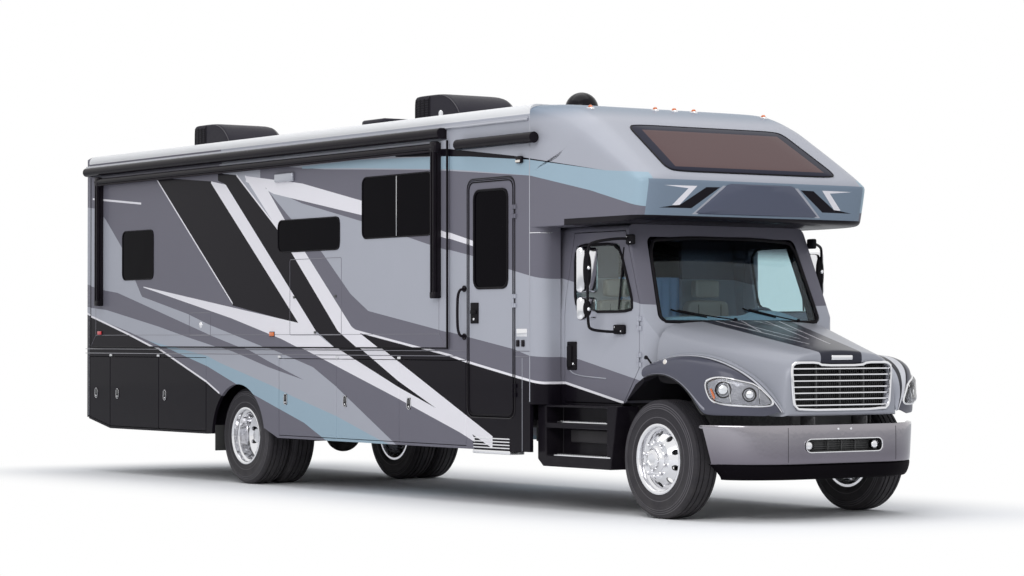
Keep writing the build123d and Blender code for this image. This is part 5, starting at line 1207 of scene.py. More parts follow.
    def small_parts(self, skins: dict[Side, Skin]) -> None:
        """Catches, fender marker lamps and the plain bar over the grille."""
        for side in Side:
            catch = Shape()
            a, b = both(((4.50, 1.02, 1.30), (4.62, 1.168, 1.352)), side)
            catch.tube([a, tuple(Vector(a).lerp(Vector(b), 0.5) + Vector((0, 0.012 * side.value, 0.02))),
                        b], 0.009, 10)
            catch.ball(b, 0.018, (1.2, 0.8, 1.0), 16)
            catch.piece(f"bonnet_catch_{side.word}", "hood", SEAL)
            spot = skins[side].lay(both([(4.86, 1.165, 1.32)], side), 0.0)[0]
            lamp = Shape().ball(spot, 0.022, (1.0, 0.45, 1.0), 24)
            lamp.piece(f"fender_marker_{side.word}", "hood", AMBER_CLEAR)
            ring = [(spot[0] + 0.024 * math.cos(k * math.tau / 20), spot[1],
                     spot[2] + 0.024 * math.sin(k * math.tau / 20)) for k in range(21)]
            Shape().tube(ring, 0.004, 8).piece(f"fender_marker_rim_{side.word}", "hood", CHROME)
        plate = Shape().box((5.768, -0.115, 1.332), (5.786, 0.115, 1.372), 0.008, 3)
        plate.piece("bonnet_bar", "hood", CHROME)

    def build(self) -> None:
        """Build the bonnet."""
        as_piece(self.skin(), "hood", BONNET_PAINT, ("hood",))
        skins = {}
        for side in Side:
            fender = as_piece(self.fender_skin(side), "hood", FENDER_PAINT, ("hood",))
            skins[side] = Skin(fender)
            self.liner(side)
            self.lamp_pieces(side, skins[side])
        self.grille_pieces()
        self.small_parts(skins)


# ------------------------------------------------------------------------------ the cap
@dataclass
class Cap:
    """Front cap over the cab, with its window, raised panel and lamps."""

    half: float = 1.2825
    profile: tuple[Pair, ...] = ((3.082, 2.5), (3.9, 2.5), (4.5, 2.502), (4.635, 2.512), (4.668, 2.535),
                                 (4.68, 2.565), (4.705, 2.68), (4.738, 2.835), (4.736, 2.86), (4.70, 2.905),
                                 (4.63, 2.952), (4.3, 3.16), (3.96, 3.37), (3.88, 3.42), (3.7, 3.505),
                                 (3.5, 3.568), (3.3, 3.594), (3.082, 3.6))
    inner: Pair = (3.6, 2.95)
    stations: tuple[tuple[float, float], ...] = ((0.0, 0.0), (0.6, 0.0), (0.95, 0.001), (1.08, 0.006),
                                                 (1.17, 0.03), (1.235, 0.075), (1.27, 0.13), (1.2825, 0.2),
                                                 (1.2825, 0.34))
    pane_top: tuple[float, float] = (3.372, 0.865)
    pane_bottom: tuple[float, float] = (2.935, 0.945)

    def row(self, y: float, inset: float) -> list[Point]:
        """Profile at a distance across, drawn in where the corner is round."""
        points = []
        for x, z in self.profile:
            away = Vector((max(x - self.inner[0], 0.0), 0.35 * (z - self.inner[1]) if z > self.inner[1]
                           else 0.0))
            if away.length:
                away = away.normalized() * inset
            nearer = 0.62 if z < 2.9 else 1.0
            drop = 1.5 * min(0.22 + (x - self.profile[0][0]) * 1.2, 1.0)
            points.append((x - away.x * nearer, y, z - away.y * drop))
        return points

    def skin(self) -> bpy.types.Object:
        """The cap's shell."""
        rows = [self.row(-y, inset) for y, inset in reversed(self.stations[1:])]
        rows += [self.row(y, inset) for y, inset in self.stations]
        shape = Shape().shell(rows)
        obj = shape.object("cap_skin", 50.0)
        soften(obj, 2)
        return obj

    def slope_x(self, z: float) -> float:
        """X of the sloped face at a height."""
        (x0, z0), (x1, z1) = self.profile[10], self.profile[12]
        return x0 + (x1 - x0) * (z - z0) / (z1 - z0)

    def window(self, skin: Skin) -> None:
        """Pane laid on the sloped face."""
        (top_z, top_y), (low_z, low_y) = self.pane_top, self.pane_bottom
        corners = [(self.slope_x(top_z), -top_y, top_z), (self.slope_x(top_z), top_y, top_z),
                   (self.slope_x(low_z), low_y, low_z), (self.slope_x(low_z), -low_y, low_z)]
        ring = []
        for a, b in zip(corners, (*corners[1:], corners[0])):
            ring += [tuple(Vector(a).lerp(Vector(b), s)) for s in (0.05, 0.3, 0.5, 0.7, 0.95)]
        ring = rounded(ring, 0.25, 2)
        rows = [skin.lay(ring, -0.004), skin.lay(ring, 0.006), skin.lay(ring_toward(ring, 0.03), 0.009)]
        rows += [skin.lay(ring_toward(ring, share), 0.009) for share in (0.3, 0.6, 0.85)]
        shape = Shape().loft(rows, closed=True)
        bmesh.ops.holes_fill(shape.bm, edges=[e for e in shape.bm.edges if e.is_boundary][-len(ring):],
                             sides=0)
        shape.close_ends()
        shape.piece("cap_pane", "coach", CAP_PANE, replaces=("overcab_window",))
        Shape().loop(skin.lay(ring, 0.003), 0.009, 8).piece("cap_pane_seal", "coach", SEAL)

    def front_parts(self, skin: Skin) -> None:
        """Raised plain panel on the front and the five roof marker lamps."""
        corners = [(4.735, -0.36, 2.838), (4.735, 0.36, 2.838), (4.68, 0.69, 2.575), (4.68, -0.69, 2.575)]
        ring = []
        for a, b in zip(corners, (*corners[1:], corners[0])):
            ring += [tuple(Vector(a).lerp(Vector(b), s)) for s in (0.04, 0.35, 0.65, 0.96)]
        rows = [skin.lay(ring, -0.002), skin.lay(ring, 0.005), skin.lay(ring_toward(ring, 0.05), 0.012),
                skin.lay(ring_toward(ring, 0.5), 0.014), skin.lay(ring_toward(ring, 0.85), 0.014)]
        shape = Shape().loft(rows, closed=True)
        shape.close_ends()
        shape.piece("cap_panel", "coach", PANEL_PAINT)
        for index, (x, y) in enumerate(((3.58, -0.987), (3.51, -0.22), (3.505, 0.0), (3.51, 0.22),
                                        (3.58, 0.987))):
            spot = skin.lay([(x, y, 3.56)], 0.0)[0]
            base = Shape().box((spot[0] - 0.045, spot[1] - 0.02, spot[2] - 0.02),
                               (spot[0] + 0.05, spot[1] + 0.02, spot[2] + 0.008), 0.008, 3)
            base.piece(f"cap_marker_base_{index + 1}", "coach", CHROME)
            lamp = Shape().ball((spot[0] + 0.012, spot[1], spot[2] + 0.012), 0.017, (1.6, 0.9, 1.0), 20)
            lamp.piece(f"cap_marker_{index + 1}", "coach", AMBER)

    def columns(self) -> None:
        """Rounded columns beside the cab, and the wall behind it with its opening."""
        low, high = (3.08, 1.058, 0.93), (3.235, self.half, 2.5)
        for side in Side:
            shape = Shape().box(low, high)
            corner = [e for e in shape.bm.edges
                      if all(v.co.x > high[0] - 0.001 and v.co.y > high[1] - 0.001 for v in e.verts)]
            shape.round_edges(corner, 0.13, 8)
            shape.flip_side(Side.LEFT if side is Side.RIGHT else Side.RIGHT)
            shape.piece(f"column_{side.word}", "coach", PAINT)
            trim = [(3.082, 1.284, 2.45), (3.105, 1.284, 2.45), (3.15, 1.277, 2.45), (3.2, 1.247, 2.45),
                    (3.232, 1.2, 2.45), (3.237, 1.15, 2.45)]
            Shape().tube(both(trim, side), 0.004, 8).piece(f"column_trim_{side.word}", "coach", ALLOY)
        wall = Shape()
        wall.box((3.08, -1.06, 2.44), (3.115, 1.06, 2.5), 0.003)
        wall.box((3.08, -1.06, 1.34), (3.115, 1.06, 1.4), 0.003)
        for y in (-1, 1):
            wall.box((3.08, y * 1.06, 1.4), (3.115, y * 0.42, 2.44), 0.003)
        wall.piece("cab_bulkhead", "coach", CAB_TRIM)

    def build(self) -> None:
        """Build the cap."""
        skin = Skin(as_piece(self.skin(), "coach", CAP_PAINT, ("overcab_cap",)))
        self.window(skin)
        self.front_parts(skin)
        self.columns()


def soft_copy(frame_nodes: dict[str, bpy.types.Object], node: str, body: str, finish: Finish, slot: str,
              radius: float) -> bpy.types.Object:
    """Copy of a CAD node with small rounded edges, standing for the node.

    Args:
        frame_nodes: CAD nodes by name.
        node: Node to copy.
        body: Body that it rides on.
        finish: Finish of the copy.
        slot: The record's material slot; passed on, but not used.
        radius: Radius of the edges.

    Returns:
        The copy.
    """
    shape = Shape()
    shape.bm.from_mesh(frame_nodes[node].data)
    bmesh.ops.remove_doubles(shape.bm, verts=shape.bm.verts, dist=1e-5)
    bmesh.ops.dissolve_limit(shape.bm, angle_limit=math.radians(1.0), verts=shape.bm.verts,
                             edges=shape.bm.edges)
    obj = shape.piece(f"{node}_shell", body, finish, slot, (node,), smooth=45.0)
    bevel = obj.modifiers.new("edges", "BEVEL")
    bevel.width = radius
    bevel.segments = 2
    bevel.limit_method = "ANGLE"
    bevel.angle_limit = math.radians(28.0)
    return obj


SCREEN_RAKE = 0.394
SCREEN_FOOT = 1.705
SCREEN_CURVE = 16.0
WINDOW_BACK = 0.28


def widen_screen(obj: bpy.types.Object) -> None:
    """Move the edge of the windscreen's opening, or of its glass, out along the raked front."""
    for vert in obj.data.vertices:
        x, y, z = vert.co
        if x < 4.1 or abs(y) > 0.87 or not 1.69 < z < 2.4:
            continue
        share = (z - SCREEN_FOOT) / 0.68
        wide = y * (1.062 - 0.024 * share)
        rise = -0.052 * (1 - share) + 0.008 * share
        vert.co = (x - SCREEN_RAKE * rise - (wide * wide - y * y) / SCREEN_CURVE, wide, z + rise)


def widen_window(obj: bpy.types.Object) -> None:
    """Move the rear edge of a door window's opening, or of its glass, back."""
    for vert in obj.data.vertices:
        if 3.6 < vert.co.x < 3.97 and 1.7 < vert.co.z < 2.38:
            vert.co.x -= WINDOW_BACK


# -------------------------------------------------------------------------------- mirrors
@dataclass
class Mirrors:
    """Main and wide-angle mirrors on a bent tube at each door."""

    arm_x: float = 4.003
    arm_y: float = 1.325
    head: tuple[Point, Point] = ((3.9, 1.185, 1.905), (3.985, 1.388, 2.3))
    wide: tuple[Point, Point] = ((3.905, 1.195, 1.668), (3.985, 1.388, 1.872))

    def build(self) -> None:
        """Build both."""
        for side in Side:
            body, word = f"cab_door_{side.word}", side.word
            shell = Shape()
            for low, high in (self.head, self.wide):
                shell.box(*both((low, high), side), radius=0.036, segments=5)
            shell.piece(f"mirror_shell_{word}", body, CHROME, replaces=(f"mirror_{word}",))
            glass = Shape()
            for low, high in (self.head, self.wide):
                a, b = both((low, high), side)
                glass.box((a[0] - 0.006, a[1] + 0.022 * side.value, a[2] + 0.022),
                          (a[0] + 0.002, b[1] - 0.022 * side.value, b[2] - 0.022), 0.003)
            glass.piece(f"mirror_glass_{word}", body, MIRROR_GLASS)
            arm = [(4.215, 1.03, 2.37), (4.14, 1.12, 2.372), (4.04, 1.28, 2.345),
                   (self.arm_x, self.arm_y, 2.31), (self.arm_x, self.arm_y, 2.0),
                   (self.arm_x, self.arm_y, 1.63), (4.02, 1.30, 1.585), (4.08, 1.15, 1.57),
                   (4.12, 1.07, 1.57)]
            frame = Shape().tube(both(rounded_path(arm), side), 0.0125, 12)
            for z, size in ((2.105, 3.6), (1.77, 1.6)):
                frame.ball(both([(3.993, 1.318, z)], side)[0], 0.043, (0.36, 0.95, size), 24)
            for low, high in (((4.165, 1.0, 2.318), (4.265, 1.045, 2.408)),
                              ((4.04, 1.045, 1.548), (4.19, 1.088, 1.632))):
                frame.box(*both((low, high), side), radius=0.016, segments=3)
            frame.piece(f"mirror_frame_{word}", body, SEAL)
            bolts = Shape()
            for z in (2.12, 1.765):
                bolts.ball(both([(4.012, 1.318, z)], side)[0], 0.019, (0.7, 1.0, 1.0), 16)
            for x, y, z in ((4.19, 1.048, 2.385), (4.24, 1.048, 2.34), (4.07, 1.09, 1.61),
                            (4.16, 1.09, 1.575)):
                bolts.ball(both([(x, y, z)], side)[0], 0.008, (1.0, 0.6, 1.0), 10)
            bolts.piece(f"mirror_bolts_{word}", body, ALLOY)


def rounded_path(points: Sequence[Point], cut: float = 0.25, times: int = 2) -> list[Point]:
    """An open run of points with its bends cut round, ends kept."""
    path = [Vector(p) for p in points]
    for _ in range(times):
        finer = [path[0]]
        for a, b in zip(path, path[1:]):
            finer += [a.lerp(b, cut), a.lerp(b, 1 - cut)]
        path = [*finer, path[-1]]
    return [tuple(p) for p in path]


# ----------------------------------------------------------------------------------- cab
@dataclass(frozen=True)
class ScreenGlass(Glass):
    """Windscreen glass with a black edge, a dark band at the top and a cool tint."""

    edge: tuple[float, float, float, float] = (0.84, 0.885, 1.67, 2.37)
    band_z: float = 2.24
    band: Colour = (0.12, 0.14, 0.17)
    border: Colour = (0.004, 0.004, 0.005)

    def base_colour(self, t: Tree, place: bpy.types.NodeSocket) -> object:
        """Tint with the painted edge and the shade band."""
        xyz = t.xyz(place)
        top_half, low_half, low, high = self.edge
        half = t.ramp(xyz[2], low, high, low_half, top_half - 0.03)
        side = t.below(t.maths("ABSOLUTE", xyz[1]), half)
        level = t.times(t.above(xyz[2], low), t.below(xyz[2], high))
        shade = t.ramp(xyz[2], self.band_z - 0.05, self.band_z + 0.05)
        tint = t.blend(shade, rgba(self.colour), rgba(self.band))
        return t.blend(t.times(side, level), rgba(self.border), tint)


SCREEN = ScreenGlass("windscreen_glass", (0.62, 0.78, 0.86), 0.01, mottle=0.01, mottle_scale=2.0, ior=1.25)
MIRROR_GLASS = Finish("mirror_silver", (0.5, 0.55, 0.6), 0.03, 1.0, 0.0, 0.01, 3.0, slot="chrome")
DASH = Finish("dashboard_skin", (0.31, 0.42, 0.48), 0.65, 0.0, 0.0, 0.08, 9.0, 420.0, 0.0008, specular=0.3,
              slot="cab_plastic")
# Pale blue of the cab curtain: painted reflection, standing in for the steel-blue sheen seen on the
# windscreen in front of it.
CURTAIN = Finish("cab_curtain", (0.38, 0.54, 0.8), 0.8, 0.0, 0.0, 0.08, 12.0, 500.0, 0.001, specular=0.1,
                 slot="cab_plastic")


@dataclass
class Cab:
    """Cab's shell, doors, glass and seals, with its wipers, steps, dash pad, curtain and seats."""

    nodes: dict[str, bpy.types.Object] = field(default_factory=dict)
    window: tuple[Pair, ...] = ((3.38, 2.335), (4.02, 2.335), (4.255, 1.87), (4.275, 1.745), (3.445, 1.745))
    screen: tuple[Pair, ...] = ((0.905, 1.653), (0.82, 2.393))
    belt: float = 1.72
    roof: float = 2.5

    def wall_y(self, z: float) -> float:
        """Cab side's distance from the centre line at a height."""
        return 1.05 - 0.065 * max(0.0, (z - self.belt) / (self.roof - self.belt))

    def door_parts(self, side: Side) -> None:
        """Window rubber, divider, handle and the pressed line of one door."""
        body, word = f"cab_door_{side.word}", side.word
        widen_window(soft_copy(self.nodes, f"cab_door_{word}", body, PAINT, "hood_paint", 0.004))
        widen_window(soft_copy(self.nodes, f"cab_glass_{word}", body, CAB_GLASS, "clear_glass", 0.001))
        outline = rounded([(x, self.wall_y(z) + 0.003, z) for x, z in self.window], 0.14, 2)
        ring = both(outline, side)
        rubber = Shape().loop(ring, 0.0135, 10)
        rubber.tube(both([(4.095, self.wall_y(2.31), 2.3), (4.075, self.wall_y(1.76), 1.76)], side), 0.009,
                    10)
        rubber.piece(f"door_rubber_{word}", body, SEAL)
        handle = Shape().box(*both(((3.335, 1.045, 1.235), (3.47, 1.066, 1.485)), side), radius=0.03,
                             segments=4)
        handle.box(*both(((3.352, 1.06, 1.26), (3.42, 1.083, 1.45)), side), radius=0.012, segments=3)
        handle.piece(f"door_handle_{word}", body, SEAL)
        lock = Shape().ball(both([(3.43, 1.067, 1.29)], side)[0], 0.013, (1, 0.5, 1), 16)
        lock.piece(f"door_lock_{word}", body, ALLOY)
        line = [(3.318, 1.052, 1.36), (3.33, 1.052, 1.28), (3.37, 1.052, 1.225), (3.45, 1.052, 1.195),
                (3.62, 1.052, 1.178), (3.9, 1.051, 1.165)]
        Shape().tube(both(rounded_path(line), side), 0.0055, 8).piece(f"door_swage_{word}", body,
                                                                      SILVER_PAINT)

    def pillar_trim(self, side: Side) -> None:
        """Padded cover on the inside of one windscreen pillar."""
        path = both(((4.375, 0.905, 1.66), (4.24, 0.89, 2.02), (4.09, 0.85, 2.4)), side)
        Shape().tube(rounded_path(path), 0.045, 12).piece(f"pillar_trim_{side.word}", "coach", SEAL,
                                                          "cab_plastic")

    def dash_pad(self) -> None:
        """Padded top of the dashboard, with the hood over the driver's instruments."""
        rings = []
        for y, rise in ((-0.85, -0.06), (-0.8, 0.0), (-0.4, 0.012), (0.1, 0.012), (0.24, 0.02), (0.34, 0.07),
                        (0.62, 0.07), (0.74, 0.02), (0.8, 0.0), (0.85, -0.06)):
            back = 4.47 - y * y / SCREEN_CURVE
            section = ((4.11, 1.6), (4.11, 1.65 + rise), (4.15, 1.69 + rise), (4.25, 1.7 + rise),
                       (back - 0.08, 1.675 + 0.3 * rise), (back - 0.02, 1.64), (back, 1.6))
            rings.append([(x, y, z) for x, z in section])
        shape = Shape().loft(rings, closed=True)
        shape.close_ends()
        shape.piece("dash_pad", "coach", DASH, subdivide=2)

    def screen_parts(self) -> None:
        """Rubber round the windscreen, wipers and the cowl's grille."""
        glass = soft_copy(self.nodes, "windshield", "coach", SCREEN, "clear_glass", 0.001)
        widen_screen(glass)
        skin = Skin(glass)
        (low_y, low_z), (top_y, top_z) = self.screen
        corners = [(low_y, low_z), (low_y * 0.5, low_z - 0.008), (-low_y * 0.5, low_z - 0.008),
                   (-low_y, low_z), (-top_y, top_z), (-top_y * 0.5, top_z + 0.014),
                   (top_y * 0.5, top_z + 0.014), (top_y, top_z)]
        ring = rounded([(4.55 - SCREEN_RAKE * (z - SCREEN_FOOT), y, z) for y, z in corners], 0.12, 2)
        ring = skin.lay(ring, 0.004)
        Shape().loop(ring, 0.016, 12).piece("screen_rubber", "coach", SEAL)
        wipers = Shape()
        for base, far in ((-0.12, -0.72), (0.62, 0.06)):
            arm = skin.lay([(4.6, base, 1.70), (4.6, (base + far) / 2, 1.745), (4.58, far, 1.80)], 0.022)
            wipers.tube(rounded_path(arm), 0.006, 8)
            blade = skin.lay([(4.6, far + 0.3, 1.735), (4.58, far, 1.79), (4.57, far - 0.06, 1.81)], 0.011)
            wipers.tube(rounded_path(blade), 0.008, 8)
            wipers.ball(arm[0], 0.02, (1, 1, 1), 14)
        wipers.piece("wipers", "coach", SEAL)
        cowl = Shape()
        for index in range(12):
            y = -0.66 + index * 0.12
            x = 4.512 - 0.05 * (y / 0.8) ** 2
            cowl.box((x - 0.012, y - 0.05, 1.657), (x + 0.008, y + 0.05, 1.668), 0.003)
        cowl.piece("cowl_vents", "coach", PLASTIC)

    def curtain(self) -> None:
        """Folded curtain that closes the lower part of the opening behind the seats."""
        rows = []
        for z in (1.32, 1.5, 1.7, 1.9, 2.07):
            rows.append([(3.14 + 0.012 * math.sin(k * 1.05), -0.98 + 1.96 * k / 120, z) for k in range(121)])
        shape = Shape().loft(rows)
        # The curtain's pale blue, seen through the windscreen, is painted reflection of the sky.
        cloth = shape.piece("cab_curtain", "coach", CURTAIN)
        thicken(cloth, 0.003)

    def steps(self) -> None:
        """Polished tread edges and plates of the cab steps."""
        for side in Side:
            treads = Shape()
            for z, y in ((0.772, 1.165), (0.482, 1.2)):
                treads.box(*both(((3.33, y - 0.12, z), (4.16, y + 0.004, z + 0.012)), side), radius=0.004)
                for index in range(22):
                    x = 3.36 + index * 0.036
                    treads.box(*both(((x, y - 0.105, z + 0.012), (x + 0.012, y - 0.015, z + 0.016)), side),
                               radius=0.001)
            treads.piece(f"step_treads_{side.word}", "coach", ALLOY, "polished_alloy")
            panel = Shape().box(*both(((3.41, 1.04, 0.6), (4.1, 1.075, 0.715)), side), radius=0.01,
                                segments=3)
            panel.piece(f"step_back_{side.word}", "coach", STEP_GREY, "black_plastic")

    def seat(self, side: Side) -> None:
        """One seat: base, cushion, back, head rest and seams."""
        y = 0.5 * side.value
        base = Shape().box((3.34, y - 0.2, 1.05), (3.78, y + 0.2, 1.26), 0.02)
        base.box((3.3, y - 0.23, 1.255), (3.82, y + 0.23, 1.285), 0.01)
        base.piece(f"seat_base_{side.word}", "coach", CAB_TRIM, replaces=("cab_seats",))
        pads = {"cushion": ((3.33, y - 0.25, 1.29), (3.85, y + 0.25, 1.42)),
                "back": ((3.285, y - 0.24, 1.40), (3.40, y + 0.24, 1.86)),
                "headrest": ((3.29, y - 0.14, 1.885), (3.38, y + 0.14, 2.045))}
        for name, (low, high) in pads.items():
            shape = Shape().box(low, high)
            bmesh.ops.subdivide_edges(shape.bm, edges=shape.bm.edges, cuts=4, use_grid_fill=True)
            bmesh.ops.smooth_vert(shape.bm, verts=shape.bm.verts, factor=0.5, use_axis_x=True,
                                  use_axis_y=True, use_axis_z=True)
            pad = shape.piece(f"seat_{name}_{side.word}", "coach", LEATHER, replaces=("cab_seats",),
                              subdivide=2, smooth=80.0)
        seams = Shape()
        for dy in (-0.13, 0.13):
            seams.tube([(3.36, y + dy, 1.425), (3.84, y + dy, 1.422)], 0.003, 6)
            seams.tube([(3.402, y + dy, 1.45), (3.403, y + dy, 1.82)], 0.003, 6)
        seams.piece(f"seat_seams_{side.word}", "coach", SEAL, "seat_leather")

    def build(self) -> None:
        """Build the cab's fittings."""
        for side in Side:
            self.door_parts(side)
            self.pillar_trim(side)
            self.seat(side)
        self.screen_parts()
        self.dash_pad()
        self.steps()
        self.curtain()
        widen_screen(soft_copy(self.nodes, "cab_shell", "coach", PAINT, "body_silver", 0.012))
        soft_copy(self.nodes, "cab_steps", "coach", BLACK_PAINT, "body_black", 0.008)


# -------------------------------------------------------------------------------- wheels
@dataclass(frozen=True)
class TreadRubber(Finish):
    """Tyre rubber with sipes across the tread and fine rings on the side wall."""

    axles: Pair = (4.79, -2.22)
    hub_z: float = 0.5
    blocks: float = 76.0
    worn: tuple[float, ...] = (0.352, 0.428, 0.445, 0.462)
    worn_half: float = 0.0028
    worn_colour: Colour = (0.11, 0.105, 0.115)
    tread_radius: float = 0.472
    ring_pitch: float = 420.0

    def around(self, t: Tree, xyz: bpy.types.NodeOutputs) -> tuple[object, object, object]:
        """Distances ahead of and above the nearest axle, and the radius from it."""
        front = t.above(xyz[0], 1.0)
        axle = t.plus(t.times(front, self.axles[0] - self.axles[1]), self.axles[1])
        dx = t.minus(xyz[0], axle)
        dz = t.minus(xyz[2], self.hub_z)
        return dx, dz, t.maths("SQRT", t.plus(t.maths("POWER", dx, 2.0), t.maths("POWER", dz, 2.0)))

    def base_colour(self, t: Tree, place: bpy.types.NodeSocket) -> object:
        """Rubber with rings scuffed paler on the side wall."""
        radius = self.around(t, t.xyz(place))[2]
        colour: object = rgba(self.colour)
        for ring in self.worn:
            off = t.maths("ABSOLUTE", t.minus(radius, ring))
            colour = t.blend(t.below(off, self.worn_half), colour, rgba(self.worn_colour))
        return colour

    def extra(self, t: Tree, shader: bpy.types.Node) -> None:
        """Raise the tread blocks and rings."""
        place = t.add("ShaderNodeTexCoord").outputs["Object"]
        xyz = t.xyz(place)
        dx, dz, radius = self.around(t, xyz)
        angle = t.times(t.maths("ARCTAN2", dz, dx), self.blocks)
        zigzag = t.times(t.maths("PINGPONG", xyz[1], 0.02), 60.0)
        sipes = t.below(t.maths("SINE", t.plus(angle, zigzag)), 0.75)
        outer = t.above(radius, self.tread_radius)
        cut = t.times(t.minus(1.0, sipes), outer)
        rings = t.times(t.maths("SINE", t.times(radius, self.ring_pitch)), 0.12)
        height = t.minus(t.times(rings, t.minus(1.0, outer)), cut)
        bump = t.add("ShaderNodeBump", {"Height": height, "Strength": 0.8, "Distance": 0.004})
        t.feed(shader.inputs["Normal"], bump.outputs[0])


TREAD = TreadRubber("tyre_tread", (0.03, 0.028, 0.033), 0.55, 0.0, 0.0, 0.22, 12.0, dust=0.15, dust_top=1.0,
                    specular=0.12, slot="tyre_rubber")


@dataclass
class Wheels:
    """Tyres, nuts, hubs and rim rings."""

    front_x: float = 4.79
    rear_x: float = -2.22
    hub_z: float = 0.5
    front_y: float = 1.04
    rear_y: Pair = (1.058, 0.758)
    nut_circle: float = 0.143
    rim_edge_y: float = 0.128
    rim_edge: tuple[Pair, ...] = ((0.268, -0.004), (0.276, 0.006), (0.288, 0.009), (0.298, 0.006),
                                  (0.302, -0.006), (0.27, -0.012), (0.268, -0.004))
    tyre_half: tuple[Pair, ...] = (
        (0.29, 0.112), (0.298, 0.122), (0.308, 0.129), (0.322, 0.1315), (0.326, 0.134), (0.345, 0.1355),
        (0.35, 0.134), (0.395, 0.137), (0.418, 0.1365), (0.422, 0.1385), (0.428, 0.136), (0.452, 0.131),
        (0.472, 0.123), (0.486, 0.115), (0.495, 0.106), (0.4975, 0.095), (0.499, 0.082), (0.486, 0.080),
        (0.486, 0.071), (0.4995, 0.069), (0.5, 0.037), (0.487, 0.035), (0.487, 0.026), (0.5, 0.024))

    def tyre(self, shape: Shape, x: float, y: float) -> None:
        """One tyre of revolution with ribs and grooves."""
        half = list(self.tyre_half)
        ring = [(r, -a) for r, a in half] + [(r, a) for r, a in reversed(half)]
        shape.lathe([*ring, ring[0]], (x, y, self.hub_z), 96)

    def nuts(self, shape: Shape, x: float, y: float, side: Side, count: int = 10,
             size: float = 0.0185) -> None:
        """Ring of wheel nuts with washers and round caps."""
        for index in range(count):
            turn = (index + 0.5) * math.tau / count
            px, pz = x + self.nut_circle * math.cos(turn), self.hub_z + self.nut_circle * math.sin(turn)
            out = side.value
            shape.rod((px, y, pz), (px, y + 0.006 * out, pz), size * 1.25, 16)
            shape.rod((px, y + 0.006 * out, pz), (px, y + 0.03 * out, pz), size, 6, size * 0.92)
            shape.ball((px, y + 0.03 * out, pz), size * 0.8, (1.0, 0.8, 1.0), 10)

    def hub(self, shape: Shape, x: float, y: float, side: Side, profile: Sequence[Pair]) -> None:
        """Turned hub cover, from its rim out to its end."""
        shape.lathe([(r, a * side.value) for r, a in profile], (x, y, self.hub_z), 48)

    def front(self, side: Side) -> None:
        """Front wheel of one side."""
        word, out = side.word, side.value
        body, y = f"front_wheel_{word}", self.front_y * out
        tyre = Shape()
        self.tyre(tyre, self.front_x, y)
        tyre.piece(f"front_tread_{word}", body, TREAD, replaces=(f"front_tyre_{word}",), smooth=30.0)
        parts = Shape()
        self.nuts(parts, self.front_x, y + 0.148 * out, side)
        self.hub(parts, self.front_x, y + 0.15 * out, side,
                 ((0.112, 0.0), (0.112, 0.006), (0.098, 0.012), (0.086, 0.022), (0.08, 0.034), (0.078, 0.044),
                  (0.066, 0.049), (0.062, 0.052), (0.05, 0.054), (0.046, 0.049), (0.03, 0.048), (0.0, 0.048)))
        for index in range(8):
            turn = index * math.tau / 8
            spot = (self.front_x + 0.071 * math.cos(turn), y + 0.194 * out,
                    self.hub_z + 0.071 * math.sin(turn))
            parts.ball(spot, 0.0075, (1.0, 0.8, 1.0), 10)
        parts.piece(f"front_hub_{word}", body, CHROME)
        ring = Shape()
        self.hub(ring, self.front_x, y + self.rim_edge_y * out, side, self.rim_edge)
        ring.piece(f"front_rim_edge_{word}", body, ALLOY, "polished_alloy")

    def rear(self, side: Side) -> None:
        """Rear pair of one side."""
        word, out = side.word, side.value
        body = f"rear_wheel_{word}"
        tyres = Shape()
        for y in self.rear_y:
            self.tyre(tyres, self.rear_x, y * out)
        tyres.piece(f"rear_treads_{word}", body, TREAD, replaces=(f"rear_tyres_{word}",), smooth=30.0)
        parts = Shape()
        self.nuts(parts, self.rear_x, 0.93 * out, side)
        self.hub(parts, self.rear_x, 0.93 * out, side, ((0.108, 0.0), (0.108, 0.01), (0.1, 0.018),
                                                        (0.094, 0.08), (0.09, 0.092), (0.06, 0.1),
                                                        (0.055, 0.112), (0.0, 0.114)))
        for index in range(8):
            turn = (index + 0.5) * math.tau / 8
            spot = (self.rear_x + 0.08 * math.cos(turn), 1.024 * out, self.hub_z + 0.08 * math.sin(turn))
            parts.ball(spot, 0.008, (1.0, 0.7, 1.0), 10)
        parts.piece(f"rear_hub_{word}", body, CHROME)
        ring = Shape()
        self.hub(ring, self.rear_x, (self.rear_y[0] + self.rim_edge_y) * out, side, self.rim_edge)
        ring.piece(f"rear_rim_edge_{word}", body, ALLOY, "polished_alloy")

    def build(self) -> None:
        """Build all wheels."""
        for side in Side:
            self.front(side)
            self.rear(side)


# ----------------------------------------------------------------------------- side trims
def frame_points(x0: float, x1: float, z0: float, z1: float, y: float, corner: float) -> list[Point]:
    """Rectangle with round corners in a plane of constant y."""
    points = []
    for cx, cz, start in ((x1 - corner, z1 - corner, 0), (x0 + corner, z1 - corner, 1),
                          (x0 + corner, z0 + corner, 2), (x1 - corner, z0 + corner, 3)):
        for step in range(5):
            turn = (start + step / 4) * math.pi / 2
            points.append((cx + corner * math.cos(turn), y, cz + corner * math.sin(turn)))
    return points


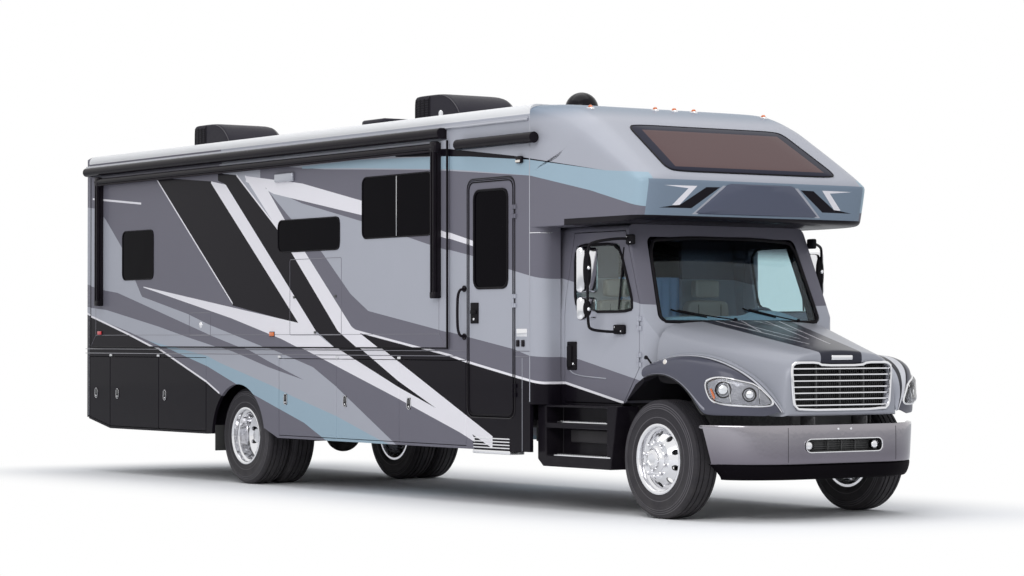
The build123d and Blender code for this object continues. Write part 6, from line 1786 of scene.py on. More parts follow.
@dataclass
class SideTrim:
    """Seals, rails, catches, hatches, lamps and handles on the house's sides."""

    wall: float = 1.2825
    slide: float = 1.3135
    latches_right: tuple[float, ...] = (-5.52, -4.99, -3.85, -1.23, -0.07, 1.09)
    latches_left: tuple[float, ...] = (-5.03, -0.13, 1.04)
    latch_z: float = 0.9
    slide_windows: tuple[tuple[float, ...], ...] = ((-4.81, -4.06, 2.17, 2.71), (-1.33, -0.12, 2.39, 2.71),
                                                    (0.3, 1.54, 2.48, 3.07))
    left_windows: tuple[tuple[float, ...], ...] = ((-5.22, -4.22, 2.15, 2.75), (-2.62, -1.32, 2.25, 2.75),
                                                   (-0.22, 1.08, 2.15, 2.85))

    def latch(self, x: float, side: Side, body: str, name: str) -> None:
        """Paddle latch with its cup and key lock."""
        y = self.wall * side.value
        out = side.value
        cup = Shape().box((x - 0.032, y - 0.01 * out, self.latch_z - 0.055),
                          (x + 0.032, y + 0.006 * out, self.latch_z + 0.055), 0.028, 5)
        cup.piece(f"{name}_cup", body, SEAL)
        rim = Shape().loop(frame_points(x - 0.031, x + 0.031, self.latch_z - 0.054, self.latch_z + 0.054,
                                        y + 0.005 * out, 0.03), 0.003, 6)
        rim.piece(f"{name}_rim", body, ALLOY)
        paddle = Shape().box((x - 0.02, y, self.latch_z - 0.008),
                             (x + 0.02, y + 0.011 * out, self.latch_z + 0.036), 0.006, 3)
        paddle.piece(f"{name}_paddle", body, PLASTIC)
        lock = Shape().ball((x, y + 0.006 * out, self.latch_z - 0.03), 0.01, (1, 0.6, 1), 14)
        lock.piece(f"{name}_lock", body, ALLOY)

    def window_seals(self) -> None:
        """Rubber round every flush window, and the bars that divide them."""
        rubber = Shape()
        for x0, x1, z0, z1 in self.slide_windows:
            ring = frame_points(x0, x1, z0, z1, -self.slide - 0.001, 0.07)
            rubber.loop(ring, 0.007, 8)
        rubber.piece("slide_window_seals", "slide_room", SEAL)
        bar = Shape().box((0.915, -self.slide - 0.004, 2.49), (0.923, -self.slide + 0.002, 3.06), 0.001)
        bar.piece("slide_window_bar", "slide_room", ALLOY)
        rubber = Shape()
        for x0, x1, z0, z1 in self.left_windows:
            ring = frame_points(x0, x1, z0, z1, self.wall + 0.001, 0.07)
            rubber.loop(ring, 0.007, 8)
            middle = 0.5 * (x0 + x1)
            rubber.box((middle - 0.005, self.wall - 0.002, z0), (middle + 0.005, self.wall + 0.004, z1),
                       0.001)
        rubber.piece("left_window_seals", "coach", SEAL)
        ring = frame_points(2.195, 2.735, 1.97, 2.86, -self.wall - 0.002, 0.08)
        Shape().loop(ring, 0.012).piece("entry_window_seal", "entry_door", SEAL)

    def slide_trim(self) -> None:
        """Flange lines, hatches and the small sensor box on the slide room's face."""
        y = -self.slide
        lines = Shape()
        x0, x1, z0, z1 = -5.6, 1.78, 1.43, 3.34
        inset = 0.125
        for a, b in (((x0 + inset, z0 + inset), (x1 - inset, z0 + inset)),
                     ((x1 - inset, z0 + inset), (x1 - inset, z1 - inset)),
                     ((x0 + inset, z0 + inset), (x0 + inset, z1 - inset)),
                     ((x0, z0), (x0 + inset, z0 + inset)), ((x1, z0), (x1 - inset, z0 + inset))):
            lines.tube([(a[0], y - 0.0005, a[1]), (b[0], y - 0.0005, b[1])], 0.0022, 6)
        lines.piece("slide_flange_lines", "slide_room", GREY_PAINT)
        edge = Shape()
        for low, high in (((x0 - 0.012, z0 - 0.012), (x0 + 0.004, z1 + 0.01)),
                          ((x1 - 0.004, z0 - 0.012), (x1 + 0.012, z1 + 0.01)),
                          ((x0 - 0.012, z0 - 0.012), (x1 + 0.012, z0 + 0.002))):
            edge.box((low[0], y - 0.003, low[1]), (high[0], y + 0.016, high[1]), 0.004)
        edge.piece("slide_edge_seal", "slide_room", SEAL)
        for name, (hx0, hx1, hz0, hz1) in {"large": (-1.09, -0.09, 1.55, 2.31),
                                           "small": (-3.23, -2.76, 1.55, 1.79)}.items():
            Shape().loop(frame_points(hx0, hx1, hz0, hz1, y - 0.0005, 0.02), 0.0028, 6).piece(
                f"hatch_{name}_line", "slide_room", GREY_PAINT)
        lock = Shape().ball((-2.97, y - 0.002, 1.66), 0.035, (1, 0.35, 1), 28)
        lock.ball((-2.97, y - 0.012, 1.66), 0.014, (1, 0.5, 1), 16)
        lock.piece("hatch_lock", "slide_room", ALLOY)
        clips = Shape()
        for x, z in ((-0.59, 1.575), (-0.2, 1.93), (-1.0, 1.93)):
            clips.box((x - 0.02, y - 0.008, z - 0.012), (x + 0.02, y, z + 0.012), 0.004)
        clips.piece("hatch_clips", "slide_room", PLASTIC)
        box = Shape().box((-1.36, y - 0.035, 3.1), (-1.0, y, 3.19), 0.015, 4)
        box.piece("slide_speaker", "slide_room", SILVER_PAINT)

    def body_lines(self) -> None:
        """Rails along both sides, corner joints and the marker lamps."""
        for side in Side:
            y, out = self.wall * side.value, side.value
            rails = Shape()
            spans = ((-5.8, 2.085), (2.845, 3.08)) if side is Side.RIGHT else ((-5.8, 3.08),)
            for a, b in spans:
                for z in (1.352, 1.4):
                    rails.box((a, y - 0.002 * out, z - 0.0035), (b, y + 0.0035 * out, z + 0.0035), 0.0015)
            rails.piece(f"side_rails_{side.word}", "coach", GREY_PAINT)
            joint = Shape()
            joint.box((3.072, y - 0.004 * out, 0.95), (3.082, y + 0.003 * out, 3.5), 0.002)
            joint.box((2.957, y - 0.004 * out, 0.51), (2.962, y + 0.002 * out, 1.34), 0.001)
            joint.box((-5.716, y - 0.004 * out, 0.64), (-5.71, y + 0.0025 * out, 3.5), 0.001)
            joint.piece(f"corner_joints_{side.word}", "coach", SILVER_PAINT)
            gutter = Shape().tube(both([(-5.78, self.wall + 0.012, 3.462),
                                        (3.06, self.wall + 0.012, 3.462)], side), 0.011, 10)
            gutter.box((-5.78, y - 0.002 * out, 3.452), (3.06, y + 0.008 * out, 3.49), 0.002)
            gutter.piece(f"gutter_{side.word}", "coach", SILVER_PAINT)
            for name, x, z, finish in (("rear", -5.37, 1.58, RED), ("middle", -1.45, 1.56, AMBER)):
                depth = self.wall if x < -5.7 or side is Side.LEFT else self.slide
                body = "coach" if side is Side.LEFT else "slide_room"
                lens = Shape().box((x - 0.045, depth * out - 0.002 * out, z - 0.02),
                                   (x + 0.045, depth * out + 0.014 * out, z + 0.02), 0.007, 4)
                lens.piece(f"marker_{name}_{side.word}", body, finish, "lamp_lens")
                base = Shape().box((x - 0.052, depth * out - 0.002 * out, z - 0.026),
                                   (x + 0.052, depth * out + 0.004 * out, z + 0.026), 0.003, 2)
                base.piece(f"marker_{name}_base_{side.word}", body, SEAL)
            flap = Shape().box((-2.77, y - 0.33 * out, 0.33), (-2.755, y - 0.03 * out, 0.60), 0.005)
            flap.piece(f"mud_flap_{side.word}", "coach", RUBBER)

    def entry(self) -> None:
        """Entry door's frame, latch, handle, lamp and folded step."""
        y = -self.wall
        ring = frame_points(2.082, 2.848, 0.795, 2.968, y - 0.001, 0.09)
        Shape().loop(ring, 0.0065, 10).piece("entry_frame", "coach", STEP_GREY)
        ring = frame_points(2.112, 2.818, 0.822, 2.938, y - 0.001, 0.07)
        Shape().loop(ring, 0.007, 8).piece("entry_door_edge", "entry_door", SEAL)
        latch = Shape().box((2.145, y - 0.012, 1.65), (2.27, y + 0.002, 1.84), 0.014, 4)
        latch.box((2.165, y - 0.03, 1.735), (2.255, y - 0.012, 1.775), 0.008, 3)
        latch.piece("entry_latch", "entry_door", SEAL)
        key = Shape().ball((2.205, y - 0.014, 1.69), 0.013, (1, 0.5, 1), 14)
        key.piece("entry_lock", "entry_door", ALLOY)
        handle = Shape().tube(rounded_path([(2.04, y, 1.97), (2.04, y - 0.075, 1.955),
                                            (2.04, y - 0.085, 1.75), (2.04, y - 0.075, 1.545),
                                            (2.04, y, 1.53)]), 0.013, 12)
        for z in (1.53, 1.97):
            handle.rod((2.04, y - 0.001, z), (2.04, y - 0.012, z), 0.03, 24)
        handle.piece("grab_handle", "coach", AWNING_METAL)
        lamp = Shape().box((2.9, y - 0.035, 3.075), (2.985, y, 3.14), 0.012, 4)
        lamp.piece("porch_lamp", "coach", AWNING_METAL)
        lens = Shape().box((2.908, y - 0.041, 3.083), (2.977, y - 0.033, 3.105), 0.003, 2)
        lens.piece("porch_lens", "coach", AMBER_CLEAR)
        step = Shape().box((2.17, y - 0.004, 0.47), (2.77, y + 0.16, 0.505), 0.008)
        for index in range(4):
            z = 0.52 + index * 0.028
            step.box((2.18, y - 0.002, z), (2.76, y + 0.1, z + 0.012), 0.003)
        step.piece("entry_step", "coach", ALLOY, "polished_alloy")
        plates = Shape()
        plates.box((2.875, y - 0.004, 1.53), (3.04, y + 0.001, 1.6), 0.002)
        plates.piece("blank_plate", "coach", ALLOY)
        ports = Shape()
        for x in (2.9, 2.98):
            ports.box((x - 0.022, y - 0.014, 1.44), (x + 0.022, y, 1.5), 0.008, 3)
        ports.piece("outlet_covers", "coach", AWNING_METAL)

    def catches(self) -> None:
        """Latches of the baggage doors, and the tabs above them."""
        for index, x in enumerate(self.latches_right):
            self.latch(x, Side.RIGHT, f"baggage_door_right_{index + 1}", f"latch_right_{index + 1}")
        for index, x in enumerate(self.latches_left):
            self.latch(x, Side.LEFT, f"baggage_door_left_{index + 1}", f"latch_left_{index + 1}")
        tabs = Shape()
        for x in (-5.13, -3.98, -1.33, -0.2, 0.94):
            tabs.box((x - 0.04, -self.wall - 0.014, 1.318), (x + 0.01, -self.wall, 1.342), 0.005, 3)
        for x in (-4.6, 0.3, 1.5):
            tabs.box((x - 0.025, self.wall, 1.318), (x + 0.025, self.wall + 0.014, 1.342), 0.005, 3)
        tabs.piece("door_hold_tabs", "coach", WHITE_PAINT, "awning_white")

    def left_service(self) -> None:
        """Fuel flap, water and power hatches on the left side."""
        y = self.wall
        hatches = Shape()
        locks = Shape()
        for x0, x1, z0, z1 in ((2.35, 2.6, 1.5, 1.75), (-3.6, -3.2, 1.5, 1.8), (1.5, 1.9, 1.5, 1.85)):
            hatches.box((x0, y - 0.001, z0), (x1, y + 0.007, z1), 0.004, 2)
            locks.ball(((x0 + x1) / 2, y + 0.008, z0 + 0.05), 0.014, (1, 0.5, 1), 14)
        hatches.piece("service_hatches", "coach", SILVER_PAINT)
        locks.piece("service_locks", "coach", ALLOY)

    def build(self) -> None:
        """Build the side's fittings."""
        self.window_seals()
        self.slide_trim()
        self.body_lines()
        self.entry()
        self.catches()
        self.left_service()


# ---------------------------------------------------------------------- roof, awning, rear
@dataclass
class Roof:
    """Air conditioners, vent, dome, awning hardware and rear fittings."""

    units: tuple[float, ...] = (-4.94, -0.28)
    base: float = 3.6

    def unit(self, x0: float, name: str) -> None:
        """One air conditioner: moulded shroud with a sloped front, louvres, and paler strips along the sloped
        front's corners as painted highlight.
        """
        profile = ((0.0, 0.0), (-0.002, 0.1), (0.0, 0.27), (0.01, 0.32), (0.035, 0.343), (0.09, 0.348),
                   (0.3, 0.348), (0.46, 0.346), (0.56, 0.334), (0.66, 0.3), (0.75, 0.24), (0.82, 0.165),
                   (0.862, 0.09), (0.88, 0.02), (0.88, 0.0))
        rows = []
        for y, inset in ((0.0, 0.0), (0.2, 0.0), (0.3, 0.001), (0.33, 0.004), (0.343, 0.012), (0.347, 0.024)):
            row = []
            for along, rise in profile:
                away = Vector((along - 0.44, 1.6 * rise)).normalized() * inset
                row.append((x0 + along - away.x, y, self.base + rise - (away.y if rise else 0.0)))
            rows.append(row)
        rows = [[(x, -y, z) for x, y, z in row] for row in reversed(rows[1:])] + rows
        Shape().shell(rows).piece(f"air_unit_{name}", "coach", ROOF_UNIT,
                                  replaces=("roof_air_conditioners",), subdivide=2)
        louvres, edge = Shape(), Shape()
        for side in (-1, 1):
            for index in range(11):
                z = self.base + 0.05 + index * 0.024
                louvres.box((x0 + 0.04, side * 0.344, z), (x0 + 0.27, side * 0.353, z + 0.01), 0.002)
            for index in range(4):
                x = x0 + 0.04 + index * 0.0755
                louvres.box((x - 0.004, side * 0.343, self.base + 0.04),
                            (x + 0.004, side * 0.352, self.base + 0.31), 0.001)
            louvres.box((x0 + 0.285, side * 0.344, self.base + 0.02),
                        (x0 + 0.297, side * 0.352, self.base + 0.33), 0.003)
            # Paler strip along the corner where the side meets the sloped front: painted highlight.
            run = [(x0 + a - 0.006, side * 0.3485, self.base + b - 0.012) for a, b in profile[7:13]]
            edge.tube(rounded_path(run), 0.0035, 8)
        for index in range(11):
            z = self.base + 0.05 + index * 0.024
            louvres.box((x0 - 0.006, -0.29, z), (x0 + 0.02, 0.29, z + 0.01), 0.002)
        louvres.piece(f"air_louvres_{name}", "coach", SEAL)
        edge.piece(f"air_edge_{name}", "coach", PLASTIC_HIGHLIGHT)

    def fittings(self) -> None:
        """Vent lid, dome, antenna and roof seams."""
        vent = Shape().box((-0.75, -0.65, 3.6), (-0.35, -0.25, 3.64), 0.012)
        vent.box((-0.77, -0.67, 3.645), (-0.33, -0.23, 3.725), 0.03, 4)
        vent.piece("roof_vent", "coach", ROOF_UNIT, replaces=("roof_fittings",))
        dome = Shape()
        dome.rod((2.34, -0.17, 3.6), (2.34, -0.17, 3.635), 0.163, 48, 0.16)
        dome.piece("dome_foot", "coach", ROOF_UNIT)
        cover = Shape().ball((2.34, -0.17, 3.65), 0.158, (1.0, 1.0, 1.0), 48)
        bmesh.ops.bisect_plane(cover.bm, geom=[*cover.bm.verts, *cover.bm.edges, *cover.bm.faces],
                               plane_co=(0, 0, 3.62), plane_no=(0, 0, -1), clear_outer=True)
        bmesh.ops.holes_fill(cover.bm, edges=cover.bm.edges, sides=0)
        cover.piece("dome_cover", "coach", DOME_PAINT)
        mast = Shape().rod((0.98, -0.85, 3.6), (0.98, -0.85, 3.66), 0.035, 20, 0.02)
        mast.ball((0.98, -0.85, 3.67), 0.022, (1, 1, 1.6), 16)
        mast.piece("roof_mast", "coach", WHITE_PAINT)
        seams = Shape()
        for x in (-4.0, -2.0, 0.0, 2.0):
            seams.box((x - 0.02, -1.15, 3.598), (x + 0.02, 1.15, 3.603), 0.002)
        for y in (-1.17, 1.17):
            seams.box((-5.75, y - 0.03, 3.595), (3.07, y + 0.03, 3.603), 0.002)
        seams.piece("roof_seams", "coach", WHITE_PAINT)

    def awning(self) -> None:
        """Arm channels, end caps and the rolled edge of the long awning."""
        metal, fabric = Shape(), Shape()
        for x in (-5.33, 1.65):
            metal.box((x - 0.03, -1.392, 1.92), (x - 0.012, -1.354, 3.26), 0.004)
            metal.box((x + 0.012, -1.392, 1.92), (x + 0.03, -1.354, 3.26), 0.004)
            metal.box((x - 0.05, -1.391, 3.235), (x + 0.05, -1.325, 3.345), 0.02, 4)
            metal.box((x - 0.045, -1.39, 1.885), (x + 0.045, -1.318, 1.95), 0.012, 3)
        metal.piece("awning_arms_trim", "slide_room", AWNING_METAL)
        fabric.tube([(-5.29, -1.352, 3.29), (1.61, -1.352, 3.29)], 0.0395, 24)
        fabric.box((-5.29, -1.3915, 3.243), (1.61, -1.378, 3.262), 0.004)
        fabric.piece("awning_roll", "slide_room", AWNING_CLOTH)

    def rear(self) -> None:
        """Tail lamps, rear camera, plate holder and window seal."""
        x = -5.81
        ring = [(x - 0.001, p[0], p[2]) for p in frame_points(-0.62, 0.62, 2.15, 2.7, 0.0, 0.08)]
        Shape().loop(ring, 0.009).piece("rear_window_seal", "coach", SEAL)
        for side in Side:
            y, word = 1.08 * side.value, side.word
            base = Shape().box((x - 0.012, y - 0.075, 0.98), (x + 0.01, y + 0.075, 1.5), 0.012, 3)
            base.piece(f"tail_base_{word}", "coach", CHROME)
            lenses = ((1.3, 1.47, RED), (1.16, 1.28, AMBER), (1.01, 1.14, WHITE_LENS))
            for index, (low, high, finish) in enumerate(lenses):
                lens = Shape().box((x - 0.026, y - 0.055, low), (x - 0.006, y + 0.055, high), 0.012, 4)
                lens.piece(f"tail_lens_{index + 1}_{word}", "coach", finish, "lamp_lens")
            # The reflector takes the red lens finish, whose faint glow is painted light here, since a
            # reflector is no lamp.
            reflector = Shape().ball((x - 0.002, 0.9 * side.value, 0.78), 0.035, (0.3, 1, 1), 24)
            reflector.piece(f"rear_reflector_{word}", "coach", RED)
        for index, y in enumerate((-1.05, -0.2, 0.0, 0.2, 1.05)):
            lamp = Shape().box((x - 0.018, y - 0.045, 3.4), (x + 0.004, y + 0.045, 3.435), 0.008, 3)
            lamp.piece(f"rear_marker_{index + 1}", "coach", RED)
        camera = Shape().box((x - 0.05, -0.06, 3.2), (x + 0.004, 0.06, 3.29), 0.016, 4)
        camera.ball((x - 0.05, 0.0, 3.24), 0.02, (0.5, 1, 1), 20)
        camera.piece("rear_camera", "coach", AWNING_METAL)
        plate = Shape().box((x - 0.01, -0.17, 0.98), (x + 0.004, 0.17, 1.15), 0.006, 3)
        plate.piece("plate_holder", "coach", AWNING_METAL)
        trim = Shape()
        for y in (-1.16, 1.16):
            trim.box((x - 0.004, y - 0.004, 0.7), (x + 0.002, y + 0.004, 3.45), 0.002)
        trim.box((x - 0.004, -1.16, 1.56), (x + 0.002, 1.16, 1.568), 0.002)
        trim.piece("rear_panel_lines", "coach", GREY_PAINT)

    def build(self) -> None:
        """Build the roof and rear fittings."""
        for x0, name in zip(self.units, ("rear", "front")):
            self.unit(x0, name)
        self.fittings()
        self.awning()
        self.rear()


# -------------------------------------------------------------------------------- bumper
@dataclass
class Bumper:
    """Front bumper's steel and valance, its insert, fog lamps, seams and bolts."""

    face: float = 5.81
    plan: tuple[Pair, ...] = ((5.81, 0.42), (5.806, 0.5), (5.785, 0.613), (5.735, 0.74), (5.66, 0.87),
                              (5.56, 0.985), (5.455, 1.075), (5.348, 1.14))
    low: float = 0.472
    high: float = 0.8

    def sheet(self, name: str, heights: Sequence[tuple[float, float]], plan: Sequence[Pair], tuck: float,
              finish: Finish, slot: str, node: str) -> bpy.types.Object:
        """Steel or plastic sheet bent round the front.

        Args:
            name: Piece's name.
            heights: Rows as (height, how far back from the plan).
            plan: Half outline seen from above, from the middle out.
            tuck: How far the lowest row's ends are drawn in.
            finish: Its finish.
            slot: The record's material slot; passed on, but not used.
            node: CAD node that it stands for.

        Returns:
            The piece.
        """
        rows = []
        for z, back in heights:
            share = (heights[0][0] - z) / (heights[0][0] - heights[-1][0])
            half = []
            for index, (x, y) in enumerate(plan):
                pull = tuck * share * max(0.0, index / (len(plan) - 1) - 0.5) * 2
                half.append((x - back + 0.4 * pull, y - pull, z))
            rows.append([(x, -y, z) for x, y, z in reversed(half)] + half)
        obj = Shape().loft(rows).piece(name, "coach", finish, slot, (node,), subdivide=2)
        thicken(obj, 0.006)
        return obj

    def build(self) -> None:
        """Build the bumper."""
        steel = self.slotted()
        lower = [(x - 0.012, min(y, 1.06)) for x, y in self.plan]
        self.sheet("valance_skin", ((0.474, 0.03), (0.47, 0.0), (0.40, 0.004), (0.352, 0.03),
                                    (0.345, 0.06)), lower, 0.12, VALANCE, "black_plastic", "front_valance")
        insert = Shape().box((self.face - 0.09, -0.44, 0.555), (self.face - 0.075, 0.44, 0.695), 0.004)
        for index in range(6):
            z = 0.578 + index * 0.018
            insert.box((self.face - 0.06, -0.3, z), (self.face - 0.045, 0.3, z + 0.005), 0.001)
        for y in (-0.15, 0.0, 0.15):
            insert.box((self.face - 0.065, y - 0.005, 0.565), (self.face - 0.04, y + 0.005, 0.685), 0.001)
        insert.piece("bumper_insert", "coach", PLASTIC)
        for side in Side:
            y = 0.365 * side.value
            fog = Shape().rod((self.face - 0.075, y, 0.625), (self.face - 0.035, y, 0.625), 0.035, 32, 0.046)
            fog.piece(f"fog_body_{side.word}", "coach", SEAL)
            lens = Shape().ball((self.face - 0.036, y, 0.625), 0.04, (0.35, 1, 1), 28)
            lens.piece(f"fog_lens_{side.word}", "coach", ALLOY, "lamp_lens")
        ring = [(self.face + 0.0005, p[0], p[2]) for p in frame_points(-0.42, 0.42, 0.57, 0.68, 0.0, 0.05)]
        Shape().loop(ring, 0.0045).piece("bumper_slot_edge", "coach", ALLOY)
        details = Shape()
        for y in (-0.613, 0.613):
            line = steel.lay([(self.face + 0.05, y, 0.485 + 0.3 * k / 12) for k in range(13)], 0.0)
            details.tube(line, 0.0022, 6)
        details.piece("bumper_joints", "coach", SEAL)
        bolts = Shape()
        for y in (-0.07, 0.07):
            bolts.ball((self.face, y, 0.76), 0.011, (0.5, 1, 1), 14)
        bolts.piece("bumper_bolts", "coach", ALLOY)

    def slotted(self) -> Skin:
        """Bumper's steel with the slot cut through it."""
        low, high = self.low, self.high
        heights = ((high - 0.03, 0.06), (high - 0.004, 0.035), (high, 0.012), (high - 0.008, 0.001),
                   (0.69, 0.0), (0.56, 0.0), (low + 0.008, 0.001), (low, 0.012), (low + 0.004, 0.035))
        obj = self.sheet("bumper_steel", heights, self.plan, 0.07, BUMPER_CHROME, "chrome", "bumper")
        solid = Shape().box((self.face - 0.2, -0.42, 0.57), (self.face + 0.1, 0.42, 0.68), 0.05, 6)
        cutter = solid.object("slot_cutter")
        cut = obj.modifiers.new("slot", "BOOLEAN")
        cut.object = cutter
        cut.solver = "EXACT"
        depsgraph = bpy.context.evaluated_depsgraph_get()
        mesh = bpy.data.meshes.new_from_object(obj.evaluated_get(depsgraph))
        obj.modifiers.clear()
        obj.data = mesh
        bpy.data.objects.remove(cutter)
        return Skin(obj)


@dataclass(frozen=True)
class BumperChrome(Finish):
    """Chrome with a painted reflection: dark low down like the ground and pale higher up like the sky, as
    bright steel shows outdoors.
    """

    # Darker colour at the bottom edge: painted reflection of the ground.
    low: Colour = (0.19, 0.175, 0.205)
    span: Pair = (0.47, 0.8)

    def base_colour(self, t: Tree, place: bpy.types.NodeSocket) -> object:
        """Painted reflection: paler toward the top edge."""
        xyz = t.xyz(place)
        rise = t.ramp(xyz[2], self.span[0], self.span[1], smooth=True)
        return t.blend(rise, rgba(self.low), rgba(self.colour))


# Paler plastic for the strips along the air conditioners' corners: painted highlight.
PLASTIC_HIGHLIGHT = Finish("plastic_edge", (0.09, 0.085, 0.095), 0.35, 0.0, 0.1, 0.05, 6.0, specular=0.3,
                      slot="black_plastic")
BUMPER_CHROME = BumperChrome("bumper_chrome", (0.33, 0.315, 0.34), 0.16, 1.0, 0.0, 0.08, 4.0, 30.0, 0.0006,
                             0.8, dust=0.1)
AWNING_CLOTH = Finish("awning_cloth", (0.02, 0.017, 0.021), 0.7, 0.0, 0.0, 0.12, 10.0, 600.0, 0.0008, 0.4,
                      specular=0.1, slot="awning_fabric")
DOME_PAINT = Finish("dome_gloss", (0.008, 0.007, 0.009), 0.18, 0.0, 0.06, 0.05, 6.0, 300.0, 0.0002,
                    specular=0.1, slot="black_plastic")
VALANCE = Finish("valance_plastic", (0.005, 0.004, 0.0055), 0.6, 0.0, 0.0, 0.12, 10.0, 420.0, 0.0005,
                 specular=0.02)
WHITE_LENS = Finish("white_lens", (0.7, 0.7, 0.7), 0.12, 0.0, 0.6, 0.1, 60.0, 250.0, 0.0006)
STEP_GREY = Finish("step_panel", (0.022, 0.02, 0.023), 0.4, 0.0, 0.05, 0.15, 12.0, 260.0, 0.0006, dust=0.1,
                   specular=0.12, slot="chrome")


@dataclass
class Dressing:
    """Finish of each CAD node that stays in view."""

    finishes: dict[str, Finish] = field(default_factory=lambda: {
        "chassis_frame": CHASSIS, "engine_block": ENGINE, "front_axle": CHASSIS, "rear_axle": CHASSIS,
        "leaf_springs": CHASSIS, "drive_shaft": CHASSIS, "underbody_tanks": TANK, "bumper": CHROME,
        "front_valance": PLASTIC, "house_floor": WOOD, "side_walls": PAINT, "rear_wall": PAINT,
        "house_roof": WHITE_PAINT, "house_windows": DARK_GLASS, "overcab_cap": PAINT,
        "overcab_window": DARK_GLASS, "baggage_bays": PAINT, "cab_shell": PAINT, "windshield": SCREEN,
        "cab_steps": BLACK_PAINT, "dashboard": DASH, "cab_seats": LEATHER,
        "roof_air_conditioners": ROOF_UNIT, "roof_fittings": ROOF_UNIT, "awning_rollers": AWNING_METAL,
        "steering_wheel": CAB_TRIM, "hood": SILVER_PAINT, "grille": CHROME, "headlights": LAMP_GLASS,
        "entry_door": PAINT, "entry_window": DARK_GLASS, "slide_out": PAINT, "slide_windows": DARK_GLASS,
        "patio_awning": AWNING_METAL})
    paired: dict[str, Finish] = field(default_factory=lambda: {"knuckle": CHASSIS, "front_rim": ALLOY,
                                                               "front_tyre": RUBBER, "rear_rims": ALLOY,
                                                               "rear_tyres": RUBBER, "cab_door": PAINT,
                                                               "cab_glass": CAB_GLASS, "mirror": CHROME})

    def dress(self, nodes: dict[str, bpy.types.Object]) -> int:
        """Give every CAD node its finish.

        Args:
            nodes: CAD nodes by name.

        Returns:
            How many nodes were dressed.
        """
        for name, obj in nodes.items():
            stem = name.rsplit("_", 1)[0]
            finish = self.finishes.get(name) or self.paired.get(stem) or PAINT
            if not obj.material_slots:
                obj.data.materials.append(finish.material())
            for slot in obj.material_slots:
                slot.material = finish.material()
        return len(nodes)


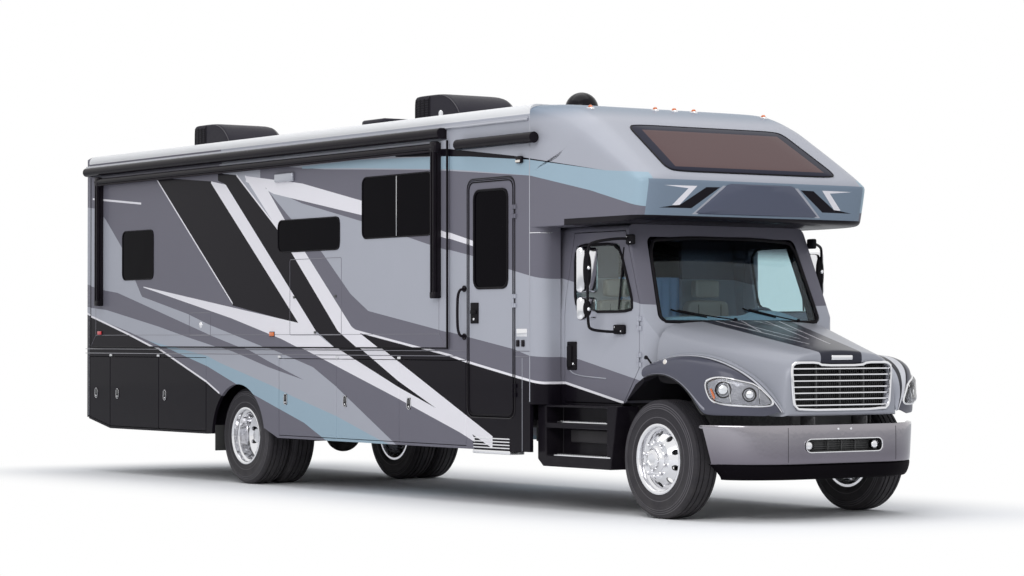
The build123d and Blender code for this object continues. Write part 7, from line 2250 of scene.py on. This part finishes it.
# ------------------------------------------------------------------------------ studio
@dataclass
class Studio:
    """Floor, lamps, backdrop and camera."""

    place: Point = (23.292, -15.479, 1.510)
    yaw: float = 145.285
    pitch: float = 1.046
    roll: float = -0.047
    lens: float = 97.9
    floor_half: float = 60.0
    footprint: Pair = (5.6, 1.1)
    clear: Pair = (0.2, 2.2)

    def floor(self) -> None:
        """Pale floor that keeps the shadow and fades into the backdrop."""
        shape = Shape()
        bmesh.ops.create_grid(shape.bm, x_segments=1, y_segments=1, size=self.floor_half)
        obj = shape.object("studio_floor")
        material = bpy.data.materials.new("studio_floor")
        material.use_nodes = True
        material.node_tree.nodes.clear()
        t = Tree(material.node_tree)
        place = t.add("ShaderNodeTexCoord").outputs["Object"]
        xyz = t.xyz(place)
        past = [t.maths("MAXIMUM", t.minus(t.maths("ABSOLUTE", xyz[axis]), half), 0.0) for axis,
                half in enumerate(self.footprint)]
        far = t.maths("SQRT", t.plus(t.maths("POWER", past[0], 2.0), t.maths("POWER", past[1], 2.0)))
        fade = t.ramp(far, self.clear[0], self.clear[1], smooth=True)
        pale = t.add("ShaderNodeBsdfDiffuse", {"Color": (0.93, 0.93, 0.94, 1.0)})
        bright = t.add("ShaderNodeEmission", {"Color": (1.0, 1.0, 1.0, 1.0), "Strength": 1.0})
        path = t.add("ShaderNodeLightPath")
        seen = t.times(fade, path.outputs["Is Camera Ray"])
        mix = t.add("ShaderNodeMixShader", {0: seen, 1: pale.outputs[0], 2: bright.outputs[0]})
        out = t.add("ShaderNodeOutputMaterial")
        t.feed(out.inputs["Surface"], mix.outputs[0])
        obj.data.materials.append(material)

    def world(self) -> None:
        """Soft light from all round, and a white backdrop."""
        world = bpy.data.worlds.new("studio")
        bpy.context.scene.world = world
        world.use_nodes = True
        world.node_tree.nodes.clear()
        t = Tree(world.node_tree)
        light = t.add("ShaderNodeBackground", {"Color": (0.93, 0.96, 1.0, 1.0), "Strength": 0.62})
        white = t.add("ShaderNodeBackground", {"Color": (1.0, 1.0, 1.0, 1.0), "Strength": 1.0})
        path = t.add("ShaderNodeLightPath")
        seen = t.maths("MAXIMUM", path.outputs["Is Camera Ray"], path.outputs["Is Glossy Ray"])
        seen = t.maths("MAXIMUM", seen, path.outputs["Is Transmission Ray"])
        mix = t.add("ShaderNodeMixShader", {0: seen, 1: light.outputs[0], 2: white.outputs[0]})
        out = t.add("ShaderNodeOutputWorld")
        t.feed(out.inputs["Surface"], mix.outputs[0])

    def lamp(self, name: str, place: Point, aim: Point, size: float, power: float) -> None:
        """Square soft lamp aimed at a point."""
        data = bpy.data.lights.new(name, "AREA")
        data.size = size
        data.energy = power
        obj = bpy.data.objects.new(name, data)
        bpy.context.scene.collection.objects.link(obj)
        obj.location = place
        obj.rotation_euler = (Vector(aim) - Vector(place)).to_track_quat("-Z", "Y").to_euler()

    def lamps(self) -> None:
        """One broad lamp above and one to the front right."""
        self.lamp("overhead", (0.0, -1.0, 14.0), (0.0, 0.0, 0.0), 14.0, 900.0)
        self.lamp("key", (13.0, -12.0, 9.0), (1.0, 0.0, 1.6), 7.0, 900.0)

    def camera(self) -> None:
        """Camera at its measured place."""
        data = bpy.data.cameras.new("camera")
        data.lens = self.lens
        data.sensor_width = 36.0
        obj = bpy.data.objects.new("camera", data)
        bpy.context.scene.collection.objects.link(obj)
        yaw, pitch = math.radians(self.yaw), math.radians(self.pitch)
        ahead = Vector((math.cos(pitch) * math.cos(yaw), math.cos(pitch) * math.sin(yaw), math.sin(pitch)))
        right = Vector((math.sin(yaw), -math.cos(yaw), 0.0))
        turn = Matrix((right, right.cross(ahead), -ahead)).transposed().to_4x4()
        obj.matrix_world = (Matrix.Translation(self.place) @ turn @ Matrix.Rotation(math.radians(self.roll),
                                                                                    4, "Z"))
        data.clip_end = 200.0
        bpy.context.scene.camera = obj

    def build(self) -> None:
        """Set up the studio."""
        bpy.context.scene.view_settings.view_transform = "Standard"
        self.floor()
        self.world()
        self.lamps()
        self.camera()


def main() -> None:
    """Build the vehicle's looks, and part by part."""
    logging.basicConfig(level=logging.INFO, format="%(message)s")
    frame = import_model()
    LOG.info("dressed %d nodes", Dressing().dress(frame["nodes"]))
    nodes = frame["nodes"]
    parts = (Bonnet(), Cap(), Cab(nodes), Mirrors(), Wheels(), SideTrim(), Roof(), Bumper())
    for part in parts:
        start = len(bpy.data.objects)
        part.build()
        LOG.info("%s: %d pieces", type(part).__name__, len(bpy.data.objects) - start)
    Studio().build()


if __name__ == "__main__":
    main()
